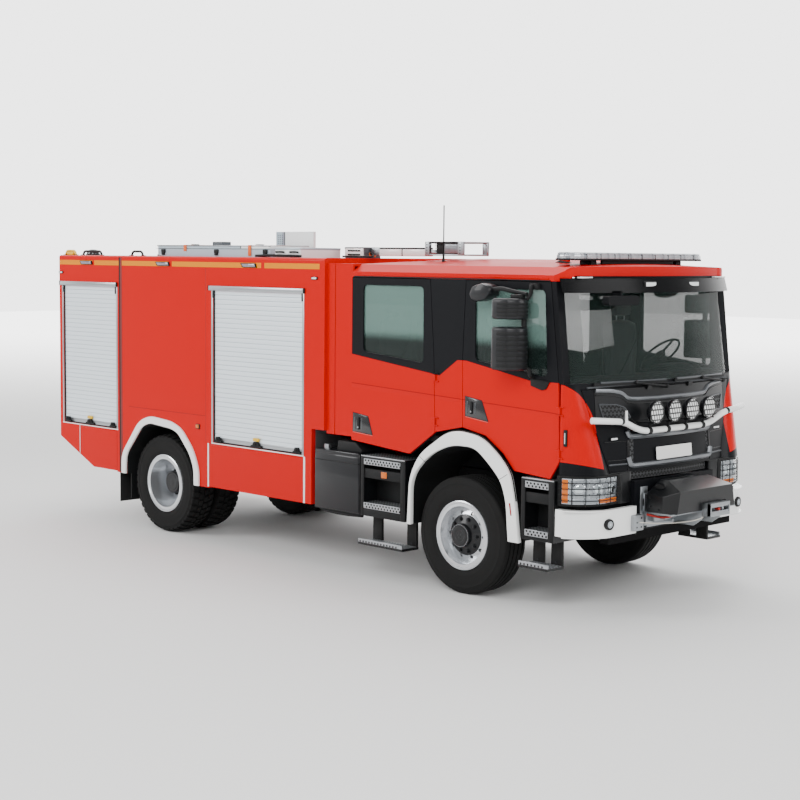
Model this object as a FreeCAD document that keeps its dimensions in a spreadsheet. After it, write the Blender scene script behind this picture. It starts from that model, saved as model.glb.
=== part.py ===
# Crew-cab fire engine with four driven wheels, standing on level ground.
# Millimetres. +X is forward, -Y is the vehicle's right side, +Z is up.
# The origin is on the ground, under the middle of the vehicle.

import FreeCAD, Part
import math
import os
import Sketcher

from FreeCAD import Placement, Rotation, Vector

os.makedirs("parts", exist_ok=True)
document = FreeCAD.newDocument("FireEngine")
sheet = document.addObject("Spreadsheet::Sheet", "Sizes")

# Driving dimensions, one group a piece. Sides are measured outwards from the middle plane.
sizeGroups = {
    "Wheels": {
        "frontAxle": 2260, "wheelbase": 4400, "tyreRadius": 530, "tyreWidth": 304,
        "rimRadius": 298,
        "rimWidth": 280, "rimBore": 262, "frontWheelSide": 1045, "twinSide": 875,
        "twinPitch": 350, "beadGap": 0.3, "runningFit": 0.05,
    },
    "Front rim": {
        "bossFace": 165, "bossRadius": 100, "discFace": 112,
        "discRootFace": 50, "discThick": 22, "journalRadius": 45, "journalEnd": 148,
        "ventCircle": 205, "ventRadius": 17,
    },
    "Rear rims": {
        "hubFace": 118, "hubRadius": 112, "webHalf": 20, "webHoleCircle": 190, "webHoleRadius": 26, "axleEndRadius": 60, "axleEnd": 98,
    },
    "Knuckles": {
        "kingpinSide": 1000, "kingpinRadius": 25, "kingpinHalf": 150, "eyeRadius": 60,
        "eyeHalf": 100, "forkHalf": 45, "forkGap": 5, "webInner": 68,
        "webOuter": 100, "webHalfLength": 60, "armReach": 90,
        "armHalf": 16, "rodGap": 5, "rodRadius": 20, "rodEyeRadius": 28, "rodPin": 14,
    },
    "Axles": {
        "axleTube": 65, "rearTube": 80, "diffRadius": 160, "diffHalf": 105, "diffSide": 110,
        "springSide": 440, "springHalf": 40, "springThick": 58,
        "springHalfLength": 700, "seatHalf": 95,
    },
    "Chassis": {
        "railOuter": 430, "railWeb": 12, "railFlange": 80, "railBottom": 760, "railTop": 1010,
        "frameRear": -4000, "frameFront": 3590, "crossHalf": 50, "crossTall": 130,
        "underrunHalf": 1000, "underrunDeep": 60, "underrunTall": 120, "jawPinRadius": 18,
        "jawHalf": 70, "jawReach": 60, "jawSlot": 46, "jawBack": 10, "restBack": 290,
    },
    "Powertrain": {
        "engineRear": 2060, "engineFront": 3200, "engineHalf": 330, "engineBottom": 820,
        "engineTop": 1600, "gearboxRear": 1350, "gearboxHalf": 190, "gearboxTop": 1180,
        "transferRear": 500, "transferFront": 900, "transferBottom": 640, "shaftRadius": 45,
        "shaftHeight": 770, "propRadius": 38,
    },
    "Cab floor": {
        "cabRear": 850, "wallThick": 50, "floorBottom": 1345, "floorThick": 50,
        "floorHalf": 1160, "floorFront": 3400, "tunnelRear": 2000, "tunnelHalf": 400,
        "tunnelTop": 1700, "tunnelWall": 30, "firewallThick": 25, "firewallTop": 1900,
    },
    "Cab doors": {
        "cabHalf": 1220, "doorThick": 55, "doorTop": 2805, "seam": 6,
        "rearDoorBottom": 1270, "rearDoorToe": 1209, "rearDoorToeX": 1629,
        "rearDoorFoot": 1946, "rearDoorFootZ": 1431, "rearDoorWaist": 1924, "waistZ": 2100,
        "rearDoorHead": 1870, "frontDoorHead": 2312, "frontDoorWaist": 2280,
        "frontDoorHeel": 2290, "frontDoorHeelZ": 1506, "archNearX": 2563, "archNearZ": 1455,
        "archFarX": 2773, "archFarZ": 1318, "frontDoorSill": 2900, "frontDoorSillZ": 1180,
        "frontDoorToe": 3299, "frontDoorToeZ": 1150, "frontDoorEdge": 3395,
        "frontDoorEdgeZ": 1301, "frontDoorBelt": 3375, "beltZ": 1967, "frontDoorPeak": 3275,
        "hingeOut": 10, "hingeAhead": 5,
    },
    "Hinges": {
        "barrelRadius": 8, "barrelLong": 60, "hingePin": 5, "leafThick": 6, "leafLong": 40,
        "leafRoot": 10, "hingeSlack": 1, "doorHingeLow": 1340, "doorHingeHigh": 1700,
        "rearHingeLow": 1500, "rearHingeHigh": 1900, "hatchHingeSide": 300,
        "lidHingeInset": 250, "flapPin": 6, "flapPinLong": 30, "flapAxisIn": 10,
        "flapAxisUp": 10,

    },
    "Cab windows": {
        "rearGlassRear": 1002, "rearGlassFront": 1794, "rearGlassSill": 2118,
        "rearGlassDrop": 2048, "glassHead": 2740, "frontGlassRear": 2428,
        "frontGlassRearTop": 2422, "frontGlassFront": 3252, "frontGlassFrontTop": 3214,
        "frontGlassSill": 2109, "frontGlassDrop": 2002, "glassRound": 45, "glassGap": 0.3,
        "paneThick": 6, "paneInset": 16,
    },
    "Mirrors": {
        "stemBack": 165, "mirrorGap": 30, "mirrorDeep": 280, "mirrorInner": 1300,
        "mirrorWide": 245, "mirrorLow": 2060, "mirrorTall": 365, "mirrorHigh": 2490,
        "mirrorUpper": 175, "mirrorRound": 45, "mirrorArm": 16, "stemIn": 30,
        "stemFoot": 2000, "stemHead": 2775, "kerbGap": 380, "kerbLong": 240,
        "kerbLow": 2625, "kerbTall": 155, "kerbIn": 80, "kerbDeep": 170,
    },
    "Cab front": {
        "faceRadius": 4670, "noseFoot": 3694,
        "noseScreen": 3622, "noseHead": 3516, "footZ": 1195, "sillZ": 1600, "beltTopZ": 1905,
        "screenZ": 1960, "screenHeadZ": 2712, "frontPanel": 45, "screenThick": 8,
        "darkFoot": 815, "darkTop": 1093, "hatchSide": 940, "screenShoulder": 1010,
        "screenEnd": 1128, "screenEndX": 3423, "screenHeadEnd": 1110, "screenHeadEndX": 3317,
        "screenCorner": 190, "cornerRound": 260, "pillarWide": 50, "hatchGap": 6,
        "cornerSide": 3425,
    },
    "Cab roof": {
        "roofFoot": 2812, "roofShoulder": 2862, "roofEdge": 1105, "roofEdgeZ": 2930,
        "roofRearCrown": 2962, "roofMidCrown": 2992, "roofFrontCrown": 2940,
        "roofMid": 1500, "roofFall": 2850, "roofNose": 3530, "roofThick": 45,
        "roofTipX": 3300, "whipX": 1620, "whipSide": 790, "whipRadius": 6, "whipTop": 3480,
        "finX": 2880, "finSide": 650, "finLong": 110, "finThick": 24, "finTop": 3060,
    },
    "Visor and light bar": {
        "visorEnd": 1200, "visorEndX": 3396,
        "visorTopEndX": 3360, "visorLow": 2716, "visorHigh": 2838, "visorThick": 12,
        "visorRadius": 2900, "barRear": 3070, "barFront": 3300, "barHalf": 984,
        "barLow": 2988, "barTop": 3058, "barRound": 60, "barFootHalf": 40, "barFootSide": 620,
        "kerbViewRear": 3600, "kerbViewFront": 3670, "kerbViewInner": 525,
        "kerbViewOuter": 945, "kerbViewLow": 2615, "kerbViewTop": 2695, "kerbViewRound": 28,
        "kerbViewArm": 2735,
    },
    "Gap fairings": {
        "gapSplit": 610, "gapSlit": 8, "gapHalf": 1215, "gapThick": 25,
        "gapLow": 1300, "gapTop": 2935,
    },
    "Inside": {
        "seatFront": 3010, "seatRear": 2500, "seatLow": 1660, "seatTop": 1790,
        "seatInner": 430, "seatOuter": 920, "backThick": 110, "backTop": 2430, "headTop": 2610,
        "headHalf": 130, "benchRear": 905, "benchFront": 1390, "benchLow": 1700,
        "benchTop": 1820, "benchPitch": 500, "benchHalf": 215, "pedestalInset": 60,
        "dashRear": 3100, "dashLow": 1740, "dashTop": 1990, "dashHalf": 1120,
        "wheelX": 3085, "wheelSide": 620, "wheelZ": 2040, "handwheelRadius": 225,
        "handwheelThick": 26, "columnRadius": 35,
    },
    "Steps": {
        "stepOuter": 1245, "stepInner": 960, "rearStepRear": 1010, "rearStepFront": 1600,
        "stepTop": 1140, "stepLow": 570, "stepPlate": 30, "treadMid": 690, "stepDepth": 200,
        "hangTread": 320, "hangThick": 22, "hangInset": 60, "hangInner": 1060,
        "frontStepRear": 2916, "frontStepFront": 3370, "frontStepLow": 610,
        "frontHang": 390, "batteryRear": 363, "batteryFront": 995, "batteryInner": 790,
        "bracketLow": 880, "bracketTall": 80, "bracketLong": 60,
    },
    "Wheel arches": {
        "archSkin": 1275, "archPlate": 1228, "linerInner": 620, "linerThick": 12, "linerRear": 1668,
        "archRearFoot": 1652, "archRearFootOut": 1700, "archFoot": 566, "archRearKneeZ": 1007,
        "archRearKneeOut": 1675, "archRearHipOut": 1802, "archRearHipZ": 1230,
        "archTopRearOut": 2195, "archTopOutZ": 1490, "archTopFrontOut": 2563,
        "archFrontHipOut": 2768, "archFrontHipZ": 1304, "archFrontKneeOut": 2895,
        "archFrontKneeZ": 1168, "archFrontLegOut": 2956, "archFrontLegZ": 920,
        "archFrontFootOut": 3004,
        "rearArchSkin": 1275, "rearLinerInner": 525, "rearArchFoot": 578,
        "rearArchRear": -2752, "rearArchKneeRear": -2748, "rearArchKneeRearZ": 790,
        "rearArchShoulder": -2450, "rearArchShoulderZ": 1125, "rearArchPeakRear": -2308,
        "rearArchPeak": 1176, "rearArchPeakFront": -1919, "rearArchPeakFrontZ": 1146,
        "rearArchHip": -1800, "rearArchHipZ": 1108, "rearArchElbow": -1600,
        "rearArchElbowZ": 905, "rearArchKneeFront": -1530, "rearArchKneeFrontZ": 760,
        "rearArchFront": -1525, "archBand": 82, "archRound": 250, "rearArchRound": 130,
        "mudFlapLow": 300,
        "mudFlapThick": 12,
    },
    "Bumper": {
        "bumperRear": 3375, "bumperHalf": 1235, "bumperRoundX": 3480, "bumperNose": 3730,
        "bumperTurn": 940, "bumperLow": 675, "bumperTop": 905,
        "bumperWall": 60, "bumperRound": 420, "centreLow": 700, "centreTop": 1117,
        "centreDeep": 115, "centreHalf": 580, "valanceLow": 600, "valanceHalf": 900,
        "valanceBack": 20,
    },
    "Headlights": {
        "lampRear": 3375, "lampHalf": 1215, "lampRoundX": 3440, "lampNose": 3660,
        "lampTurn": 960, "lampLow": 940, "lampTop": 1190, "lampWall": 150,
        "lampRound": 330,
    },
    "Front hatch": {
       
        "pipeRadius": 22, "pipeX": 3700, "pipeEnd": 1110, "pipeEndZ": 1658, "pipeBend": 480,
        "pipeZ": 1535, "spotX": 3790, "spotPitch": 260, "spotZ": 1700,
        "spotRadius": 98, "spotDeep": 75, "spotStem": 12,
        "stayHalf": 14, "staySide": 560,
    },
    "Winch": {
        "coverHalf": 475, "coverRear": 3710, "coverFront": 4010, "coverLow": 850,
        "coverBrow": 1050, "coverTop": 1112, "coverCrest": 3770, "coverWall": 8,
        "sideHoleRadius": 55, "sideHoleX": 3860, "sideHoleZ": 965,
        "drumRadius": 62, "drumHalf": 200, "drumX": 3850, "drumZ": 950, "flangeRadius": 78,
        "flangeThick": 14, "motorRadius": 72, "motorLong": 150, "trayLow": 836,
        "trayThick": 14, "leadRear": 4018, "leadFront": 4110, "leadRight": -30,
        "leadLeft": 260, "leadLow": 795, "leadTop": 910, "leadWall": 14,
    },
    "Equipment body": {
        "bodyHalf": 1250, "bodyRear": -4070, "bodyFront": 495, "sideThick": 50,
        "sideTop": 2930, "roofPlate": 2985, "roofRound": 30, "lockerSill": 1060,
        "sillThick": 12, "flapTop": 1044, "flapBottom": 590, "flapThick": 42, "flapSeam": 6,
        "mainFlapRear": -1280, "mainFlapFront": 190, "skirtFront": 316, "skirtTop": 1330,
        "rearFlapRear": -3662, "rearFlapFront": -2945, "tailZ": 892, "tailBreakX": -3397,
        "mainCurtainRear": -1216, "mainCurtainFront": 180, "rearCurtainRear": -3985,
        "rearCurtainFront": -2940, "curtainTop": 2640, "headBarTop": 2685, "headBarRear": -4054,
        "headBarFront": -2917, "mainBarRear": -1289, "mainBarFront": 211, "barDeep": 14,
        "curtainThick": 16, "curtainInset": 14, "curtainGap": 0.3, "slatPitch": 48,
        "slatGroove": 5,
        "bodyFloorThick": 35, "endWall": 50, "rearDoorHalf": 820,
        "rearDoorLow": 1100, "rearDoorHigh": 2700, "lockerBack": 780, "lockerPlate": 14,
    },
    "Roof equipment": {
        "boxRear": -2320, "boxFront": -440, "boxOuter": 1150, "boxInner": 620,
        "boxLid": 3068, "boxTop": 3100, "boxWall": 12, "boxRound": 30, "lidGap": 1,
        "crateRear": -350, "crateFront": 30, "crateTop": 3078,
       
        "plateRear": -1030, "plateSplit": -900, "plateFront": -440, "plateSide": 530,
        "plateTop": 3250, "plateThick": 30, "plateFoot": 3040,
        "postRear": 120, "postFront": 400, "postInner": 420, "postOuter": 640,
        "postTop": 3090, "mastPivotX": 330, "mastPivotZ": 3065, "mastSide": 530,
        "mastRadius": 24, "mastEnd": 1320, "mastPin": 10, "mastFork": 34,
        "floodRear": 1330, "floodFront": 1790, "floodHalf": 190, "floodLow": 3040, "floodTop": 3150,
        "handrailRadius": 16, "handrailTop": 3110, "handrailInset": 60,
        "handrailRear": -3990, "handrailFront": -2700, "ladderSide": 740, "ladderHalf": 200, "ladderRear": -4110,
        "ladderLow": 1150, "ladderTop": 3080, "ladderTube": 15, "rungPitch": 280,
    },
    "Body lamps": {
        "sideLampLow": 2884, "sideLampTop": 2920, "sideLampDeep": 12, "sideLampLong": 240,
        "sideLampFirst": -3633, "sideLampPitch": 1438, "tailLampInner": 980,
        "tailLampOuter": 1180, "tailLampLow": 1150, "tailLampTop": 1650, "tailLampDeep": 30,
        "beaconRadius": 85, "beaconTop": 3120, "beaconX": -3900, "beaconSide": 900,
    },
    "Wipers": {
        "wiperThick": 14, "wiperLong": 900, "wiperZ": 1934, "wiperRise": 30, "wiperAhead": 22,
    },
}


class Size:
    # A length that knows its cells and its present value.
    def __init__(self, text, value):
        self.text = text
        self.value = float(value)

    def __add__(self, other):
        return combined(self, "+", other, self.value + sized(other).value)

    def __radd__(self, other):
        return sized(other) + self

    def __sub__(self, other):
        return combined(self, "-", other, self.value - sized(other).value)

    def __rsub__(self, other):
        return sized(other) - self

    def __mul__(self, other):
        return combined(self, "*", other, self.value * sized(other).value)

    __rmul__ = __mul__

    def __truediv__(self, other):
        return combined(self, "/", other, self.value / sized(other).value)

    def __neg__(self):
        return 0 - self

    def root(self):
        return Size(f"sqrt({self.text})", math.sqrt(self.value))


def sized(number):
    if isinstance(number, Size):
        return number
    return Size(f"({number:.9f})" if number < 0 else f"{number:.9f}", number)


def combined(left, sign, right, value):
    return Size(f"({left.text} {sign} {sized(right).text})", value)


class Sizes:
    # Each alias of the sheet as an attribute.
    pass


def fillSheet():
    row = 1
    for group, cells in sizeGroups.items():
        sheet.set(f"A{row}", group)
        row += 1
        for alias, number in cells.items():
            sheet.set(f"A{row}", alias)
            sheet.set(f"B{row}", str(number))
            sheet.setAlias(f"B{row}", alias)
            setattr(Sizes, alias, Size(f"Sizes.{alias}", number))
            row += 1
    document.recompute()


fillSheet()
v = Sizes

planes = {"side": "XZ_Plane", "cross": "YZ_Plane", "plan": "XY_Plane"}
turns = {
    "X": Rotation(Vector(0, 1, 0), 90),
    "Y": Rotation(Vector(1, 0, 0), -90),
    "Z": Rotation(),
}
nodes = []


def bind(item, path, size):
    item.setExpression(path, sized(size).text)


def place(item, x, y, z):
    bind(item, "Placement.Base.x", x)
    bind(item, "Placement.Base.y", y)
    bind(item, "Placement.Base.z", z)
    return item


def node(name, item):
    item.Label = name
    nodes.append(item)
    return item


def block(x0, x1, y0, y1, z0, z1):
    item = document.addObject("Part::Box", "Block")
    bind(item, "Length", x1 - x0)
    bind(item, "Width", y1 - y0)
    bind(item, "Height", z1 - z0)
    return place(item, x0, y0, z0)


def rod(axis, x, y, z, radius, length):
    item = document.addObject("Part::Cylinder", "Rod")
    item.Placement = Placement(Vector(), turns[axis])
    bind(item, "Radius", radius)
    bind(item, "Height", length)
    return place(item, x, y, z)


def strut(start, end, radius):
    # A round bar from one point to another.
    across, aside, up = [sized(last - first) for first, last in zip(start, end)]
    long = (across * across + aside * aside + up * up).root()
    item = document.addObject("Part::Cylinder", "Strut")
    bind(item, "Radius", radius)
    bind(item, "Height", long)
    base = "; ".join(sized(part).text for part in start)
    turn = f"rotation(vector({(-aside).text}; {across.text}; 0); acos({(up / long).text}))"
    item.setExpression("Placement", f"placement(vector({base}); {turn})")
    return item


def ball(x, y, z, radius):
    item = document.addObject("Part::Sphere", "Ball")
    bind(item, "Radius", radius)
    return place(item, x, y, z)


def group(kind, items, name):
    if len(items) == 1:
        return items[0]
    item = document.addObject(kind, name)
    if kind == "Part::Compound":
        item.Links = items
    else:
        item.Shapes = items
    return item


def fused(*items):
    return group("Part::MultiFuse", list(items), "Welded")


def together(*items):
    return group("Part::Compound", list(items), "Set")


def cut(base, *tools):
    item = document.addObject("Part::Cut", "Trimmed")
    item.Base = base
    item.Tool = fused(*tools)
    return item


def common(base, tool):
    item = document.addObject("Part::Common", "Shared")
    item.Base = base
    item.Tool = tool
    return item


def mirrored(source):
    item = document.addObject("Part::Mirroring", "Mirrored")
    item.Source = source
    item.Normal = Vector(0, 1, 0)
    return item


def both(source):
    return together(source, mirrored(source))


def originPlane(body, role):
    return [feature for feature in body.Origin.OriginFeatures if feature.Role == role][0]


def arcBetween(start, end, radius):
    # A negative radius bends the arc into the outline, which runs counterclockwise.
    inward = radius < 0
    size = abs(radius)
    middle = (start + end) * 0.5
    half = (end - start).Length * 0.5
    away = math.sqrt(max(size * size - half * half, 0))
    side = Vector(start.y - end.y, end.x - start.x, 0).normalize()
    centre = middle - side * away if inward else middle + side * away
    first, last = (end, start) if inward else (start, end)
    firstAngle = math.atan2(first.y - centre.y, first.x - centre.x)
    lastAngle = math.atan2(last.y - centre.y, last.x - centre.x)
    circle = Part.Circle(centre, Vector(0, 0, 1), size)
    return Part.ArcOfCircle(circle, firstAngle, lastAngle), inward


def drawLoop(sketch, points, closed=True):
    base = sketch.GeometryCount
    count = len(points)
    spans = count if closed else count - 1
    ends = []
    rules = []
    for index in range(spans):
        here = points[index]
        after = points[(index + 1) % count]
        start = Vector(here[0].value, here[1].value, 0)
        end = Vector(after[0].value, after[1].value, 0)
        if len(here) == 3:
            arc, inward = arcBetween(start, end, here[2].value)
            sketch.addGeometry(arc)
            ends.append((2, 1) if inward else (1, 2))
        else:
            sketch.addGeometry(Part.LineSegment(start, end))
            ends.append((1, 2))
    for index in range(spans if closed else spans - 1):
        after = (index + 1) % count
        rules.append(Sketcher.Constraint(
            "Coincident", base + index, ends[index][1], base + after, ends[after][0]))
    sketch.addConstraint(rules)
    for index in range(count):
        span = min(index, spans - 1)
        corner = ends[span][0] if index < spans else ends[span][1]
        fixPoint(sketch, base + span, corner, points[index])
    for index in range(spans):
        if len(points[index]) == 3:
            fixRadius(sketch, base + index, points[index][2])


def fixPoint(sketch, curve, corner, point):
    for kind, size in zip(("DistanceX", "DistanceY"), point[:2]):
        rule = sketch.addConstraint(Sketcher.Constraint(kind, -1, 1, curve, corner, size.value))
        sketch.setExpression(f"Constraints[{rule}]", size.text)


def fixRadius(sketch, curve, radius):
    size = -radius if radius.value < 0 else radius
    rule = sketch.addConstraint(Sketcher.Constraint("Radius", curve, size.value))
    sketch.setExpression(f"Constraints[{rule}]", size.text)


def sketchOn(body, plane, loops, closed=True):
    sketch = body.newObject("Sketcher::SketchObject", "Outline")
    sketch.AttachmentSupport = (originPlane(body, planes[plane]), "")
    sketch.MapMode = "FlatFace"
    for loop in loops:
        drawLoop(sketch, [tuple(sized(part) for part in point) for point in loop], closed)
    return sketch


def plate(plane, loops, low, high):
    # A flat piece: its outline, with any holes, between two parallel planes.
    body = document.addObject("PartDesign::Body", "Plate")
    sketch = sketchOn(body, plane, loops)
    pad = body.newObject("PartDesign::Pad", "Pad")
    pad.Profile = sketch
    bind(pad, "Length", high - low)
    if plane == "side":
        bind(body, "Placement.Base.y", high)
    elif plane == "cross":
        bind(body, "Placement.Base.x", low)
    else:
        bind(body, "Placement.Base.z", low)
    return body


def turned(points, x, y, z):
    # A wheel-like piece: points are (outwards along Y, radius).
    body = document.addObject("PartDesign::Body", "Turned")
    sketch = sketchOn(body, "cross", [points])
    spin = body.newObject("PartDesign::Revolution", "Spin")
    spin.Profile = sketch
    spin.ReferenceAxis = (sketch, ["H_Axis"])
    return place(body, x, y, z)


def lofted(plane, sections):
    # A tapered piece: the same outline at several stations along the plane's normal.
    body = document.addObject("PartDesign::Body", "Loft")
    sketches = []
    for station, loop in sections:
        sketch = sketchOn(body, plane, [loop])
        bind(sketch, "AttachmentOffset.Base.z", station)
        sketches.append(sketch)
    loft = body.newObject("PartDesign::AdditiveLoft", "Skin")
    loft.Profile = sketches[0]
    loft.Sections = sketches[1:]
    loft.Ruled = True
    return body


def rounded(points, radius, corners=None):
    # The outline with arcs at its corners, or at the corners named.
    result = []
    radius = sized(radius)
    count = len(points)
    for index, point in enumerate(points):
        if corners is not None and index not in corners:
            result.append(point)
            continue
        before = points[index - 1]
        after = points[(index + 1) % count]
        result.extend(roundCorner(before, point, after, radius))
    return result


def roundCorner(before, point, after, radius):
    x, y = sized(point[0]), sized(point[1])
    back = Vector(sized(before[0]).value - x.value, sized(before[1]).value - y.value, 0)
    ahead = Vector(sized(after[0]).value - x.value, sized(after[1]).value - y.value, 0)
    left = back.x * ahead.y - back.y * ahead.x < 0
    back.normalize()
    ahead.normalize()
    reach = 1 / math.tan(back.getAngle(ahead) / 2)
    first = (x + radius * (back.x * reach), y + radius * (back.y * reach))
    last = (x + radius * (ahead.x * reach), y + radius * (ahead.y * reach))
    return [first + (radius if left else -radius,), last]


def rectangle(a0, a1, b0, b1):
    return [(a0, b0), (a1, b0), (a1, b1), (a0, b1)]


def offsetIn(points, gap):
    # The corners of a convex outline moved inwards by a gap.
    moved = []
    count = len(points)
    for index, point in enumerate(points):
        before = points[index - 1]
        after = points[(index + 1) % count]
        back = Vector(point[0].value - before[0].value, point[1].value - before[1].value, 0)
        ahead = Vector(after[0].value - point[0].value, after[1].value - point[1].value, 0)
        back.normalize()
        ahead.normalize()
        lean = 1 + back.dot(ahead)
        shiftX = -(back.y + ahead.y) / lean
        shiftY = (back.x + ahead.x) / lean
        moved.append((point[0] + gap * shiftX, point[1] + gap * shiftY))
    return moved


# Wheels

rearAxle = v.frontAxle - v.wheelbase
axleHeight = v.tyreRadius
centreNose = v.frameFront + v.centreDeep


def tyre(x, y):
    half = v.tyreWidth / 2
    bore = v.rimRadius + v.beadGap
    return turned([(-half, bore), (half, bore), (half, v.tyreRadius), (-half, v.tyreRadius)],
                  x, y, axleHeight)


def frontRim():
    halfWidth = v.rimWidth / 2
    bore = v.journalRadius
    return turned([
        (v.bossFace, 0), (v.bossFace, v.bossRadius), (v.discFace, v.bossRadius),
        (v.discRootFace, v.rimBore), (halfWidth, v.rimBore), (halfWidth, v.rimRadius),
        (-halfWidth, v.rimRadius), (-halfWidth, v.rimBore),
        (v.discRootFace - v.discThick, v.rimBore),
        (v.discFace - v.discThick, v.bossRadius), (v.discFace - v.discThick, bore),
        (v.journalEnd, bore), (v.journalEnd, 0),
    ][::-1], v.frontAxle, v.frontWheelSide, axleHeight)


def rearRims():
    outer = v.twinPitch / 2 + v.rimWidth / 2
    bore = v.axleEndRadius
    return turned([
        (v.hubFace, 0), (v.hubFace, v.hubRadius), (v.webHalf, v.hubRadius),
        (v.webHalf, v.rimBore), (outer, v.rimBore), (outer, v.rimRadius), (-outer, v.rimRadius),
        (-outer, v.rimBore), (-v.webHalf, v.rimBore), (-v.webHalf, bore),
        (v.axleEnd, bore), (v.axleEnd, 0),
    ][::-1], rearAxle, v.twinSide, axleHeight)


ventCount = 10


def roundHoles(count, circle, radius, x, side):
    # A ring of holes through a wheel's disc.
    holes = []
    for index in range(count):
        turn = math.tau * index / count
        holes.append(rod("Y", x + circle * math.cos(turn), side - v.rimWidth / 2,
                         axleHeight + circle * math.sin(turn), radius, v.rimWidth))
    return fused(*holes)


def wheels():
    frontTyre = tyre(v.frontAxle, v.frontWheelSide)
    rearTyres = together(
        tyre(rearAxle, v.twinSide + v.twinPitch / 2),
        tyre(rearAxle, v.twinSide - v.twinPitch / 2))
    rims = cut(frontRim(), roundHoles(ventCount, v.ventCircle, v.ventRadius, v.frontAxle,
                                      v.frontWheelSide))
    twins = cut(rearRims(), roundHoles(ventCount, v.webHoleCircle, v.webHoleRadius, rearAxle,
                                       v.twinSide))
    for name, item in (
            ("front_tyre", frontTyre), ("front_rim", rims),
            ("rear_tyres", rearTyres), ("rear_rims", twins)):
        node(f"{name}_left", item)
        node(f"{name}_right", mirrored(item))


# Steered ends of the front axle

armHeight = axleHeight - v.kingpinHalf
forkTop = v.eyeHalf + v.forkGap
rodTop = armHeight - v.rodGap
rodHeight = rodTop - v.rodEyeRadius / 2


def knuckle():
    x, y, z = v.frontAxle, v.kingpinSide, axleHeight
    pin = rod("Z", x, y, z - v.kingpinHalf, v.kingpinRadius, 2 * v.kingpinHalf)
    upper = block(x - v.forkHalf, x + v.forkHalf, y - v.forkHalf, y + v.webOuter,
                  z + forkTop, z + v.kingpinHalf)
    lower = block(x - v.forkHalf, x + v.forkHalf, y - v.forkHalf, y + v.webOuter,
                  z - v.kingpinHalf, z - forkTop)
    web = block(x - v.webHalfLength, x + v.webHalfLength, y + v.webInner, y + v.webOuter,
                z - v.kingpinHalf, z + v.kingpinHalf)
    tip = v.frontWheelSide + v.journalEnd - v.rodGap
    journal = rod("Y", x, y + v.webInner, z, v.journalRadius - v.runningFit,
                  tip - y - v.webInner)
    arm = block(x - v.armReach - v.rodEyeRadius, x, y - v.armHalf, y + v.armHalf,
                z - v.kingpinHalf, z - forkTop)
    armPin = rod("Z", x - v.armReach, y, rodTop - v.rodEyeRadius, v.rodPin,
                 v.rodEyeRadius + v.rodGap + v.kingpinHalf - forkTop)
    return fused(pin, upper, lower, web, journal, arm, armPin)


def trackRod():
    # With the arms straight back, it stays level and parallel to the axle.
    x = v.frontAxle - v.armReach
    side = v.kingpinSide
    bar = rod("Y", x, -side, rodHeight, v.rodRadius / 2, 2 * side)
    eyes = both(rod("Z", x, side, rodTop - v.rodEyeRadius, v.rodEyeRadius, v.rodEyeRadius))
    bores = both(rod("Z", x, side, rodTop - 2 * v.rodEyeRadius, v.rodPin + v.runningFit,
                     3 * v.rodEyeRadius))
    return cut(fused(bar, eyes), bores)


def steering():
    left = node("knuckle_left", knuckle())
    node("knuckle_right", mirrored(left))
    node("track_rod", trackRod())


# Axles with their leaf springs

def leafSpring(x, tubeRadius):
    # The pack rises from the axle seat to its hangers under the frame rail.
    seat = axleHeight + tubeRadius
    half = v.springHalfLength
    rise = v.railBottom - v.springThick - seat - v.springThick / 2
    low = seat + v.springThick / 2
    ends = low + rise
    bend = (half * half + rise * rise) / (2 * rise)
    pack = plate("side", [[
        (x - half, ends, bend), (x + half, ends), (x + half, ends + v.springThick, -bend),
        (x - half, ends + v.springThick),
    ]], v.springSide - v.springHalf, v.springSide + v.springHalf)
    saddle = block(x - v.seatHalf, x + v.seatHalf, v.springSide - v.springHalf,
                   v.springSide + v.springHalf, axleHeight, low + v.springThick / 2)
    return fused(pack, saddle)


def rearAxleAssembly():
    end = v.twinSide + v.axleEnd - v.rodGap
    tube = rod("Y", rearAxle, -end, axleHeight, v.axleEndRadius - v.runningFit, 2 * end)
    inner = v.springSide + v.springHalf + v.forkHalf
    casing = rod("Y", rearAxle, -inner, axleHeight, v.rearTube, 2 * inner)
    drive = rod("Y", rearAxle, v.diffSide - v.diffHalf, axleHeight, v.diffRadius,
                2 * v.diffHalf)
    nose = rod("X", rearAxle, v.diffSide, axleHeight, v.diffRadius / 2, 3 * v.diffHalf)
    return fused(tube, casing, drive, nose, both(leafSpring(rearAxle, v.rearTube)))


def frontAxleAssembly():
    x, y, z = v.frontAxle, v.kingpinSide, axleHeight
    tube = rod("Y", x, -y, z, v.axleTube, 2 * y)
    eyes = both(rod("Z", x, y, z - v.eyeHalf, v.eyeRadius, 2 * v.eyeHalf))
    room = both(block(x - 2 * v.eyeRadius, x + 2 * v.eyeRadius, y, y + 2 * v.eyeRadius,
                      z - v.eyeRadius * 2, z + v.eyeRadius * 2))
    drive = rod("Y", x, v.diffSide - v.diffHalf, z, v.diffRadius, 2 * v.diffHalf)
    bores = both(rod("Z", x, y, z - 2 * v.eyeHalf, v.kingpinRadius + v.runningFit,
                     4 * v.eyeHalf))
    nose = rod("X", x - 3 * v.diffHalf, v.diffSide, z, v.diffRadius / 2, 3 * v.diffHalf)
    beam = fused(cut(tube, room), eyes, drive, nose, both(leafSpring(x, v.axleTube)))
    return cut(beam, bores)


# Frame, engine and drive line

def rail():
    outer, web, flange = v.railOuter, v.railWeb, v.railFlange
    return plate("cross", [[
        (outer - flange, v.railBottom), (outer, v.railBottom), (outer, v.railTop),
        (outer - flange, v.railTop), (outer - flange, v.railTop - web),
        (outer - web, v.railTop - web), (outer - web, v.railBottom + web),
        (outer - flange, v.railBottom + web),
    ]], v.frameRear, v.frameFront)


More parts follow.
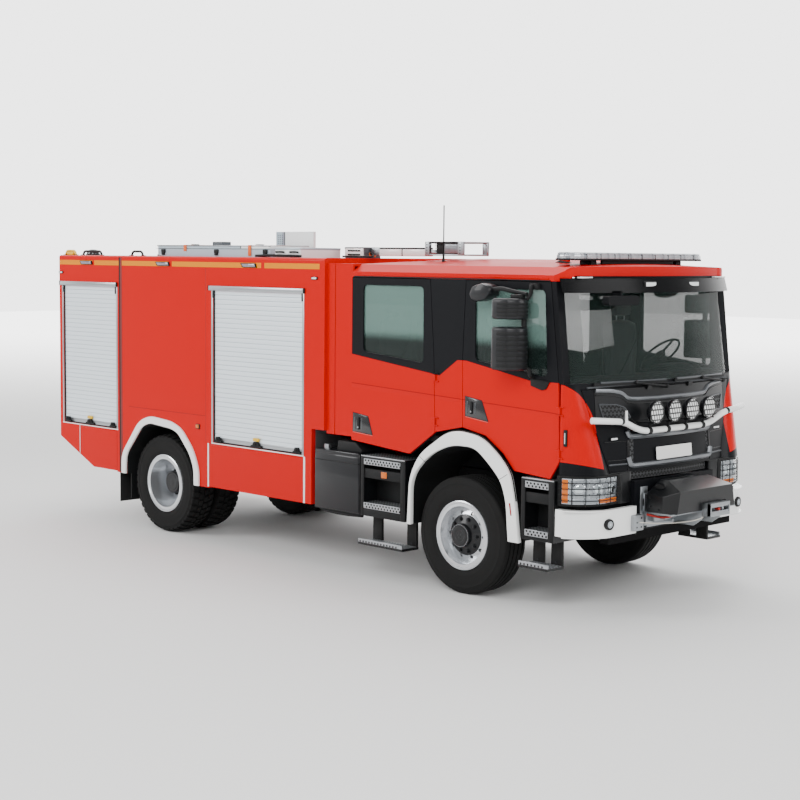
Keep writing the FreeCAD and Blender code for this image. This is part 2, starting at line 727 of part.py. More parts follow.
def crossMember(x):
    top = v.railTop - v.railWeb
    inner = v.railOuter - v.railWeb
    return block(x - v.crossHalf, x + v.crossHalf, -inner, inner, top - v.crossTall, top)


def towJaw():
    x = v.frameRear - v.crossHalf
    middle = (v.railTop + v.railBottom) / 2
    jaw = block(x - v.jawReach, x + v.crossHalf, -v.jawHalf, v.jawHalf,
                middle - v.jawHalf, middle + v.jawHalf)
    slot = block(x - 2 * v.jawReach, x - v.jawBack, -2 * v.jawHalf, 2 * v.jawHalf,
                 middle - v.jawSlot / 2, middle + v.jawSlot / 2)
    bore = rod("Z", x - v.jawReach / 2, 0, middle - 2 * v.jawHalf, v.jawPinRadius,
               4 * v.jawHalf)
    return cut(jaw, slot, bore)


def chassisFrame():
    members = [crossMember(v.frameRear + v.crossHalf), crossMember(rearAxle - v.springHalfLength),
               crossMember(rearAxle + v.springHalfLength), crossMember(v.transferFront + 2 * v.crossHalf),
               crossMember(v.frameFront - v.crossHalf)]
    underrun = block(v.frameRear - v.underrunDeep, v.frameRear, -v.underrunHalf, v.underrunHalf,
                     v.railTop - v.underrunTall, v.railTop)
    rests = [both(block(x - v.crossHalf, x + v.crossHalf, v.railOuter - v.railFlange, v.railOuter,
                        v.railTop, v.floorBottom))
             for x in (v.cabRear + 2 * v.crossHalf, v.frameFront - v.restBack)]
    return fused(both(rail()), *members, *rests, underrun, towJaw())


def powertrain():
    engine = block(v.engineRear, v.engineFront, -v.engineHalf, v.engineHalf,
                   v.engineBottom, v.engineTop)
    gearbox = block(v.gearboxRear, v.engineRear, -v.gearboxHalf, v.gearboxHalf,
                    v.engineBottom, v.gearboxTop)
    transfer = block(v.transferRear, v.transferFront, -v.gearboxHalf, v.gearboxHalf,
                     v.transferBottom, v.gearboxTop)
    link = rod("X", v.transferFront, 0, v.shaftHeight + v.shaftRadius, v.shaftRadius,
               v.gearboxRear - v.transferFront)
    low = v.transferBottom + v.shaftRadius
    yoke = 2 * v.propRadius
    rearEnd = rearAxle + 3 * v.diffHalf
    frontEnd = v.frontAxle - 3 * v.diffHalf
    rear = strut((v.transferRear, v.diffSide, low),
                 (rearEnd + v.propRadius, v.diffSide, axleHeight), v.propRadius)
    front = strut((v.transferFront, v.diffSide, low),
                  (frontEnd - v.propRadius, v.diffSide, axleHeight), v.propRadius)
    yokes = [rod("X", x, v.diffSide, axleHeight, v.propRadius, yoke)
             for x in (rearEnd, frontEnd - yoke)]
    return fused(engine, gearbox, transfer, link, rear, front, *yokes)


# Cab: floor, rear wall and engine tunnel

roofInner = v.roofShoulder - v.roofThick / 2
roofInnerZ = v.roofEdgeZ - v.roofThick


def cabShell():
    floorTop = v.floorBottom + v.floorThick
    floor = block(v.cabRear, v.floorFront, -v.floorHalf, v.floorHalf, v.floorBottom, floorTop)
    hood = block(v.tunnelRear, v.floorFront, -v.tunnelHalf, v.tunnelHalf,
                 v.floorBottom, v.tunnelTop)
    cavity = block(v.tunnelRear + v.tunnelWall, v.floorFront + v.tunnelWall,
                   -v.tunnelHalf + v.tunnelWall, v.tunnelHalf - v.tunnelWall,
                   v.floorBottom - v.tunnelWall, v.tunnelTop - v.tunnelWall)
    wall = plate("cross", [rearWallOutline(floorTop)], v.cabRear, v.cabRear + v.wallThick)
    firewall = block(v.floorFront - v.firewallThick, v.floorFront, -v.floorHalf, v.floorHalf,
                     floorTop, v.firewallTop)
    opening = block(v.floorFront - 2 * v.firewallThick, v.floorFront + v.firewallThick,
                    -v.tunnelHalf + v.tunnelWall, v.tunnelHalf - v.tunnelWall,
                    v.floorBottom - v.tunnelWall, v.tunnelTop - v.tunnelWall)
    return cut(fused(floor, hood, wall, firewall), cavity, opening)


def rearWallOutline(low):
    edge = v.roofEdge - v.roofThick
    return [(-v.floorHalf, low), (v.floorHalf, low), (v.floorHalf, v.roofFoot),
            (edge, v.roofFoot + v.roofThick), (-edge, v.roofFoot + v.roofThick),
            (-v.floorHalf, v.roofFoot)]


# Cab sides: four doors and the fixed panels between them

doorOuter = -v.cabHalf
doorInner = -v.cabHalf + v.doorThick


def rearDoorOutline():
    rear = v.cabRear
    return [(rear, v.rearDoorBottom), (v.rearDoorToeX, v.rearDoorToe),
            (v.rearDoorFoot, v.rearDoorFootZ), (v.rearDoorWaist, v.waistZ),
            (v.rearDoorHead, v.doorTop), (rear, v.doorTop)]


def rearWindow():
    return [(v.rearGlassRear, v.rearGlassSill), (v.rearGlassFront, v.rearGlassDrop),
            (v.rearGlassFront - v.seam, v.glassHead), (v.rearGlassRear, v.glassHead)]


def frontDoorOutline():
    return [(v.frontDoorHeel, v.frontDoorHeelZ), (v.archNearX, v.archNearZ),
            (v.archFarX, v.archFarZ), (v.frontDoorSill, v.frontDoorSillZ),
            (v.frontDoorToe, v.frontDoorToeZ), (v.frontDoorEdge, v.frontDoorEdgeZ),
            (v.frontDoorBelt, v.beltZ), (v.frontDoorPeak, v.doorTop),
            (v.frontDoorHead, v.doorTop), (v.frontDoorWaist, v.waistZ)]


def frontWindow():
    return [(v.frontGlassRear, v.frontGlassSill), (v.frontGlassFront, v.frontGlassDrop),
            (v.frontGlassFrontTop, v.glassHead), (v.frontGlassRearTop, v.glassHead)]


def windowPane(window):
    outline = rounded(offsetIn(window, v.glassGap), v.glassRound - v.glassGap)
    return plate("side", [outline], doorOuter + v.paneInset, doorOuter + v.paneInset + v.paneThick)


def sidePanel():
    # The fixed panel between the doors follows both door edges.
    gap = v.seam
    outline = [(v.rearDoorFoot + gap, v.rearDoorFootZ + gap),
               (v.frontDoorHeel - gap, v.frontDoorHeelZ),
               (v.frontDoorWaist - gap, v.waistZ), (v.frontDoorHead - gap, v.doorTop),
               (v.frontDoorHead - gap, v.roofFoot), (v.rearDoorHead + gap, v.roofFoot),
               (v.rearDoorHead + gap, v.doorTop), (v.rearDoorWaist + gap, v.waistZ)]
    return plate("side", [outline], doorOuter, -v.floorHalf)


doorHinges = {
    "rear": (v.rearDoorFoot + v.hingeAhead, (v.rearHingeLow, v.rearHingeHigh)),
    "front": (v.frontDoorEdge + v.hingeAhead, (v.doorHingeLow, v.doorHingeHigh)),
}


def cabSides():
    for name, outline, window in (
            ("rear", rearDoorOutline(), rearWindow()),
            ("front", frontDoorOutline(), frontWindow())):
        panel = plate("side", [outline, rounded(window, v.glassRound)], doorOuter, doorInner)
        door = fused(panel, *doorHingeMoving(*doorHinges[name]))
        pane = windowPane(window)
        node(f"{name}_door_right", door)
        node(f"{name}_door_left", mirrored(door))
        node(f"{name}_glass_right", pane)
        node(f"{name}_glass_left", mirrored(pane))
    pins = mirrored(doorHingeFixed(*doorHinges["rear"]))
    node("cab_side_panels", both(fused(sidePanel(), pins)))


def doorHingeMoving(x, heights):
    # Barrels outside the door's skin, on the right side, with their leaves.
    pieces = []
    y = doorOuter - v.hingeOut
    for z in heights:
        pieces.append(cut(
            fused(rod("Z", x, y, z, v.barrelRadius, v.barrelLong),
                  block(x - v.leafLong, x, y - v.leafThick / 2, y + v.leafThick / 2, z,
                        z + v.barrelLong),
                  block(x - v.leafLong, x - v.leafLong + v.leafRoot, y - v.leafThick / 2,
                        doorOuter, z, z + v.barrelLong)),
            rod("Z", x, y, z - v.barrelRadius, v.hingePin + v.runningFit,
                v.barrelLong + 2 * v.barrelRadius)))
    return pieces


def doorHingeFixed(x, heights):
    # Pins and lugs on the left side: mirrored with the frame that carries them.
    pieces = []
    y = v.cabHalf + v.hingeOut
    tall = v.barrelLong + 2 * v.barrelRadius
    for z in heights:
        pieces.append(rod("Z", x, y, z - v.barrelRadius, v.hingePin, tall))
        for low in (z - v.barrelRadius - v.hingeSlack, z + v.barrelLong + v.hingeSlack):
            pieces.append(block(x - v.hingePin, x + v.leafLong, y - v.leafThick / 2,
                                y + v.leafThick / 2, low, low + v.barrelRadius))
            pieces.append(block(x + v.leafLong - v.leafRoot, x + v.leafLong, v.cabHalf,
                                y + v.leafThick / 2, low, low + v.barrelRadius))
    return fused(*pieces)


def hatchAxis():
    return noseAt(v.beltTopZ) + v.hingeAhead, v.beltTopZ + v.hatchGap + v.barrelRadius


def hatchHinges(moving):
    # Two hinges along the hatch's top edge: barrels on the hatch, pins on the scuttle.
    x, z = hatchAxis()
    pieces = []
    long = v.barrelLong
    for side in (-1, 1):
        y = v.hatchHingeSide * side - long / 2
        if moving:
            pieces.append(hatchBarrel(x, y, z, long))
            continue
        pieces.append(rod("Y", x, y - v.barrelRadius, z, v.hingePin, long + 2 * v.barrelRadius))
        for low in (y - v.barrelRadius - v.hingeSlack, y + long + v.hingeSlack):
            pieces.append(block(x - v.leafLong, x + v.hingePin, low, low + v.barrelRadius,
                                z - v.leafThick / 2, z + v.leafThick / 2))
    return pieces


def hatchBarrel(x, y, z, long):
    foot = block(x - v.leafThick, x + v.barrelRadius / 2, y, y + long,
                 v.beltTopZ - v.leafRoot, z)
    root = block(x - v.leafRoot * 2, x, y, y + long, v.beltTopZ - v.leafRoot * 2,
                 v.beltTopZ - v.leafRoot)
    barrel = rod("Y", x, y, z, v.barrelRadius, long)
    bore = rod("Y", x, y - v.barrelRadius, z, v.hingePin + v.runningFit,
               long + 2 * v.barrelRadius)
    return cut(fused(barrel, foot, root), bore)


def mirrorSet():
    # Two housings and a wide kerb mirror on an arm fixed to the front door.
    stemX = v.frontDoorPeak - v.stemBack
    stemY = -v.mirrorInner - v.stemIn
    front, kerbFront = stemX - v.mirrorGap, stemX - v.kerbGap
    kerbTop = v.kerbLow + v.kerbTall
    housings = []
    links = []
    for low, tall in ((v.mirrorLow, v.mirrorTall), (v.mirrorHigh, v.mirrorUpper)):
        outline = rounded(rectangle(-v.mirrorInner - v.mirrorWide, -v.mirrorInner, low,
                                    low + tall), v.mirrorRound)
        housings.append(plate("cross", [outline], front - v.mirrorDeep, front))
        links.append(rod("X", front - v.mirrorRound, stemY, low + tall / 2, v.mirrorArm,
                         v.mirrorGap + v.mirrorRound))
    kerb = plate("side", [rounded(rectangle(kerbFront - v.kerbLong, kerbFront, v.kerbLow,
                                            kerbTop), v.mirrorRound)],
                 stemY + v.kerbIn - v.kerbDeep, stemY + v.kerbIn)
    stem = rod("Z", stemX, stemY, v.stemFoot - v.mirrorArm, v.mirrorArm,
               v.stemHead - v.stemFoot + 2 * v.mirrorArm)
    arms = [rod("Y", stemX, stemY, z, v.mirrorArm, -stemY - v.cabHalf)
            for z in (v.stemFoot, v.stemHead)]
    boom = rod("X", kerbFront - v.mirrorRound, stemY, kerbTop - v.mirrorRound, v.mirrorArm,
               v.kerbGap + v.mirrorRound)
    return fused(*housings, kerb, stem, *arms, *links, boom)


# Cab front: every piece follows one curve in plan

def faceX(nose, side):
    return nose - v.faceRadius + (v.faceRadius * v.faceRadius - side * side).root()


def noseAt(z):
    # The face leans back evenly from the foot of the panels to the windscreen.
    return v.noseFoot + (v.noseScreen - v.noseFoot) * (z - v.footZ) / (v.screenZ - v.footZ)


def darkSide(z):
    # Half the width of the dark centre, which widens upwards.
    return v.darkFoot + (v.darkTop - v.darkFoot) * (z - v.footZ) / (v.screenZ - v.footZ)


def faceStrip(nose, near, far, thick):
    # A strip of the curved face between two sides, on the left.
    return [(faceX(nose, near) - thick, near), (faceX(nose, near), near, v.faceRadius),
            (faceX(nose, far), far), (faceX(nose, far) - thick, far, -v.faceRadius)]


def faceBand(nose, side, thick):
    # A strip of the curved face, as wide as two sides.
    return [(faceX(nose, side) - thick, -side), (faceX(nose, side), -side, v.faceRadius),
            (faceX(nose, side), side), (faceX(nose, side) - thick, side, -v.faceRadius)]


def cornerSection(nose, side, thick):
    # From the dark centre panel round to the door's front edge, on the left.
    start = v.frontDoorEdge + v.seam
    return [(start, v.cabHalf - thick), (v.cornerSide, v.cabHalf - thick, -v.cornerRound),
            (faceX(nose, side) - thick, side), (faceX(nose, side), side, v.cornerRound),
            (v.cornerSide, v.cabHalf), (start, v.cabHalf)]


def cornerPanel():
    return lofted("plan", [
        (v.footZ, cornerSection(v.noseFoot, v.darkFoot + v.hatchGap, v.frontPanel)),
        (v.screenZ, cornerSection(v.noseScreen, v.darkTop + v.hatchGap, v.frontPanel)),
    ])


def pillarSection(doorX, endX, end):
    thick = v.frontPanel
    return [(doorX, v.cabHalf - thick), (endX - thick, end - v.hatchGap),
            (endX + v.hatchGap, end + v.hatchGap), (doorX + v.pillarWide, v.cabHalf),
            (doorX, v.cabHalf)]


def frontPillar():
    return lofted("plan", [
        (v.screenZ, pillarSection(v.frontDoorBelt + v.seam, v.screenEndX, v.screenEnd)),
        (v.roofFoot, pillarSection(v.frontDoorPeak + v.seam, v.screenHeadEndX,
                                   v.screenHeadEnd)),
    ])


def cabFrontFrame():
    headBand = faceBand(v.noseHead - v.screenThick, v.screenShoulder, v.frontPanel)
    header = plate("plan", [headBand], v.screenHeadZ + v.hatchGap, v.roofFoot + v.roofThick)
    low = v.beltTopZ + v.hatchGap
    scuttle = lofted("plan", [
        (low, faceBand(noseAt(low), darkSide(low) + v.hatchGap, v.frontPanel)),
        (v.screenZ, faceBand(v.noseScreen, v.darkTop + v.hatchGap, v.frontPanel)),
    ])
    corner = fused(cornerPanel(), frontPillar(), doorHingeFixed(*doorHinges["front"]))
    return fused(both(corner), header, scuttle, *hatchHinges(False))


def screenSection(nose, endX, end, thick):
    shoulder = v.screenShoulder
    x = faceX(nose, shoulder)
    return [
        (endX - thick, -end), (endX, -end, v.screenCorner), (x, -shoulder, v.faceRadius),
        (x, shoulder, v.screenCorner), (endX, end), (endX - thick, end, -v.screenCorner),
        (x - thick, shoulder, -v.faceRadius), (x - thick, -shoulder, -v.screenCorner),
    ]


def windscreen():
    return lofted("plan", [
        (v.screenZ, screenSection(v.noseScreen, v.screenEndX, v.screenEnd, v.screenThick)),
        (v.screenHeadZ, screenSection(v.noseHead, v.screenHeadEndX, v.screenHeadEnd,
                                      v.screenThick)),
    ])


def frontHatch():
    skin = lofted("plan", [
        (v.sillZ + v.hatchGap, faceBand(noseAt(v.sillZ + v.hatchGap), v.hatchSide,
                                        v.frontPanel)),
        (v.beltTopZ, faceBand(noseAt(v.beltTopZ), v.hatchSide, v.frontPanel)),
    ])
    return fused(skin, *hatchHinges(True))


def lowerGrille():
    side = v.hatchSide + v.hatchGap
    panel = lofted("plan", [
        (v.footZ, faceBand(v.noseFoot, v.darkFoot, v.frontPanel)),
        (v.sillZ, faceBand(noseAt(v.sillZ), darkSide(v.sillZ), v.frontPanel)),
    ])
    ear = lofted("plan", [
        (v.sillZ, faceStrip(noseAt(v.sillZ), side, darkSide(v.sillZ), v.frontPanel)),
        (v.beltTopZ, faceStrip(noseAt(v.beltTopZ), side, darkSide(v.beltTopZ), v.frontPanel)),
    ])
    arm = block(v.floorFront, faceX(noseAt(v.floorBottom), v.staySide) - v.frontPanel / 2,
                v.staySide - v.stayHalf, v.staySide + v.stayHalf, v.floorBottom,
                v.floorBottom + v.floorThick)
    return fused(panel, both(ear), both(arm))


def wipers():
    # Two blades that lie along the foot of the glass, on arms from the scuttle.
    ahead = v.wiperAhead
    blade = plate("plan", [faceStrip(v.noseScreen + ahead, v.wiperThick * 4,
                                     v.wiperThick * 4 + v.wiperLong, v.wiperThick)],
                  v.wiperZ, v.wiperZ + v.wiperRise)
    side = v.wiperLong / 2
    foot = faceX(noseAt(v.wiperZ), side - v.wiperThick) + v.beadGap
    arm = block(foot, faceX(v.noseScreen, side) + ahead, side - v.wiperThick,
                side + v.wiperThick, v.wiperZ, v.wiperZ + v.wiperRise)
    return both(fused(blade, arm))


# Cab roof, visor and light bar

def roofSection(crown):
    thick = v.roofThick
    half = v.cabHalf
    edge = v.roofEdge
    bend = (edge * edge + (crown - v.roofEdgeZ) * (crown - v.roofEdgeZ)) / (
        2 * (crown - v.roofEdgeZ))
    inner = edge - thick
    return [
        (half, v.roofFoot), (half, v.roofShoulder), (edge, v.roofEdgeZ, bend),
        (-edge, v.roofEdgeZ), (-half, v.roofShoulder), (-half, v.roofFoot),
        (-v.floorHalf, v.roofFoot), (-inner, v.roofFoot + thick), (inner, v.roofFoot + thick),
        (v.floorHalf, v.roofFoot),
    ]


def cabRoof():
    skin = lofted("cross", [
        (v.cabRear, roofSection(v.roofRearCrown)), (v.roofMid, roofSection(v.roofMidCrown)),
        (v.roofFall, roofSection(v.roofMidCrown)), (v.roofNose, roofSection(v.roofFrontCrown)),
    ])
    half = v.cabHalf
    corner = v.screenShoulder
    tip = faceX(v.noseHead, corner)
    outline = [(v.cabRear, -half), (v.roofTipX, -half, v.cornerRound),
               (tip, -corner, v.faceRadius), (tip, corner, v.cornerRound),
               (v.roofTipX, half), (v.cabRear, half)]
    trim = plate("plan", [outline], v.roofFoot, v.barTop)
    whip = rod("Z", v.whipX, -v.whipSide, v.roofEdgeZ, v.whipRadius, v.whipTop - v.roofEdgeZ)
    fin = block(v.finX, v.finX + v.finLong, -v.finSide, -v.finSide + v.finThick,
                v.roofEdgeZ, v.finTop)
    return fused(common(skin, trim), whip, fin)


visorBracketShares = (0.25, 0.75)


def visorSection(endX, thick):
    end = v.visorEnd
    return [(endX - thick, -end), (endX, -end, v.visorRadius), (endX, end),
            (endX - thick, end, -v.visorRadius)]


def visorX(endX, side):
    bend, end = v.visorRadius, v.visorEnd
    return endX + (bend * bend - side * side).root() - (bend * bend - end * end).root()


def sunVisor():
    # A curved blade on four brackets from the roof's front edge.
    blade = lofted("plan", [
        (v.visorLow, visorSection(v.visorEndX, v.visorThick)),
        (v.visorHigh, visorSection(v.visorTopEndX, v.visorThick)),
    ])
    brackets = []
    for share in visorBracketShares:
        y = v.visorEnd * share
        brackets.append(both(block(
            faceX(v.noseHead - v.screenThick, y - v.visorThick) + v.beadGap,
            visorX(v.visorTopEndX, y), y - v.visorThick, y + v.visorThick,
            v.roofFoot + v.visorThick / 2, v.visorHigh)))
    return fused(blade, *brackets, frontMirror())


def frontMirror():
    # The mirror that shows the ground ahead of the bumper, on an arm from the visor.
    outline = rounded(rectangle(-v.kerbViewOuter, -v.kerbViewInner, v.kerbViewLow,
                                v.kerbViewTop), v.kerbViewRound)
    housing = plate("cross", [outline], v.kerbViewRear, v.kerbViewFront)
    middle = (v.kerbViewInner + v.kerbViewOuter) / 2
    arm = block(visorX(v.visorEndX, middle) - v.visorThick, v.kerbViewFront - v.kerbViewRound,
                -middle - v.visorThick, -middle + v.visorThick,
                v.kerbViewTop - v.kerbViewRound, v.kerbViewArm)
    return fused(housing, arm)


def lightBar(roof):
    # Its feet stand on the roof.
    outline = rounded(rectangle(v.barRear, v.barFront, -v.barHalf, v.barHalf), v.barRound)
    bar = plate("plan", [outline], v.barLow, v.barTop)
    middle = (v.barRear + v.barFront) / 2
    feet = both(block(middle - v.barFootHalf, middle + v.barFootHalf,
                      v.barFootSide - v.barFootHalf, v.barFootSide + v.barFootHalf,
                      v.barLow - v.roofThick, v.barLow))
    return fused(bar, cut(feet, roof))


def gapFairings():
    loops = []
    for rear, front in ((v.bodyFront, v.gapSplit - v.gapSlit / 2),
                        (v.gapSplit + v.gapSlit / 2, v.cabRear)):
        half, thick, low, top = v.gapHalf, v.gapThick, v.gapLow, v.gapTop
        outline = [(-half, low), (-half + thick, low), (-half + thick, top - thick),
                   (half - thick, top - thick), (half - thick, low), (half, low),
                   (half, top), (-half, top)]
        loops.append(plate("cross", [outline], rear, front))
    return together(*loops)


# Inside the cab

def seat(x0, x1, y0, y1, low, top, backTop, headTop):
    middle = (y0 + y1) / 2
    cushion = block(x0, x1, y0, y1, low, top)
    back = block(x0, x0 + v.backThick, y0, y1, top, backTop)
    rest = block(x0, x0 + v.backThick, middle - v.headHalf, middle + v.headHalf, backTop, headTop)
    base = block(x0 + v.pedestalInset, x1 - v.pedestalInset, y0 + v.pedestalInset,
                 y1 - v.pedestalInset, v.floorBottom + v.floorThick, low)
    return fused(cushion, back, rest, base)


benchSeats = 4


def seats():
    front = both(seat(v.seatRear, v.seatFront, v.seatInner, v.seatOuter, v.seatLow, v.seatTop,
                      v.backTop, v.headTop))
    bench = []
    for index in range(benchSeats):
        y = v.benchPitch * (index - (benchSeats - 1) / 2)
        bench.append(seat(v.benchRear, v.benchFront, y - v.benchHalf, y + v.benchHalf,
                          v.benchLow, v.benchTop, v.backTop, v.headTop))
    return together(front, *bench)


def dashboard():
    rear, front = v.dashRear, v.floorFront - v.firewallThick
    slope = v.backThick
    body = plate("side", [[(rear + slope, v.dashLow), (front, v.dashLow), (front, v.dashTop),
                           (rear + slope, v.dashTop), (rear, v.dashTop - slope)]],
                 -v.dashHalf, v.dashHalf)
    wheel = cut(
        rod("Z", v.wheelX, v.wheelSide, v.wheelZ, v.handwheelRadius, v.handwheelThick),
        rod("Z", v.wheelX, v.wheelSide, v.wheelZ - v.handwheelThick,
            v.handwheelRadius - v.handwheelThick, 3 * v.handwheelThick))
    spoke = block(v.wheelX - v.handwheelThick, v.wheelX + v.handwheelThick,
                  v.wheelSide - v.handwheelRadius + v.handwheelThick / 2,
                  v.wheelSide + v.handwheelRadius - v.handwheelThick / 2,
                  v.wheelZ, v.wheelZ + v.handwheelThick / 2)
    column = rod("Z", v.wheelX, v.wheelSide, v.dashLow, v.columnRadius, v.wheelZ - v.dashLow)
    return fused(body, wheel, spoke, column)


# Steps and boxes under the cab

def stepHousing(rear, front, low):
    outer, inner = -v.stepOuter, -v.stepInner
    wall = v.stepPlate
    case = block(rear, front, outer, inner, low, v.stepTop)
    upper = block(rear + wall, front - wall, outer - wall, outer + v.stepDepth,
                  v.treadMid, v.stepTop - wall)
    lower = block(rear + wall, front - wall, outer - wall, outer + v.stepDepth,
                  low + wall, v.treadMid - wall)
    return cut(case, upper, lower)


def hangingTread(rear, front, low, height):
    outer = -v.archSkin
    inset, thick = v.hangInset, v.hangThick
    tread = block(rear, front, outer, -v.hangInner, height - thick, height)
    straps = [block(x, x + inset, -v.hangInner - thick, -v.hangInner, height - thick, low)
              for x in (rear + inset, front - 2 * inset)]
    return fused(tread, *straps)


def cabSteps():
    rear = fused(stepHousing(v.rearStepRear, v.rearStepFront, v.stepLow),
                 hangingTread(v.rearStepRear, v.rearStepFront, v.stepLow, v.hangTread),
                 block(v.batteryRear, v.batteryFront, -v.stepOuter, -v.batteryInner,
                       v.stepLow, v.stepTop),
                 block(v.batteryFront, v.rearStepRear, -v.stepInner, -v.batteryInner,
                       v.stepLow, v.stepTop),
                 block(v.batteryRear + v.bracketLong, v.batteryRear + 2 * v.bracketLong,
                       -v.batteryInner, -v.railOuter, v.bracketLow,
                       v.bracketLow + v.bracketTall))
    front = fused(stepHousing(v.frontStepRear + v.stepPlate * 3, v.frontStepFront,
                              v.frontStepLow),
                  hangingTread(v.frontStepRear + v.stepPlate * 3, v.frontStepFront - v.stepPlate,
                               v.frontStepLow, v.frontHang),
                  block(v.frontStepFront - 3 * v.bracketLong, v.frontStepFront - 2 * v.bracketLong,
                        -v.stepInner, -v.railOuter, v.bracketLow,
                        v.bracketLow + v.bracketTall))
    return both(together(rear, front))


# Wheel arches

def frontArchOuter():
    return [(v.archRearFoot, v.archFoot), (v.archRearKneeOut, v.archRearKneeZ),
            (v.archRearHipOut, v.archRearHipZ), (v.archTopRearOut, v.archTopOutZ),
            (v.archTopFrontOut, v.archTopOutZ - v.archBand / 2),
            (v.archFrontHipOut, v.archFrontHipZ), (v.archFrontKneeOut, v.archFrontKneeZ),
            (v.archFrontLegOut, v.archFrontLegZ), (v.archFrontFootOut, v.archFoot)]


archHipShare = 1.5
archLegShare = 1.3


def frontArchInner(rear, inset):
    # The arch's opening, whose rear leg stands at its own place.
    band = v.archBand + inset
    return [(rear + inset, v.archFoot), (rear + inset, v.archRearKneeZ),
            (v.archRearHipOut + band * archHipShare, v.archRearHipZ),
            (v.archTopRearOut, v.floorBottom - inset),
            (v.archTopFrontOut - band, v.floorBottom - inset),
            (v.archFrontHipOut - band * archHipShare, v.archFrontHipZ - band),
            (v.archFrontKneeOut - band * archLegShare, v.archFrontKneeZ - band),
            (v.archFrontLegOut - band * archLegShare, v.archFrontLegZ),
            (v.archFrontFootOut - band * archHipShare, v.archFoot)]


archTurnShare = 0.7


def rearArchInner(inset):
    turn = inset * archTurnShare
    return [(v.rearArchRear + inset, v.rearArchFoot),
            (v.rearArchKneeRear + inset, v.rearArchKneeRearZ),
            (v.rearArchShoulder + turn, v.rearArchShoulderZ - turn),
            (v.rearArchPeakRear, v.rearArchPeak - inset),
            (v.rearArchPeakFront, v.rearArchPeakFrontZ - inset),
            (v.rearArchHip - turn, v.rearArchHipZ - turn),
            (v.rearArchElbow - turn, v.rearArchElbowZ - turn),
            (v.rearArchKneeFront - inset, v.rearArchKneeFrontZ),
            (v.rearArchFront - inset, v.rearArchFoot)]


def eased(points, radius):
    # The same open outline with arcs in place of its corners, apart from its two ends.
    result = [points[0]]
    for index in range(1, len(points) - 1):
        result.extend(roundCorner(points[index - 1], points[index], points[index + 1],
                                  sized(radius)))
    return result + [points[-1]]


def ring(outer, inner, radius):
    # An open band between two outlines, with its corners rounded.
    return eased(outer[::-1], radius) + eased(inner, radius)


def archTrims():
    front = plate("side", [ring(frontArchOuter(), frontArchInner(v.archRearFootOut, 0), v.archRound)],
                  -v.archSkin, -v.archPlate)
    rear = plate("side", [ring(rearArchInner(-v.archBand), rearArchInner(0),
                               v.rearArchRound)],
                 -v.rearArchSkin, -v.bodyHalf)
    return both(together(front, rear))


def archLiners():
    outline = ring(frontArchInner(v.linerRear, 0), frontArchInner(v.linerRear, v.linerThick),
                   v.archRound)
    front = plate("side", [outline], -v.archPlate, -v.linerInner)
    rear = plate("side", [ring(rearArchInner(0), rearArchInner(v.linerThick),
                               v.rearArchRound)],
                 -v.bodyHalf, -v.rearLinerInner)
    flap = block(v.rearArchRear, v.rearArchRear + v.mudFlapThick, -v.bodyHalf + v.sideThick,
                 -v.rearLinerInner, v.mudFlapLow, v.rearArchFoot)
    return both(together(front, fused(rear, flap)))


# Front bumper, lamps and winch

def wrapSection(rear, half, roundX, nose, turn, inner, wall, bend):
    # The left half of a bar that wraps round the cab's corner.
    return [(rear, half - wall), (roundX, half - wall, -(bend - wall)), (nose - wall, turn),
            (nose - wall, inner), (nose, inner), (nose, turn, bend), (roundX, half),
            (rear, half)]


def bumperEnds():
    section = wrapSection(v.bumperRear, v.bumperHalf, v.bumperRoundX, v.bumperNose, v.bumperTurn,
                          v.centreHalf, v.bumperWall, v.bumperRound)
    return both(plate("plan", [section], v.bumperLow, v.bumperTop))


def headlights():
    section = wrapSection(v.lampRear, v.lampHalf, v.lampRoundX, v.lampNose, v.lampTurn,
                          v.centreHalf, v.lampWall, v.lampRound)
    return both(plate("plan", [section], v.lampLow, v.lampTop))


def bumperCentre():
    # The middle beam with the valance that reaches under the bumper's ends.
    beam = block(v.frameFront, centreNose, -v.centreHalf, v.centreHalf,
                 v.centreLow, v.centreTop)
    half, wide = v.centreHalf, v.valanceHalf
    high = v.bumperLow - v.beadGap
    valance = plate("cross", [[
        (-wide, v.valanceLow), (wide, v.valanceLow), (wide, high), (half, high),
        (half, v.centreLow), (-half, v.centreLow), (-half, high), (-wide, high),
    ]], v.frameFront, centreNose - v.valanceBack)
    return fused(beam, valance)


def coverOutline(inset):
    return [(v.coverRear + inset, v.coverLow), (v.coverFront - inset, v.coverLow),
            (v.coverFront - inset, v.coverBrow - inset), (v.coverCrest, v.coverTop - inset),
            (v.coverRear + inset, v.coverTop - inset)]


def winchHousing():
    outer = plate("side", [coverOutline(0)], -v.coverHalf, v.coverHalf)
    inner = plate("side", [[(x, z - v.coverWall) if index < 2 else (x, z)
                            for index, (x, z) in enumerate(coverOutline(v.coverWall))]],
                  -v.coverHalf + v.coverWall, v.coverHalf - v.coverWall)
    holes = both(rod("Y", v.sideHoleX, v.coverHalf - 2 * v.coverWall, v.sideHoleZ,
                     v.sideHoleRadius, 3 * v.coverWall))
    return cut(outer, inner, holes, ropeWindow())


def ropeWindow():
    # The way of the rope from the drum out through the lead.
    wall = v.leadWall
    return block(v.coverFront - 2 * wall, v.leadFront + wall, v.leadRight + wall,
                 v.leadLeft - wall, v.leadLow + 2 * wall, v.leadTop - 2 * wall)


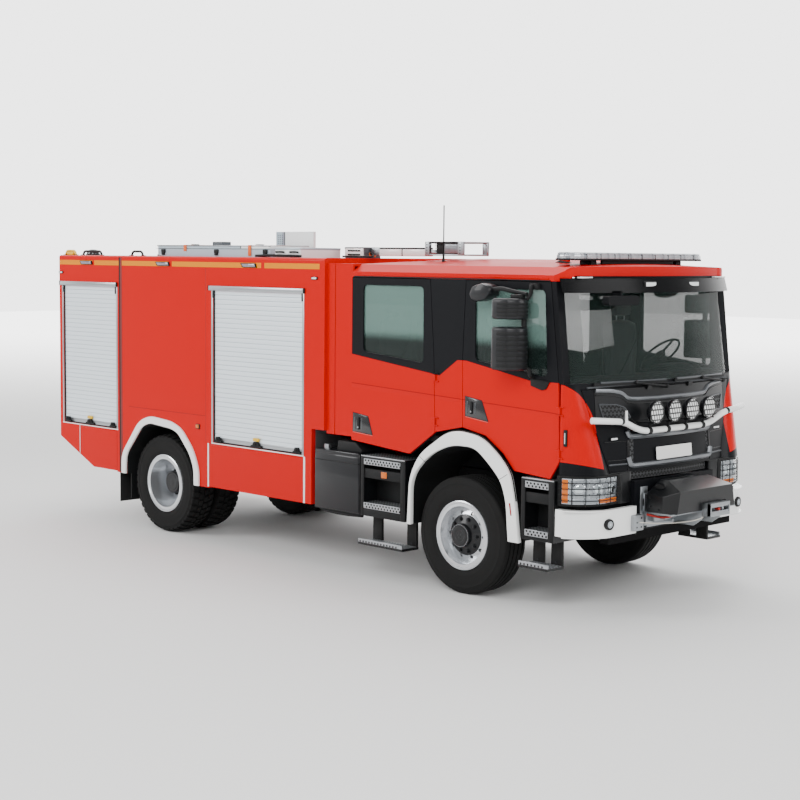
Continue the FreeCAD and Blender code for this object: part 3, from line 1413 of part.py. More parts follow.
def winch():
    drum = rod("Y", v.drumX, -v.drumHalf, v.drumZ, v.drumRadius, 2 * v.drumHalf)
    flanges = both(rod("Y", v.drumX, v.drumHalf, v.drumZ, v.flangeRadius, v.flangeThick))
    motor = both(rod("Y", v.drumX, v.drumHalf + v.flangeThick, v.drumZ, v.motorRadius,
                     v.motorLong))
    feet = both(block(v.drumX - v.motorRadius / 2, v.drumX + v.motorRadius / 2,
                      v.drumHalf + 2 * v.flangeThick, v.drumHalf + v.motorLong,
                      v.trayLow + v.trayThick, v.drumZ))
    tray = block(centreNose, v.leadRear, -v.coverHalf, v.coverHalf, v.trayLow,
                 v.trayLow + v.trayThick)
    lead = block(v.leadRear, v.leadFront, v.leadRight, v.leadLeft, v.leadLow, v.leadTop)
    return fused(drum, flanges, motor, feet, cut(fused(tray, lead), ropeWindow()))


spotCount = 4


def lampBar():
    # A bent tube across the front, carried by the hatch, with four driving lamps.
    middle = rod("Y", v.pipeX, -v.pipeBend, v.pipeZ, v.pipeRadius, 2 * v.pipeBend)
    elbow = ball(v.pipeX, v.pipeBend, v.pipeZ, v.pipeRadius)
    end = strut((v.pipeX, v.pipeBend, v.pipeZ), (v.pipeX, v.pipeEnd, v.pipeEndZ), v.pipeRadius)
    pieces = [middle, both(fused(elbow, end))]
    for index in range(spotCount):
        y = v.spotPitch * (index - (spotCount - 1) / 2)
        pieces.append(rod("X", v.spotX - v.spotDeep, y, v.spotZ, v.spotRadius, v.spotDeep))
        pieces.append(block(v.pipeX - v.spotStem, v.spotX - v.spotDeep / 2, y - v.spotStem,
                            y + v.spotStem, v.pipeZ, v.spotZ - v.spotRadius / 2))
    for side in (-1, 1):
        y = v.staySide * side
        foot = faceX(noseAt(v.sillZ + v.stayHalf), v.staySide - v.stayHalf) + v.beadGap
        pieces.append(block(foot, v.pipeX, y - v.stayHalf, y + v.stayHalf,
                            v.sillZ + v.stayHalf, v.sillZ + 3 * v.stayHalf))
        pieces.append(block(v.pipeX - v.stayHalf, v.pipeX + v.stayHalf, y - v.stayHalf,
                            y + v.stayHalf, v.pipeZ, v.sillZ + 3 * v.stayHalf))
    return fused(*pieces)


# Equipment body

def tailZ(x):
    # The sloping underside behind the rear flap.
    fall = (v.tailZ - v.flapBottom) / (v.tailBreakX - v.bodyRear)
    return v.tailZ - (x - v.bodyRear) * fall


def mainCurtain():
    return rectangle(v.mainCurtainRear, v.mainCurtainFront, v.lockerSill, v.curtainTop)


def rearCurtain():
    return rectangle(v.rearCurtainRear, v.rearCurtainFront, v.lockerSill, v.curtainTop)


def bodySide():
    sill = v.lockerSill - v.sillThick
    seam = v.flapSeam
    arch = eased(rearArchInner(0), v.rearArchRound)
    outline = [(v.bodyRear, v.tailZ), (v.rearFlapRear - seam, tailZ(v.rearFlapRear - seam)),
               (v.rearFlapRear - seam, sill), (v.rearFlapFront + seam, sill),
               (v.rearFlapFront + seam, v.rearArchFoot)] + arch + [
        (v.mainFlapRear - seam, v.rearArchFoot), (v.mainFlapRear - seam, sill),
        (v.mainFlapFront + seam, sill), (v.mainFlapFront + seam, v.flapBottom),
        (v.skirtFront, v.flapBottom), (v.skirtFront, v.skirtTop), (v.bodyFront, v.skirtTop),
        (v.bodyFront, v.sideTop), (v.bodyRear, v.sideTop)]
    skin = plate("side", [outline, mainCurtain(), rearCurtain()], -v.bodyHalf,
                 -v.bodyHalf + v.sideThick)
    pins = flapPins(v.mainFlapRear, v.mainFlapFront, v.flapPin)
    return fused(skin, *pins, flapPins(v.rearFlapRear, v.rearFlapFront, v.flapPin)[1])


def bodyFrame():
    half = v.bodyHalf - v.sideThick
    low = v.railTop
    top = low + v.bodyFloorThick
    wheelRoom = both(block(v.rearArchRear - v.archBand, v.rearArchFront + v.archBand,
                           v.rearLinerInner - v.linerThick, half + v.sideThick,
                           low - v.linerThick, top + v.linerThick))
    step = both(block(v.skirtFront, v.bodyFront, v.lockerBack, half + v.sideThick,
                      low - v.linerThick, top + v.linerThick))
    floor = cut(block(v.bodyRear + v.endWall, v.bodyFront - v.endWall, -half, half, low, top),
                wheelRoom, step)
    riser = both(block(v.skirtFront - v.endWall, v.skirtFront, v.lockerBack, half, low,
                       v.skirtTop + v.endWall))
    shelf = both(block(v.skirtFront - v.endWall, v.bodyFront, v.lockerBack, half, v.skirtTop,
                       v.skirtTop + v.endWall))
    front = block(v.bodyFront - v.endWall, v.bodyFront, -half, half, v.skirtTop, v.sideTop)
    frontFoot = block(v.bodyFront - v.endWall, v.bodyFront, -v.lockerBack, v.lockerBack, low,
                      v.skirtTop)
    rear = plate("cross", [rectangle(-half, half, low, v.sideTop),
                           rectangle(-v.rearDoorHalf, v.rearDoorHalf, v.rearDoorLow,
                                     v.rearDoorHigh)],
                 v.bodyRear, v.bodyRear + v.endWall)
    lockers = []
    for x0, x1 in ((v.mainFlapRear, v.mainFlapFront), (v.rearFlapRear, v.rearFlapFront)):
        lockers.append(block(x0, x1, v.lockerBack - v.lockerPlate, v.lockerBack,
                             v.railBottom, low))
    return fused(floor, front, frontFoot, rear, riser, shelf,
                 *[both(item) for item in lockers])


def bodyRoof():
    half = v.bodyHalf
    outline = rounded([(-half, v.sideTop), (half, v.sideTop), (half, v.roofPlate),
                       (-half, v.roofPlate)], v.roofRound, corners=(2, 3))
    return plate("cross", [outline], v.bodyRear, v.bodyFront)


slatCount = 32


def curtain(opening):
    # A grooved curtain of slats in its side opening.
    low, high = opening[0], opening[2]
    gap = v.curtainGap
    outer = -v.bodyHalf + v.curtainInset
    sheetMetal = plate("side", [rectangle(low[0] + gap, high[0] - gap, low[1] + gap,
                                          high[1] - gap)], outer, outer + v.curtainThick)
    grooves = []
    for index in range(slatCount):
        z = high[1] - v.slatPitch * (index + 1)
        grooves.append(block(low[0], high[0], outer - v.slatGroove, outer + v.slatGroove, z,
                             z + v.slatGroove))
    return cut(sheetMetal, *grooves)


def rollerShutters():
    sides = [curtain(mainCurtain()), curtain(rearCurtain())]
    for x0, x1 in ((v.mainBarRear, v.mainBarFront), (v.headBarRear, v.headBarFront)):
        sides.append(block(x0, x1, -v.bodyHalf - v.barDeep, -v.bodyHalf, v.curtainTop,
                           v.headBarTop))
    gap = v.curtainGap
    rear = plate("cross", [rectangle(-v.rearDoorHalf + gap, v.rearDoorHalf - gap,
                                     v.rearDoorLow + gap, v.rearDoorHigh - gap)],
                 v.bodyRear + v.curtainInset, v.bodyRear + v.curtainInset + v.curtainThick)
    return together(*[both(item) for item in sides], rear)


def flapAxis():
    return -v.bodyHalf + v.flapAxisIn, v.flapBottom + v.flapAxisUp


def flapPins(x0, x1, radius):
    # Short pins along the lower edge, through the seams at the flap's ends.
    y, z = flapAxis()
    reach = v.flapPinLong + v.flapSeam
    return [rod("X", x0 - v.flapSeam, y, z, radius, reach),
            rod("X", x1 + v.flapSeam - reach, y, z, radius, reach)]


def mainFlap():
    skin = plate("side", [rectangle(v.mainFlapRear, v.mainFlapFront, v.flapBottom, v.flapTop)],
                 -v.bodyHalf, -v.bodyHalf + v.flapThick)
    return cut(skin, *flapPins(v.mainFlapRear, v.mainFlapFront, v.flapPin + v.runningFit))


def rearFlap():
    outline = [(v.rearFlapRear, tailZ(v.rearFlapRear)), (v.tailBreakX, v.flapBottom),
               (v.rearFlapFront, v.flapBottom), (v.rearFlapFront, v.flapTop),
               (v.rearFlapRear, v.flapTop)]
    skin = plate("side", [outline], -v.bodyHalf, -v.bodyHalf + v.flapThick)
    return cut(skin, *flapPins(v.tailBreakX, v.rearFlapFront, v.flapPin + v.runningFit))


def flaps():
    for name, item in (("main_flap", mainFlap()), ("rear_flap", rearFlap())):
        node(f"{name}_right", item)
        node(f"{name}_left", mirrored(item))


def bodyLamps():
    lamps = []
    for index in range(3):
        x = v.sideLampFirst + v.sideLampPitch * index
        lamps.append(both(block(x, x + v.sideLampLong, -v.bodyHalf - v.sideLampDeep, -v.bodyHalf,
                                v.sideLampLow, v.sideLampTop)))
    lamps.append(both(block(v.bodyRear - v.tailLampDeep, v.bodyRear, v.tailLampInner,
                            v.tailLampOuter, v.tailLampLow, v.tailLampTop)))
    lamps.append(both(rod("Z", v.beaconX, v.beaconSide, v.roofPlate, v.beaconRadius,
                          v.beaconTop - v.roofPlate)))
    return together(*lamps)


# Roof equipment

def roofBox():
    outer, inner, wall = -v.boxOuter, -v.boxInner, v.boxWall
    case = plate("plan", [boxOutline(0, v.boxRound)], v.roofPlate, v.boxLid)
    room = plate("plan", [boxOutline(wall, v.boxRound - wall)], v.roofPlate + wall,
                 v.boxLid + wall)
    crate = block(v.crateRear, v.crateFront, outer, inner, v.roofPlate, v.crateTop)
    return together(fused(cut(case, room), *lidHinges(False)), crate, uprightBoards())


def boxOutline(inset, radius):
    # Rounded at the corners on the vehicle's outer side.
    return rounded(rectangle(v.boxRear + inset, v.boxFront - inset, -v.boxOuter + inset,
                             -v.boxInner - inset), radius, corners=(0, 1))


def uprightBoards():
    # Two plain boards on edge in a low channel beside the box.
    near, far = -v.plateSide - v.plateThick, -v.plateSide
    rear = block(v.plateRear, v.plateSplit - v.plateThick, near, far, v.roofPlate, v.plateTop)
    front = block(v.plateSplit, v.plateFront, near, far, v.roofPlate, v.plateTop)
    channel = block(v.plateRear, v.plateFront, near, far + v.plateThick, v.roofPlate,
                    v.plateFoot)
    return fused(rear, front, channel)


def lidAxis():
    return -v.boxInner + v.barrelRadius + v.hingeSlack, v.boxLid


def lidHinges(moving):
    # Barrels on the lid's inner edge, pins on the box.
    y, z = lidAxis()
    pieces = []
    for x in (v.boxRear + v.lidHingeInset, v.boxFront - v.lidHingeInset):
        if moving:
            barrel = fused(rod("X", x, y, z, v.barrelRadius, v.barrelLong),
                           block(x, x + v.barrelLong, -v.boxInner - v.leafRoot, y,
                                 z + v.hingeSlack, z + v.leafThick))
            pieces.append(cut(barrel, rod("X", x - v.barrelRadius, y, z,
                                          v.hingePin + v.runningFit,
                                          v.barrelLong + 2 * v.barrelRadius)))
            continue
        pieces.append(rod("X", x - v.barrelRadius, y, z, v.hingePin,
                          v.barrelLong + 2 * v.barrelRadius))
        for low in (x - v.barrelRadius - v.hingeSlack, x + v.barrelLong + v.hingeSlack):
            pieces.append(block(low, low + v.barrelRadius, -v.boxInner, y + v.hingePin,
                                z - v.leafThick, z - v.hingeSlack))
            pieces.append(rod("X", low, y, z, v.hingePin, v.barrelRadius))
    return pieces


def roofBoxLid():
    lid = plate("plan", [boxOutline(0, v.boxRound)], v.boxLid + v.lidGap / 2, v.boxTop)
    return fused(lid, *lidHinges(True))


def mastBase():
    side = -v.mastSide
    wall = (v.postOuter - v.postInner) / 2 - v.mastFork
    base = block(v.postRear, v.postFront, -v.postOuter, -v.postInner, v.roofPlate, v.postTop)
    slot = block(v.postRear + wall, v.postFront + wall, side - v.mastFork - v.forkGap,
                 side + v.mastFork + v.forkGap, v.roofPlate + v.mastFork / 2,
                 v.postTop + wall)
    pin = rod("Y", v.mastPivotX, side - v.mastFork - 2 * v.forkGap, v.mastPivotZ, v.mastPin,
              2 * v.mastFork + 4 * v.forkGap)
    return fused(cut(base, slot), pin)


def mast():
    side = -v.mastSide
    knuckleEnd = rod("Y", v.mastPivotX, side - v.mastFork, v.mastPivotZ, v.mastRadius,
                     2 * v.mastFork)
    tube = rod("X", v.mastPivotX, side, v.mastPivotZ, v.mastRadius, v.mastEnd - v.mastPivotX)
    head = block(v.floodRear - v.mastFork, v.floodFront, side - v.floodHalf, side + v.floodHalf,
                 v.floodLow, v.floodTop)
    bore = rod("Y", v.mastPivotX, side - 2 * v.mastFork, v.mastPivotZ,
               v.mastPin + v.runningFit, 4 * v.mastFork)
    return cut(fused(knuckleEnd, tube, head), bore)


rungCount = 6


def ladderAndRails():
    pieces = []
    x = v.ladderRear + v.ladderTube
    for side in (-1, 1):
        y = v.ladderSide + v.ladderHalf * side
        pieces.append(rod("Z", x, y, v.ladderLow, v.ladderTube, v.ladderTop - v.ladderLow))
        pieces.append(rod("X", x, y, v.ladderLow + 3 * v.ladderTube, v.ladderTube,
                          v.bodyRear - x))
        pieces.append(rod("X", x, y, v.sideTop - 3 * v.ladderTube, v.ladderTube,
                          v.bodyRear - x))
    for index in range(rungCount):
        z = v.ladderLow + v.rungPitch * index + v.rungPitch / 2
        pieces.append(rod("Y", x, v.ladderSide - v.ladderHalf, z, v.ladderTube,
                          2 * v.ladderHalf))
    return together(fused(*pieces), both(roofRail()))


def roofRail():
    # A rail along the rear roof edge on three posts.
    y, high = v.bodyHalf - v.handrailInset, v.handrailTop
    ends = (v.handrailRear, v.handrailFront)
    bar = rod("X", v.handrailRear, y, high, v.handrailRadius, v.handrailFront - v.handrailRear)
    corners = [ball(x, y, high, v.handrailRadius) for x in ends]
    posts = [rod("Z", x, y, v.roofPlate, v.handrailRadius, high - v.roofPlate)
             for x in ends + ((v.handrailRear + v.handrailFront) / 2,)]
    return fused(bar, *corners, *posts)


# Everything in its node

def buildVehicle():
    wheels()
    steering()
    node("rear_axle", rearAxleAssembly())
    node("front_axle", frontAxleAssembly())
    node("chassis_frame", chassisFrame())
    node("powertrain", powertrain())
    node("cab_shell", cabShell())
    cabSides()
    mirrors = node("mirrors_right", mirrorSet())
    node("mirrors_left", mirrored(mirrors))
    node("cab_front_frame", cabFrontFrame())
    node("windscreen", windscreen())
    node("front_hatch", frontHatch())
    node("wipers", wipers())
    roof = node("cab_roof", cabRoof())
    node("sun_visor", sunVisor())
    node("light_bar", lightBar(roof))
    node("gap_fairings", gapFairings())
    node("seats", seats())
    node("dashboard", dashboard())
    node("cab_steps", cabSteps())
    node("wheel_arch_trims", archTrims())
    node("arch_liners", archLiners())
    node("bumper_ends", bumperEnds())
    node("headlights", headlights())
    node("front_panels", together(lowerGrille(), bumperCentre()))
    node("winch_housing", winchHousing())
    node("winch", winch())
    node("lamp_bar", lampBar())
    node("body_sides", both(bodySide()))
    node("body_frame", bodyFrame())
    node("body_roof", bodyRoof())
    node("roller_shutters", rollerShutters())
    flaps()
    node("body_lamps", bodyLamps())
    node("roof_box", roofBox())
    node("roof_box_lid", roofBoxLid())
    node("mast_base", mastBase())
    node("mast", mast())
    node("ladder_and_rails", ladderAndRails())


def checkAndWrite():
    document.recompute()
    for item in document.Objects:
        if "Invalid" in item.State or "Error" in item.State:
            raise RuntimeError(f"{item.Name} ({item.Label}) failed: {item.State}")
    for item in nodes:
        shape = item.Shape
        if shape.isNull() or not shape.isValid():
            raise RuntimeError(f"{item.Label} has no valid shape")
    for item in nodes:
        item.Shape.exportStep(f"parts/{item.Label}.step")
    print(len(nodes), "pieces written")


buildVehicle()
checkAndWrite()
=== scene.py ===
# Crew-cab fire engine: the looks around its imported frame. Metres, +X forward, -Y the vehicle's right side.
import bmesh
import bpy
import math
from mathutils import Matrix, Vector


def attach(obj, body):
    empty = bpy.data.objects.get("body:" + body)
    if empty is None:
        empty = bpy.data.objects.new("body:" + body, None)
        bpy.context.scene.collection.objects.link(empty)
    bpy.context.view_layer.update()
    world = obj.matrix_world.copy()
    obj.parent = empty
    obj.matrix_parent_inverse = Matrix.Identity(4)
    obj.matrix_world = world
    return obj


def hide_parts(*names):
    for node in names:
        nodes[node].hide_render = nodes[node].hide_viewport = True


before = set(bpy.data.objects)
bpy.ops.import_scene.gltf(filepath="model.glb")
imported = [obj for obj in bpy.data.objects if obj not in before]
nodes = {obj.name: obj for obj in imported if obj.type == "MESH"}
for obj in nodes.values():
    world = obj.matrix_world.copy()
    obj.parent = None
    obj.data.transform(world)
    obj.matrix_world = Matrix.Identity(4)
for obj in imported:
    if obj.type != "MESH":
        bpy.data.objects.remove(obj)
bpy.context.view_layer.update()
print("frame loaded,", len(nodes), "nodes")

# Camera and studio: a white floor under a white sky, brighter behind the vehicle

shot = {"place": (11.9484, -11.6148, 3.015), "azimuth": 45.148, "pitch": 5.126, "roll": 0.545, "lens": 72.49}
studio = {
    "floor": 60,
    "floorShade": "DEDEDD",
    "skyShade": "FFFFFF",
    "skyPower": 0.75,
    "backPower": 3.6,
    "backWay": (-0.709, 0.705, 0.0),
    "glow": (6.0, 45.0),  # from where to where along backWay the floor brightens
    "lamps": [((9, -13, 9), 7, 1500), ((-9, -12, 8), 6, 1100), ((14, 4, 7), 6, 650), ((-2, 3, 14), 10, 1000)],
}


def setCamera():
    azimuth, pitch, roll = (math.radians(shot[word]) for word in ("azimuth", "pitch", "roll"))
    level = math.cos(pitch)
    ahead = Vector((-math.sin(azimuth) * level, math.cos(azimuth) * level, -math.sin(pitch)))
    right = Vector((math.cos(azimuth), math.sin(azimuth), 0))
    up = right.cross(ahead)
    right, up = right * math.cos(roll) + up * math.sin(roll), up * math.cos(roll) - right * math.sin(roll)
    data = bpy.data.cameras.new("camera")
    data.lens = shot["lens"]
    data.clip_end = 200
    camera = bpy.data.objects.new("camera", data)
    turn = Matrix((right, up, -ahead)).transposed().to_4x4()
    camera.matrix_world = Matrix.Translation(shot["place"]) @ turn
    bpy.context.collection.objects.link(camera)
    bpy.context.scene.camera = camera


# Finishes: each starts from the real surface, with its grain in millimetres

finishOf = {}


def hexColour(code):
    parts = [int(code[index:index + 2], 16) / 255 for index in (0, 2, 4)]
    return tuple(part / 12.92 if part <= 0.04045 else ((part + 0.055) / 1.055) ** 2.4
                 for part in parts) + (1.0,)


def addNode(owner, kind, *sources, **settings):
    # One node with its settings. A kind in capitals is what a Math node works out. The sources fill its
    # inputs in order, or as a dictionary says, and its first output is given back.
    if kind.isupper():
        kind, settings = "Math", {"operation": kind}
    node = owner.node_tree.nodes.new("ShaderNode" + kind)
    for name, value in settings.items():
        setattr(node, name, value)
    chosen = sources[0] if sources and isinstance(sources[0], dict) else dict(enumerate(sources))
    for socket, source in chosen.items():
        if isinstance(source, bpy.types.NodeSocket):
            owner.node_tree.links.new(source, node.inputs[socket])
        else:
            node.inputs[socket].default_value = source
    return node.outputs[0]


def objectPlace(item):
    return addNode(item, "TexCoord").node.outputs["Object"]


def newFinish(name, code, roughness, metallic=0.0, shade=None, patch=400, grain=2.0, depth=0.05, swing=0.06,
              **sockets):
    # A base colour that drifts to its shade over patches, a roughness that varies, and a fine grain (mm).
    item = bpy.data.materials.new(name)
    item.use_nodes = True
    inputs, links = shaderOf(item).inputs, item.node_tree.links
    inputs["Metallic"].default_value = metallic
    for socket, value in sockets.items():
        inputs[socket.replace("_", " ")].default_value = value
    place = objectPlace(item)
    drift = addNode(item, "TexNoise", {"Vector": place, "Scale": 1000 / patch, "Detail": 4.0})
    base = addNode(item, "Mix", {0: drift, 6: hexColour(code), 7: hexColour(shade or code)},
                   data_type="RGBA").node
    fine = addNode(item, "TexNoise", {"Vector": place, "Scale": 1000 / grain, "Detail": 2.0})
    rough = addNode(item, "MapRange", {0: drift, 3: max(roughness - swing, 0.02), 4: roughness + swing})
    bump = addNode(item, "Bump", {"Strength": 1.0, "Distance": depth / 1000, "Height": fine})
    links.new(base.outputs[2], inputs["Base Color"])
    links.new(rough, inputs["Roughness"])
    links.new(bump, inputs["Normal"])
    finishOf[name] = item
    return item


def shaderOf(item):
    return item.node_tree.nodes["Principled BSDF"]


def placesIn(item):
    # The surface point's x, y and z, in metres.
    return addNode(item, "SeparateXYZ", objectPlace(item)).node.outputs[:3]


def band(item, value, low, high):
    # 1 between two values, 0 outside.
    return addNode(item, "MULTIPLY", addNode(item, "GREATER_THAN", value, low),
                   addNode(item, "LESS_THAN", value, high))


def aboveLine(item, x, z, points):
    # 1 above a line given as (x, z) points, in metres.
    first, last = points[0][0], points[-1][0]
    low, high = (edge(height for _, height in points) for edge in (min, max))
    share = addNode(item, "MapRange", {0: x, 1: first, 2: last})
    curve = addNode(item, "FloatCurve", {1: share}).node
    line = curve.mapping.curves[0]
    for index, (along, height) in enumerate(points):
        spot = ((along - first) / (last - first), (height - low) / (high - low))
        dot = line.points[min(index, 1)] if index in (0, len(points) - 1) else line.points.new(*spot)
        dot.location = spot
        dot.handle_type = "VECTOR"
    curve.mapping.update()
    return addNode(item, "GREATER_THAN", z, addNode(item, "MULTIPLY_ADD", curve.outputs[0], high - low, low))


def paintOver(item, mask, code, roughness=None):
    # Another colour, and its roughness, where the mask is 1.
    inputs, links = shaderOf(item).inputs, item.node_tree.links
    before = inputs["Base Color"].links[0].from_socket
    mixed = addNode(item, "Mix", {0: mask, 6: before, 7: hexColour(code)}, data_type="RGBA").node
    links.new(mixed.outputs[2], inputs["Base Color"])
    if roughness is not None:
        before = inputs["Roughness"].links[0].from_socket
        mixed = addNode(item, "Mix", {0: mask, 2: before, 3: roughness}, data_type="FLOAT")
        links.new(mixed, inputs["Roughness"])


def emboss(item, height, millimetres):
    # A further bump over the grain, from a 0 to 1 height.
    normal = shaderOf(item).inputs["Normal"]
    sources = {"Distance": millimetres / 1000, "Height": height, "Normal": normal.links[0].from_socket}
    item.node_tree.links.new(addNode(item, "Bump", sources), normal)


def wave(item, value, pitch):
    # 0 to 1 and back over one pitch (m).
    return addNode(item, "PINGPONG", addNode(item, "DIVIDE", value, pitch), 0.5)


def reachOf(item, first, second):
    # The distance from where both values are 0.
    squares = (addNode(item, "MULTIPLY", value, value) for value in (first, second))
    return addNode(item, "SQRT", addNode(item, "ADD", *squares))


# Shapes

def newMesh():
    return bmesh.new()


def facesOf(verts):
    return list({face for vert in verts for face in vert.link_faces})


def tint(verts, index):
    for face in facesOf(verts):
        face.material_index = index
    return verts


def roundEdges(mesh, verts, radius, segments=2, angle=30):
    edges = {edge for vert in verts for edge in vert.link_edges
             if len(edge.link_faces) == 2 and edge.calc_face_angle(0) > math.radians(angle)}
    made = bmesh.ops.bevel(mesh, geom=list(edges), offset=radius, offset_type="OFFSET", segments=segments,
                           profile=0.5, affect="EDGES", material=-1, clamp_overlap=True)
    return list({vert for vert in list(verts) + made["verts"] if vert.is_valid})


def addBox(mesh, low, high, radius=0.0, index=0, segments=2):
    low, high = Vector(low), Vector(high)
    place = Matrix.Translation((low + high) / 2) @ Matrix.Diagonal((*(high - low), 1))
    verts = bmesh.ops.create_cube(mesh, size=1, matrix=place)["verts"]
    tint(verts, index)
    return roundEdges(mesh, verts, radius, segments) if radius else verts


def addRod(mesh, start, end, radius, sides=16, index=0, tip=None):
    start, end = Vector(start), Vector(end)
    turn = (end - start).to_track_quat("Z", "Y").to_matrix().to_4x4()
    place = Matrix.Translation((start + end) / 2) @ turn
    verts = bmesh.ops.create_cone(mesh, cap_ends=True, segments=sides, radius1=radius,
            radius2=radius if tip is None else tip, depth=(end - start).length, matrix=place)["verts"]
    return tint(verts, index)


def roundBar(name, kind, points, radius, resolution):
    # Curve data for a round bar through points.
    data = bpy.data.curves.new(name, "CURVE")
    data.dimensions = "3D"
    data.bevel_depth = radius
    data.bevel_resolution = resolution
    data.use_fill_caps = True
    line = data.splines.new(kind)
    line.points.add(len(points) - 1)
    for dot, point in zip(line.points, points):
        dot.co = (*point, 1)
    return data


def addTube(mesh, points, radius, index=0, bend=0.0, sides=12):
    # A round bar along a route, with its corners eased.
    route = easeCorners([Vector(point) for point in points], bend)
    data = roundBar("route", "POLY", route, radius, max(sides // 4 - 1, 1))
    holder = bpy.data.objects.new("route", data)
    made = bpy.data.meshes.new_from_object(holder)
    before = set(mesh.verts)
    mesh.from_mesh(made)
    bpy.data.objects.remove(holder)
    bpy.data.meshes.remove(made)
    return tint([vert for vert in mesh.verts if vert not in before], index)


def easeCorners(points, bend, steps=6):
    if not bend:
        return points
    route = [points[0]]
    for before, here, after in zip(points, points[1:], points[2:]):
        back, ahead = (before - here).normalized(), (after - here).normalized()
        reach = min(bend, (before - here).length * 0.45, (after - here).length * 0.45)
        first, last = here + back * reach, here + ahead * reach
        for step in range(steps + 1):
            share = step / steps
            route.append(first.lerp(here, share).lerp(here.lerp(last, share), share))
    return route + [points[-1]]


def onPlane(axis, along, first, second):
    # A point from its place along an axis and its other two coordinates, in X, Y, Z order.
    rest = [first, second]
    rest.insert("XYZ".index(axis), along)
    return Vector(rest)


def pushFace(mesh, verts, way, index):
    # A face on these points, pushed into a solid.
    pushed = bmesh.ops.extrude_face_region(mesh, geom=[mesh.faces.new(verts)])["geom"]
    moved = [item for item in pushed if isinstance(item, bmesh.types.BMVert)]
    bmesh.ops.translate(mesh, verts=moved, vec=way)
    verts += moved
    bmesh.ops.recalc_face_normals(mesh, faces=facesOf(verts))
    return tint(verts, index)


def addPlate(mesh, outline, axis, low, high, radius=0.0, index=0, segments=2):
    # An outline of two coordinates, pushed along the third.
    verts = [mesh.verts.new(onPlane(axis, low, *point)) for point in outline]
    verts = pushFace(mesh, verts, onPlane(axis, high - low, 0, 0), index)
    return roundEdges(mesh, verts, radius, segments) if radius else verts


def addSpun(mesh, profile, centre, steps=48, index=0):
    # A profile of (side, radius) points, turned fully about the Y axis through a centre.
    centre = Vector(centre)
    verts = [mesh.verts.new(centre + Vector((0, side, radius))) for side, radius in profile]
    edges = [mesh.edges.new(pair) for pair in zip(verts, verts[1:])]
    before = set(mesh.verts) - set(verts)
    bmesh.ops.spin(mesh, geom=verts + edges, cent=centre, axis=(0, 1, 0), steps=steps, angle=math.tau,
                   use_merge=True, use_duplicate=False)
    made = [vert for vert in mesh.verts if vert not in before]
    bmesh.ops.remove_doubles(mesh, verts=made, dist=0.0002)
    made = [vert for vert in mesh.verts if vert not in before]
    bmesh.ops.recalc_face_normals(mesh, faces=facesOf(made))
    return tint(made, index)


def moveCopy(mesh, verts, place):
    # A copy of some geometry, moved by a matrix.
    made = bmesh.ops.duplicate(mesh, geom=list(verts) + facesOf(verts))["geom"]
    copied = [item for item in made if isinstance(item, bmesh.types.BMVert)]
    bmesh.ops.transform(mesh, matrix=place, verts=copied)


def sideBox(mesh, side, x0, x1, near, far, z0, z1, radius=0.0, index=0):
    # A box on one side of the vehicle, from its distances to the middle plane.
    y0, y1 = sorted((side * near, side * far))
    return addBox(mesh, (x0, y0, z0), (x1, y1, z1), radius, index)


def sidePlate(mesh, side, outline, near, far, radius=0.0, index=0):
    y0, y1 = sorted((side * near, side * far))
    return addPlate(mesh, outline, "Y", y0, y1, radius, index)


def sidePin(mesh, side, x, z, near, far, radius, sides, index=0, tip=None):
    # A round pin that stands out of one side of the vehicle.
    return addRod(mesh, (x, side * near, z), (x, side * far, z), radius, sides, index, tip)


def rangeOf(low, high, steps):
    return [low + (high - low) * step / steps for step in range(steps + 1)]


def finishPiece(name, mesh, finishes, replaced=(), body="chassis", sharp=35):
    # The mesh as an object with its finishes, smooth up to the sharp angle, on its body.
    data = bpy.data.meshes.new(name)
    mesh.to_mesh(data)
    mesh.free()
    for word in finishes if isinstance(finishes, (list, tuple)) else [finishes]:
        data.materials.append(finishOf[word])
    data.shade_smooth()
    data.set_sharp_from_angle(angle=math.radians(sharp))
    item = bpy.data.objects.new(name, data)
    bpy.context.collection.objects.link(item)
    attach(item, body)
    if replaced:
        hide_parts(*([replaced] if isinstance(replaced, str) else replaced))
    return item


def cordPiece(name, finish, route, width):
    # A cable or rope along its route, of a given width.
    data = roundBar(name, "NURBS", route, width / 2, 3)
    line = data.splines[0]
    line.order_u = 3
    line.use_endpoint_u = True
    line.resolution_u = 8
    data.materials.append(finishOf[finish])
    item = bpy.data.objects.new(name, data)
    bpy.context.collection.objects.link(item)
    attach(item, "chassis")


dull = {"Specular_IOR_Level": 0.25}  # paint and plastic that catch little of the white sky
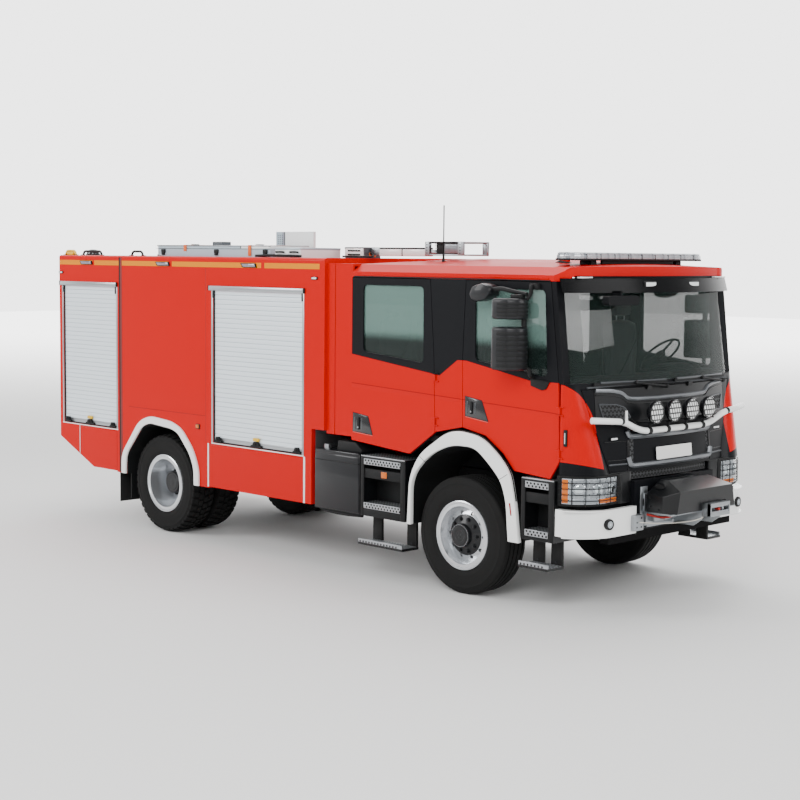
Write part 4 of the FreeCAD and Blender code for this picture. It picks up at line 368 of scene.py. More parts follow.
# name: (colour, roughness, metal, second shade, grain mm, grain depth mm, further sockets)
plain = {
    # Sprayed red enamel: deep and smooth, its gloss kept low so that the white sky doesn't turn it pink
    "redEnamel": ("C40100", 0.3, 0.0, "C10100", 6.0, 0.003,
                  {"Coat_Weight": 0.06, "Coat_Roughness": 0.05, "Specular_IOR_Level": 0.08}),
    # Sprayed white enamel on bumper, arches and tube: clean, bright, lightly reflecting
    "whiteEnamel": ("F4F5F3", 0.25, 0.0, "ECEEED", 1.5, 0.01, {"Coat_Weight": 0.5, "Coat_Roughness": 0.06}),
    # Satin black paint on the hatch, steps and winch cover: a soft sheen along the edges
    "darkEnamel": ("0D0E10", 0.34, 0.0, "111214", 1.5, 0.01,
                   {"Coat_Weight": 0.25, "Coat_Roughness": 0.15, **dull}),
    # Retroreflecting film: flat, warm yellow
    "yellowFilm": ("E39A00", 0.5, 0.0, "DB9300", 2.0, 0.01, {}),
    # Moulded acrylic lenses: wet gloss over a clear strong colour
    "amberLens": ("E8791A", 0.15, 0.0, "D9650F", 3.0, 0.08, {"Transmission_Weight": 0.2}),
    "redLens": ("9E0B0B", 0.12, 0.0, "8A0808", 3.0, 0.08, {"Transmission_Weight": 0.15}),
    "whiteLens": ("F2F3F2", 0.15, 0.0, "E2E5E6", 3.0, 0.05, {"Coat_Weight": 1.0}),
    "greyLens": ("8B8790", 0.18, 0.1, "77747D", 3.0, 0.05, {"Coat_Weight": 1.0}),
    "domeSmoke": ("0B0E14", 0.12, 0.0, "0E1118", 3.0, 0.05, {"Coat_Weight": 0.3}),
    # Grained black polypropylene: dull and even
    "grainedPlastic": ("0C0D0E", 0.58, 0.0, "141516", 1.2, 0.06, dull),
    # Polished black ABS: sharp small highlights
    "glossPlastic": ("0D0E10", 0.16, 0.0, "131417", 8.0, 0.01, {"Coat_Weight": 0.5}),
    # Moulded grey ABS: matt, mid grey
    "greyPlastic": ("53565A", 0.5, 0.0, "494C50", 1.2, 0.05, {}),
    # Lamp cases in black glass-filled nylon: a dry, faint sheen
    "lampCase": ("0C0D0E", 0.45, 0.0, "101113", 0.6, 0.08, dull),
    # Mirror shells in fine-grained black ABS: softly shaded ribs
    "mirrorShell": ("191A1D", 0.42, 0.0, "141518", 1.0, 0.03, {"Coat_Weight": 0.15, **dull}),
    # Dashboard foam skin: dark and leathery
    "dashPlastic": ("1B1D1E", 0.62, 0.0, "161819", 1.0, 0.06, dull),
    # Powder-coated frame steel: rough black that shows dust
    "steelBlack": ("0F1011", 0.55, 0.0, "17181A", 2.5, 0.05, dull),
    # Sand-cast iron: dull grey with a coarse skin
    "castGrey": ("4A4C4E", 0.6, 0.4, "3C3E40", 4.0, 0.25, {}),
    # Hot-dipped galvanised steel: pale, with spangles some 14 mm across
    "galvanised": ("A9ADB0", 0.38, 0.9, "8D9195", 14.0, 0.05, {}),
    # Satin anodised aluminium: even, brushed silver
    "satinAlloy": ("B4B7BA", 0.32, 0.95, "A3A6AA", 1.0, 0.02, {}),
    # Silver wheel lacquer: bright metal flake under a clear coat
    "rimSilver": ("D3D6D9", 0.24, 0.75, "C3C6CA", 1.2, 0.01, {"Coat_Weight": 0.4, "Coat_Roughness": 0.08}),
    # Painted cast hub: near black with a slight sheen
    "hubBlack": ("141517", 0.38, 0.0, "1D1E20", 1.5, 0.03, {"Coat_Weight": 0.2, **dull}),
    # Phosphated steel bolts: dark grey metal
    "boltSteel": ("3A3B3D", 0.35, 0.8, "2C2D2F", 2.0, 0.05, {}),
    # Grey metallic paint on the front's lips and frames: a broad satin highlight
    "satinGrey": ("7B7E82", 0.33, 0.6, "6C6F73", 1.0, 0.02, {"Coat_Weight": 0.3}),
    "satinEdge": ("55585C", 0.33, 0.6, "4A4D50", 1.0, 0.02, {}),
    # Stove-enamelled plate: flat white
    "whitePlate": ("ECECEA", 0.35, 0.0, "E3E3E1", 2.0, 0.01, {}),
    # Moulded yellow grip tabs: bright and plain
    "yellowTab": ("E6B800", 0.35, 0.0, "D9AC00", 2.0, 0.02, {}),
    # Painted shade at the red panels' joints: a dark red line
    "jointShadeRed": ("7C0A05", 0.5, 0.0, "5E0703", 2.0, 0.02, {}),
    # Painted highlight along the handles' lower edge: a lighter red line
    "handleHighlight": ("E0574E", 0.3, 0.0, "D04A42", 2.0, 0.02, {}),
    # Anodised stowage boards: pale blue-grey
    "boxSilver": ("AEB9C1", 0.38, 0.35, "9FABB4", 1.2, 0.02, {"Coat_Weight": 0.2}),
    # Satin black enamel on the battery boxes: smooth, with a long soft highlight
    "boxEnamel": ("0E0F12", 0.4, 0.0, "141519", 1.5, 0.02, {"Coat_Weight": 0.3, **dull}),
    # Woven seat cloth: dull charcoal with a fuzzy edge
    "seatCloth": ("2B2D31", 0.9, 0.0, "232529", 2.0, 0.3, {"Sheen_Weight": 0.4}),
    # Moulded rubbers: matt black
    "tyreRubber": ("1B1B1C", 0.72, 0.0, "242322", 3.0, 0.12, dull),
    "hoseRubber": ("141414", 0.6, 0.0, "1C1C1C", 2.0, 0.08, dull),
    # Woven polyester strap and laid ropes: soft, coarse-grained, no shine
    "orangeWeb": ("E0661B", 0.7, 0.0, "CF5610", 1.5, 0.2, {}),
    "ropeWhite": ("D8D4CB", 0.85, 0.0, "BDB8AC", 2.0, 0.4, {}),
    "ropeRed": ("B3261C", 0.8, 0.0, "93180F", 2.0, 0.4, {}),
    # Silvered glass and vacuum-metallised reflectors: mirror-bright
    "mirrorGlass": ("C9D2D6", 0.03, 1.0, "BFC9CD", 30.0, 0.002, {}),
    "lampSilver": ("A9AEB3", 0.12, 0.9, "8E949A", 5.0, 0.05, {}),
}
stripe = {"low": 2.876, "high": 2.929, "front": 0.42, "gaps": ((-3.4, -3.365), (-1.985, -1.92), (-0.45, -0.4))}
slats = {"foot": 1.056, "pitch": 0.048}
lampCells = {"wide": 0.034, "high": 0.044, "slant": 0.35, "side": 0.36, "foot": 0.3}
honeycombCell = {"pitch": 0.044, "hole": 0.0165}
tread = {"cut": 0.0022, "from": 0.524, "rings": (0.3, 0.352), "ringPitch": 0.006}
# The cab front's dark middle widens with a power of the height, over a sloping sill and under the pillars
cabFront = {"foot": 1.25, "span": 0.655, "power": 4.2, "widen": 0.212, "half": 0.934, "pillar": 1.957,
            "sill": 1.036, "slope": 0.22, "shadow": 0.68}
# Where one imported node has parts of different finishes
seams = {"glassSky": (2.22, 2.34), "visorMirror": 2.7165, "roofFin": 2.995, "crate": -0.365, "board": -0.885,
         "boardJoint": -0.9, "boardFoot": 3.072, "gutter": 2.815, "lining": 1.2, "endWalls": (-4.066, 0.491)}
# The lower edge of the cab's dark upper part, as (x, z)
waistLine = [(0.8, 2.092), (1.935, 1.968), (1.999, 1.949), (2.215, 2.098), (2.323, 2.098), (3.077, 1.964),
             (3.6, 1.967)]
crease = {"start": (0.93, 1.813), "slope": -0.042, "rise": 5.0, "width": 0.05}


def plainFinish(name, like=None, **changes):
    code, rough, metal, shade, grain, depth, sockets = plain[like or name]
    sizes = {"shade": shade, "grain": grain, "depth": depth, **sockets, **changes}
    return newFinish(name, code, rough, metal, **sizes)


def glassFinish(name, code, alpha):
    # Float glass: see-through by its alpha, with a sharp reflection.
    item = newFinish(name, code, 0.02, shade=code, grain=60, depth=0.002, swing=0.01)
    shaderOf(item).inputs["Alpha"].default_value = alpha
    return item


def sideGlassFinish():
    # Green-tinted door glass, paler towards its top: a painted reflection of the sky.
    item = glassFinish("sideGlass", "1D2926", 0.62)
    z = placesIn(item)[2]
    sky = addNode(item, "MapRange", {0: z, 1: seams["glassSky"][0], 2: seams["glassSky"][1]},
                  interpolation_type="SMOOTHSTEP")
    # The paler top is a painted reflection of the sky.
    paintOver(item, sky, "6C8A82")


def visorFinish():
    # Smoked acrylic visor, nearly solid, with the grained black mirror and its bracket below it.
    item = newFinish("visorSmoke", "050506", 0.22, shade="0E0F11", grain=60, depth=0.002, swing=0.01,
                     Specular_IOR_Level=0.08)
    mirror = addNode(item, "LESS_THAN", placesIn(item)[2], seams["visorMirror"])
    paintOver(item, mirror, "131416", 0.5)
    item.node_tree.links.new(addNode(item, "MULTIPLY_ADD", mirror, 0.03, 0.97), shaderOf(item).inputs["Alpha"])


def cabRoofFinish():
    # Red enamel roof, duller with road film, and the antenna fin and its whip in black plastic.
    red = plain["redEnamel"]
    item = newFinish("cabRoofEnamel", red[0], 0.42, shade=red[3], grain=6, depth=0.003, swing=0.03,
                     Specular_IOR_Level=0.1)
    paintOver(item, addNode(item, "GREATER_THAN", placesIn(item)[2], seams["roofFin"]), "0C0D0E", 0.5)


def roofBoxFinish():
    # Pale anodised box; the crate before it and the front board are white.
    item = newFinish("roofBoxAlloy", "B4C1CA", 0.36, 0.25, shade="A9B7C1", grain=1.2, depth=0.02)
    x, _, z = placesIn(item)
    high = addNode(item, "GREATER_THAN", z, seams["boardFoot"])
    crate = addNode(item, "GREATER_THAN", x, seams["crate"])
    board = addNode(item, "MULTIPLY", addNode(item, "GREATER_THAN", x, seams["board"]), high)
    seam = addNode(item, "MULTIPLY", band(item, x, seams["boardJoint"], seams["board"]), high)
    paintOver(item, addNode(item, "MAXIMUM", crate, board), "F0F2F2", 0.35)
    paintOver(item, seam, "3A3F44", 0.5)


def cabSideFinish():
    # Red below the waist line, dark satin above it to the gutter, and a soft pressed crease in the red, with a
    # darker red line along it as painted shade.
    item = plainFinish("cabSideEnamel", "redEnamel", swing=0.02)
    x, y, z = placesIn(item)
    dark = addNode(item, "MULTIPLY", aboveLine(item, x, z, waistLine),
                   addNode(item, "LESS_THAN", z, seams["gutter"]))
    (startX, startZ), slope, width = crease["start"], crease["slope"], crease["width"]
    line = addNode(item, "SUBTRACT", z, addNode(item, "MULTIPLY_ADD", x, slope, startZ - slope * startX))
    press = addNode(item, "MapRange", {0: line, 1: -width, 2: 0.0}, interpolation_type="SMOOTHSTEP")
    emboss(item, press, crease["rise"])
    # Painted shade in the crease: a darker red line.
    paintOver(item, band(item, line, -0.007, 0.0), "8C0602")
    paintOver(item, dark, "141518", 0.34)
    inside = addNode(item, "LESS_THAN", addNode(item, "ABSOLUTE", y), seams["lining"])
    paintOver(item, inside, "1B1D1E", 0.6)


def cabFrontFinish():
    # Red corner panels beside a dark middle that widens upwards in a curve, under dark pillars.
    item = plainFinish("cabFrontEnamel", "redEnamel", swing=0.02)
    _, y, z = placesIn(item)
    out = addNode(item, "ABSOLUTE", y)
    foot, span, power, widen, half, pillar, sill, slope, shadow = cabFront.values()
    rise = addNode(item, "MAXIMUM", addNode(item, "DIVIDE", addNode(item, "SUBTRACT", z, foot), span), 0.0)
    edge = addNode(item, "MULTIPLY_ADD", addNode(item, "POWER", rise, power), widen, half)
    middle = addNode(item, "LESS_THAN", out, edge)
    below = addNode(item, "LESS_THAN", z, addNode(item, "MULTIPLY_ADD", out, slope, sill))
    ends = addNode(item, "MAXIMUM", addNode(item, "GREATER_THAN", z, pillar), below)
    paintOver(item, addNode(item, "MAXIMUM", middle, ends), "101114", 0.34)
    paintOver(item, addNode(item, "LESS_THAN", z, shadow), "050506", 0.85)


def bodySideFinish():
    # Red enamel with the yellow stripe along the top, broken at the side lamps.
    item = plainFinish("bodyEnamel", "redEnamel", swing=0.02)
    x, y, z = placesIn(item)
    side = addNode(item, "GREATER_THAN", addNode(item, "ABSOLUTE", y), 1.2)
    behind = addNode(item, "LESS_THAN", x, stripe["front"])
    film = addNode(item, "MULTIPLY", band(item, z, stripe["low"], stripe["high"]),
                   addNode(item, "MULTIPLY", side, behind))
    for low, high in stripe["gaps"]:
        film = addNode(item, "MULTIPLY", film, addNode(item, "SUBTRACT", 1.0, band(item, x, low, high)))
    paintOver(item, film, "DA8300", 0.55)


def shutterFinish():
    # Pale anodised slats: each rounded slat is painted a touch darker below, as shade where it meets the next.
    item = newFinish("shutterAlloy", "E6EFF5", 0.36, 0.1, shade="DEE8EF", patch=900, grain=0.8, depth=0.01,
                     Coat_Weight=0.2)
    z = addNode(item, "SUBTRACT", placesIn(item)[2], slats["foot"])
    slat = addNode(item, "FRACT", addNode(item, "DIVIDE", z, slats["pitch"]))
    emboss(item, addNode(item, "SINE", addNode(item, "MULTIPLY", slat, math.pi)), 2.5)
    # Painted shade along the foot of each slat.
    paintOver(item, addNode(item, "LESS_THAN", slat, 0.1), "B4C0C9")


def honeycombFinish():
    # Black sheet with dark holes 44 mm apart, each row set off by half of that: coarse, so that they show.
    item = newFinish("honeycomb", "26282B", 0.45, shade="26282B", grain=1.0, depth=0.03)
    _, y, z = placesIn(item)
    half, rows = honeycombCell["pitch"] / 2, honeycombCell["pitch"] * 0.866
    row = addNode(item, "FLOOR", addNode(item, "DIVIDE", z, rows))
    odd = addNode(item, "MODULO", addNode(item, "ABSOLUTE", row), 2.0)
    along = addNode(item, "PINGPONG", addNode(item, "ADD", y, addNode(item, "MULTIPLY", odd, half)), half)
    up = addNode(item, "PINGPONG", z, rows / 2)
    hole = addNode(item, "LESS_THAN", reachOf(item, along, up), honeycombCell["hole"])
    paintOver(item, hole, "050505", 0.9)


def cellCoverFinish():
    # White driving-lamp cover with staggered cells, the dark bowl showing between them.
    item = newFinish("cellCover", "F0F1EF", 0.2, shade="E4E6E6", patch=60, grain=4, depth=0.05,
                     Coat_Weight=0.8)
    _, y, z = placesIn(item)
    rise = addNode(item, "DIVIDE", z, lampCells["high"])
    shift = addNode(item, "MULTIPLY", addNode(item, "MODULO", addNode(item, "FLOOR", rise), 2.0), 0.5)
    across = addNode(item, "DIVIDE", addNode(item, "ADD", y, 10.0), lampCells["wide"])
    along, up = addNode(item, "FRACT", addNode(item, "ADD", across, shift)), addNode(item, "FRACT", rise)
    slant = addNode(item, "FRACT", addNode(item, "MULTIPLY_ADD", up, lampCells["slant"], along))
    side = addNode(item, "LESS_THAN", slant, lampCells["side"])
    gaps = addNode(item, "MAXIMUM", side, addNode(item, "LESS_THAN", up, lampCells["foot"]))
    paintOver(item, gaps, "101113", 0.3)
    emboss(item, addNode(item, "SUBTRACT", 1.0, gaps), 1.5)


def lampPatternFinish(name, code, dark, pitch):
    # Clear polycarbonate cover over a row of reflector cells.
    item = newFinish(name, code, 0.12, 0.35, shade=dark, patch=60, grain=4, depth=0.1, Coat_Weight=1.0)
    y = placesIn(item)[1]
    paintOver(item, addNode(item, "LESS_THAN", wave(item, y, pitch), 0.08), dark, 0.3)
    emboss(item, wave(item, y, pitch / 4), 1.0)


def punchedAlloyFinish():
    # Step treads: bright alloy with punched dark holes every 36 mm.
    item = newFinish("punchedAlloy", "B9BDC0", 0.34, 0.85, shade="A4A8AB", grain=1.0, depth=0.03)
    across, along = (addNode(item, "SUBTRACT", addNode(item, "FRACT", addNode(item, "DIVIDE", value, pitch)),
                             0.5) for value, pitch in zip(placesIn(item), (0.036, 0.038)))
    square = addNode(item, "ADD", addNode(item, "MULTIPLY", across, across),
                     addNode(item, "MULTIPLY", along, along))
    paintOver(item, addNode(item, "LESS_THAN", square, 0.03), "16171A", 0.6)


def bodyFrameFinish():
    # Mill-finish alloy inside, red enamel on the two end walls' outer faces.
    item = newFinish("bodyFrameAlloy", "B4B7BA", 0.36, 0.9, shade="A3A6AA", grain=1.0, depth=0.02)
    x = placesIn(item)[0]
    rear, front = seams["endWalls"]
    ends = addNode(item, "MAXIMUM", addNode(item, "LESS_THAN", x, rear),
                   addNode(item, "GREATER_THAN", x, front))
    paintOver(item, ends, plain["redEnamel"][0], 0.26)
    item.node_tree.links.new(addNode(item, "MULTIPLY_ADD", ends, -0.9, 0.9), shaderOf(item).inputs["Metallic"])


def tyreFinish(name, x, cuts):
    # Carbon-black rubber: fine moulded rings on the sidewall, and narrow cuts across the tread.
    item = newFinish(name, "0C0C0D", 0.8, shade="131312", patch=180, grain=3, depth=0.1,
                     Specular_IOR_Level=0.25)
    along, _, up = placesIn(item)
    along, up = addNode(item, "SUBTRACT", along, x), addNode(item, "SUBTRACT", up, wheels["axle"])
    reach = reachOf(item, along, up)
    turn = addNode(item, "PINGPONG", addNode(item, "ARCTAN2", up, along), math.pi / cuts)
    outer = addNode(item, "GREATER_THAN", reach, tread["from"])
    cut = addNode(item, "MULTIPLY", addNode(item, "LESS_THAN", turn, tread["cut"]), outer)
    rings = addNode(item, "MULTIPLY", wave(item, reach, tread["ringPitch"]),
                    band(item, reach, *tread["rings"]))
    emboss(item, addNode(item, "MULTIPLY_ADD", rings, 0.35, addNode(item, "SUBTRACT", 1.0, cut)), 2.0)
    paintOver(item, cut, "0C0C0C")


def allFinishes():
    for name in plain:
        plainFinish(name)
    glassFinish("screenGlass", "26332F", 0.3)  # green-tinted windscreen: dark, but the wheel shows through
    sideGlassFinish()
    visorFinish()
    cabRoofFinish()
    roofBoxFinish()
    cabSideFinish()
    cabFrontFinish()
    bodySideFinish()
    tyreFinish("frontTyreRubber", wheels["front"][0], 120)
    tyreFinish("rearTyreRubber", wheels["rear"][0], 126)
    honeycombFinish()
    cellCoverFinish()
    lampPatternFinish("lightBarCells", "D4D9DE", "7F868D", 0.16)
    lampPatternFinish("ribbedLens", "B4BABF", "6E757B", 0.022)
    shutterFinish()
    punchedAlloyFinish()
    bodyFrameFinish()


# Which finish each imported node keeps
kept = {
    "cabRoofEnamel": "cab_roof",
    "redEnamel": "gap_fairings main_flap_left main_flap_right rear_flap_left rear_flap_right",
    "cabSideEnamel": "rear_door_left rear_door_right front_door_left front_door_right cab_side_panels",
    "bodyEnamel": "body_sides body_roof",
    "whiteEnamel": "wheel_arch_trims bumper_ends lamp_bar",
    "cabFrontEnamel": "cab_front_frame front_panels",
    "darkEnamel": "cab_steps winch_housing front_hatch",
    "roofBoxAlloy": "roof_box roof_box_lid",
    "greyPlastic": "mast_base",
    "bodyFrameAlloy": "body_frame",
    "grainedPlastic": "cab_shell arch_liners dashboard wipers mirrors_left mirrors_right",
    "steelBlack": "chassis_frame rear_axle front_axle knuckle_left knuckle_right track_rod",
    "castGrey": "powertrain",
    "visorSmoke": "sun_visor",
    "screenGlass": "windscreen",
    "sideGlass": "front_glass_left front_glass_right rear_glass_left rear_glass_right",
    "lightBarCells": "light_bar",
    "lampCase": "headlights",
    "seatCloth": "seats",
    "satinAlloy": "mast ladder_and_rails",
    "shutterAlloy": "roller_shutters",
    "galvanised": "winch",
    "redLens": "body_lamps",
    "tyreRubber": "front_tyre_left front_tyre_right rear_tyres_left rear_tyres_right",
    "rimSilver": "front_rim_left front_rim_right rear_rims_left rear_rims_right",
}


def dressNodes():
    for word, names in kept.items():
        for name in names.split():
            item = nodes[name]
            item.data.materials.clear()
            item.data.materials.append(finishOf[word])


# Cab sides, mirrors, wipers and light bar

handles = {"front": [(2.321, 1.782), (2.511, 1.756), (2.587, 1.583), (2.324, 1.613)],
           "rear": [(0.878, 1.53), (1.076, 1.507), (1.135, 1.341), (0.873, 1.357)]}
mirrors = {"lower": (2.06, 2.425), "upper": (2.49, 2.665), "rear": 2.85, "front": 3.115, "near": 0.035}
bar = {"rear": 3.07, "front": 3.3, "half": 0.984, "low": 2.988, "top": 3.058}


def doorHandle(side, word, which):
    # A black shaped recess with its pull lever, and a light red lower edge that is a painted highlight.
    mesh = newMesh()
    outline = handles[which]
    middle = (sum(x for x, _ in outline) / 4, sum(z for _, z in outline) / 4)
    grow = [(middle[0] + (x - middle[0]) * 1.07, middle[1] + (z - middle[1]) * 1.07) for x, z in outline]
    sidePlate(mesh, side, grow, 1.217, 1.2222, 0.0015, 0)
    sidePlate(mesh, side, outline, 1.218, 1.224, 0.002, 1)
    left = outline[0][0]
    high, low = outline[1][1] - 0.014, outline[3][1] + 0.018
    sideBox(mesh, side, left + 0.06, left + 0.088, 1.222, 1.233, low, high, 0.006, 0)
    sideBox(mesh, side, left + 0.018, left + 0.03, 1.222, 1.2265, low, high, 0.003, 2)
    sideBox(mesh, side, left + 0.112, left + 0.124, 1.222, 1.226, low, high - 0.01, 0.003, 2)
    (frontX, frontZ), (rearX, rearZ) = outline[2:]
    frontX += 0.004
    # The lower edge: a lighter red strip, a painted highlight.
    edge = [(rearX, rearZ - 0.012), (frontX, frontZ - 0.012), (frontX, frontZ - 0.006), (rearX, rearZ - 0.006)]
    sidePlate(mesh, side, edge, 1.218, 1.2245, 0.0, 3)
    sidePin(mesh, side, left + 0.074, low + 0.022, 1.23, 1.235, 0.008, 14, 4)  # the lock
    finishPiece(f"{which}Handle_{word}", mesh,
                ["grainedPlastic", "glossPlastic", "satinEdge", "handleHighlight", "satinAlloy"],
                body=f"{which}_door_{word}")


def ribbedHousing(mesh, side, low, high, ribs):
    # A mirror case with a smooth back corner and pressed ribs across its front and outer sides.
    rear, front, near = mirrors["rear"], mirrors["front"], mirrors["near"]
    outline = [(rear, 1.318), (front - 0.05, 1.3), (front - 0.008, 1.345), (front, 1.405),
               (front - 0.02, 1.47), (front - 0.085, 1.528), (rear + 0.045, 1.542), (rear, 1.525)]
    addPlate(mesh, [(x, side * (y - near)) for x, y in outline], "Z", low, high, 0.022, 0, 3)
    pitch = (high - low - 0.05) / ribs
    for index in range(ribs):
        z = low + 0.025 + pitch * index
        skin = [(front - 0.075, 1.3), (front - 0.006, 1.347), (front + 0.002, 1.405), (front - 0.018, 1.474),
                (front - 0.085, 1.5345), (rear + 0.075, 1.5445), (rear + 0.075, 1.53), (front - 0.11, 1.5),
                (front - 0.05, 1.405), (front - 0.085, 1.31)]
        addPlate(mesh, [(x, side * (y - near)) for x, y in skin], "Z", z, z + pitch * 0.72, 0.006, 1, 2)
    glass = {"near": 1.332 - near, "far": 1.515 - near, "edge": 0.022}
    sideBox(mesh, side, rear - 0.002, rear + 0.004, glass["near"], glass["far"], low + glass["edge"],
            high - glass["edge"], 0.002, 2)


def mirrorPiece(side, word):
    # Two ribbed cases on their stem, the arms to the roof and the waist, and the kerb mirror over the door.
    mesh = newMesh()
    ribbedHousing(mesh, side, *mirrors["upper"], 4)
    ribbedHousing(mesh, side, *mirrors["lower"], 7)
    stem = (3.105, side * 1.275)
    addTube(mesh, [(3.105, side * 1.222, 2.775), (*stem, 2.772), (*stem, 2.7), (3.07, side * 1.31, 2.64)],
            0.018, 1, 0.05, 12)
    addTube(mesh, [(3.05, side * 1.31, 2.1), (*stem, 2.06), (*stem, 2.01), (3.105, side * 1.222, 2.0)], 0.018,
            1, 0.05, 12)
    addRod(mesh, (3.072, side * 1.32, 2.4), (3.072, side * 1.32, 2.52), 0.024, 14, 1)
    addPlate(mesh, [(2.975, side * 1.33), (3.085, side * 1.32), (3.085, side * 1.39), (2.975, side * 1.395)],
             "Z", 2.66, 2.7, 0.01, 1, 2)
    addPlate(mesh, [(3.05, side * 1.222), (3.17, side * 1.222), (3.15, side * 1.262), (3.07, side * 1.262)],
             "Z", 2.742, 2.791, 0.01, 1, 2)
    kerb = [(2.492, 2.69), (2.52, 2.64), (2.6, 2.628), (2.69, 2.65), (2.74, 2.7), (2.716, 2.77),
            (2.64, 2.786), (2.53, 2.76)]
    sidePlate(mesh, side, kerb, 1.245, 1.395, 0.024, 0)
    addTube(mesh, [(2.7, side * 1.33, 2.73), (2.82, side * 1.335, 2.745), (3.0, side * 1.335, 2.715),
                   (3.105, side * 1.33, 2.7)], 0.02, 1, 0.05, 12)
    foot = [(3.07, 1.985), (3.2, 1.985), (3.285, 1.968), (3.245, 1.905), (3.2, 1.892), (3.075, 1.925)]
    sidePlate(mesh, side, foot, 1.216, 1.233, 0.008, 1)
    finishPiece(f"mirrors_{word}Set", mesh, ["mirrorShell", "grainedPlastic", "mirrorGlass"],
                f"mirrors_{word}", body=f"front_door_{word}")


def wiperArms():
    # Two arms from the scuttle, each with its linkage and a ribbed blade.
    mesh = newMesh()
    for side, pivot, tip in ((-1, -0.08, -0.9), (1, 0.9, 0.07)):
        spots = [faceAt(pivot, 1.905, 0.03), faceAt(pivot * 0.75 + tip * 0.25, 1.925, 0.04),
                 faceAt((pivot + tip) / 2, 1.952, 0.034)]
        addTube(mesh, spots, 0.011, 0, 0.05, 10)
        addRod(mesh, faceAt(pivot, 1.905, -0.015), faceAt(pivot, 1.905, 0.046), 0.021, 18, 0, 0.017)
        addRod(mesh, spots[2] - Vector((0.01, 0, 0.004)), spots[2] + Vector((0.012, 0, 0.006)), 0.016, 12, 0)
        marks = rangeOf(min(pivot, tip) + 0.01, max(pivot, tip), 10)
        addTube(mesh, [faceAt(y, 1.962, 0.021) for y in marks], 0.009, 1, 0.0, 8)
        addTube(mesh, [faceAt(y, 1.951, 0.012) for y in marks], 0.006, 0, 0.0, 6)
    steps = rangeOf(-1.02, 1.02, 20)
    outline = [(y, 1.932) for y in steps] + [(y, 1.917) for y in reversed(steps)]
    addFacePlate(mesh, outline, 0.012, 0.02, 1)
    finishPiece("wiperArms", mesh, ["grainedPlastic", "satinEdge"])


def lightBarPiece():
    # Segmented pale covers with rounded ends on a black base with two feet.
    mesh = newMesh()
    rear, front, half, low, top = bar.values()
    middle = (rear + front) / 2
    outline = [(rear, -half + 0.06), (rear + 0.05, -half + 0.01), (rear + 0.11, -half), (front - 0.08, -half),
               (front - 0.02, -half + 0.05), (front, -half + 0.13)]
    loop = outline + [(x, -y) for x, y in reversed(outline)]
    addPlate(mesh, loop, "Z", low, low + 0.016, 0.004, 1)
    inner = [(x + (middle - x) * 0.03, y * 0.992) for x, y in loop]
    addPlate(mesh, inner, "Z", low + 0.014, top - 0.022, 0.004, 0)
    crown = [(x + (middle - x) * 0.07, y * 0.985) for x, y in loop]
    addPlate(mesh, crown, "Z", top - 0.03, top, 0.016, 0, 3)
    for y in rangeOf(-0.78, 0.78, 8):
        addBox(mesh, (rear + 0.002, y - 0.003, low + 0.012), (front - 0.001, y + 0.003, top - 0.016), 0.0, 1)
    for side in (-1, 1):
        sideBox(mesh, side, 3.12, 3.25, 0.58, 0.66, 2.935, low + 0.002, 0.008, 1)
    addBox(mesh, (3.235, -0.52, 2.955), (3.262, 0.52, 2.99), 0.006, 1)
    finishPiece("lightBarCovers", mesh, ["lightBarCells", "grainedPlastic"], "light_bar")


def roofDetails():
    # The sealing bead and the pressed line over the doors, and the feet of the two aerials.
    mesh = newMesh()
    for side in (-1, 1):
        addTube(mesh, [(0.87, side * 1.2185, 2.816), (2.2, side * 1.22, 2.819), (3.27, side * 1.219, 2.816)],
                0.006, 0, 0.0, 8)
        addTube(mesh, [(0.9, side * 1.2205, 2.834), (2.24, side * 1.2215, 2.838), (3.25, side * 1.22, 2.834)],
                0.008, 1, 0.0, 8)
    addRod(mesh, (1.62, -0.79, 2.955), (1.62, -0.79, 3.03), 0.016, 16, 0, 0.009)
    addPlate(mesh, [(2.83, 2.94), (3.02, 2.94), (3.0, 2.972), (2.91, 2.985), (2.85, 2.965)], "Y", -0.69,
             -0.61, 0.012, 0)
    finishPiece("roofDetails", mesh, ["hoseRubber", "redEnamel"])


# Cab front

face = {"curve": 4.67, "foot": (1.195, 3.694), "top": (1.96, 3.622)}
driving = {"x": 3.79, "pitch": 0.26, "z": 1.7, "radius": 0.098}
hatchLip = [(-0.93, 1.899), (-0.74, 1.89), (-0.63, 1.866), (-0.575, 1.822), (-0.52, 1.812), (-0.25, 1.806)]
sideGrille = [(0.9, 1.782), (0.7, 1.77), (0.61, 1.742), (0.545, 1.652), (0.85, 1.642), (0.872, 1.69)]
lowerFrame = {"half": 0.59, "low": 1.245, "high": 1.492, "round": 0.055, "proud": 0.012}
signPlate = {"half": 0.26, "low": 1.274, "high": 1.383}
lampPath = {"nose": 3.66, "inner": 0.58, "turn": 0.96, "centre": (3.3351, 0.9021), "round": 0.33,
            "start": 0.1764}
bumperPath = {"nose": 3.73, "inner": 0.58, "turn": 0.94, "centre": (3.3133, 0.8893), "round": 0.42,
              "start": 0.1209}


def faceAt(y, z, out=0.0):
    # A point on the curved cab face.
    (low, foot), (high, top) = face["foot"], face["top"]
    nose = foot + (top - foot) * (z - low) / (high - low)
    return Vector((nose - face["curve"] + math.sqrt(face["curve"] ** 2 - y * y) + out, y, z))


def wrapAt(path, along, out=0.0):
    # A point in plan on a bar that runs across the nose and round the cab's corner, by its length.
    straight = path["turn"] - path["inner"]
    if along <= straight:
        return path["nose"] + out, path["inner"] + along
    turn = path["start"] + (along - straight) / path["round"]
    reach = path["round"] + out
    return path["centre"][0] + reach * math.cos(turn), path["centre"][1] + reach * math.sin(turn)


def addWrap(mesh, path, start, end, low, high, out, thick, side, index=0, radius=0.0):
    # A panel that follows such a bar.
    marks = rangeOf(start, end, max(int((end - start) / 0.03), 1))
    dots = [wrapAt(path, mark, out) for mark in marks] + [wrapAt(path, mark,
            out - thick) for mark in reversed(marks)]
    return addPlate(mesh, [(x, side * y) for x, y in dots], "Z", low, high, radius, index)


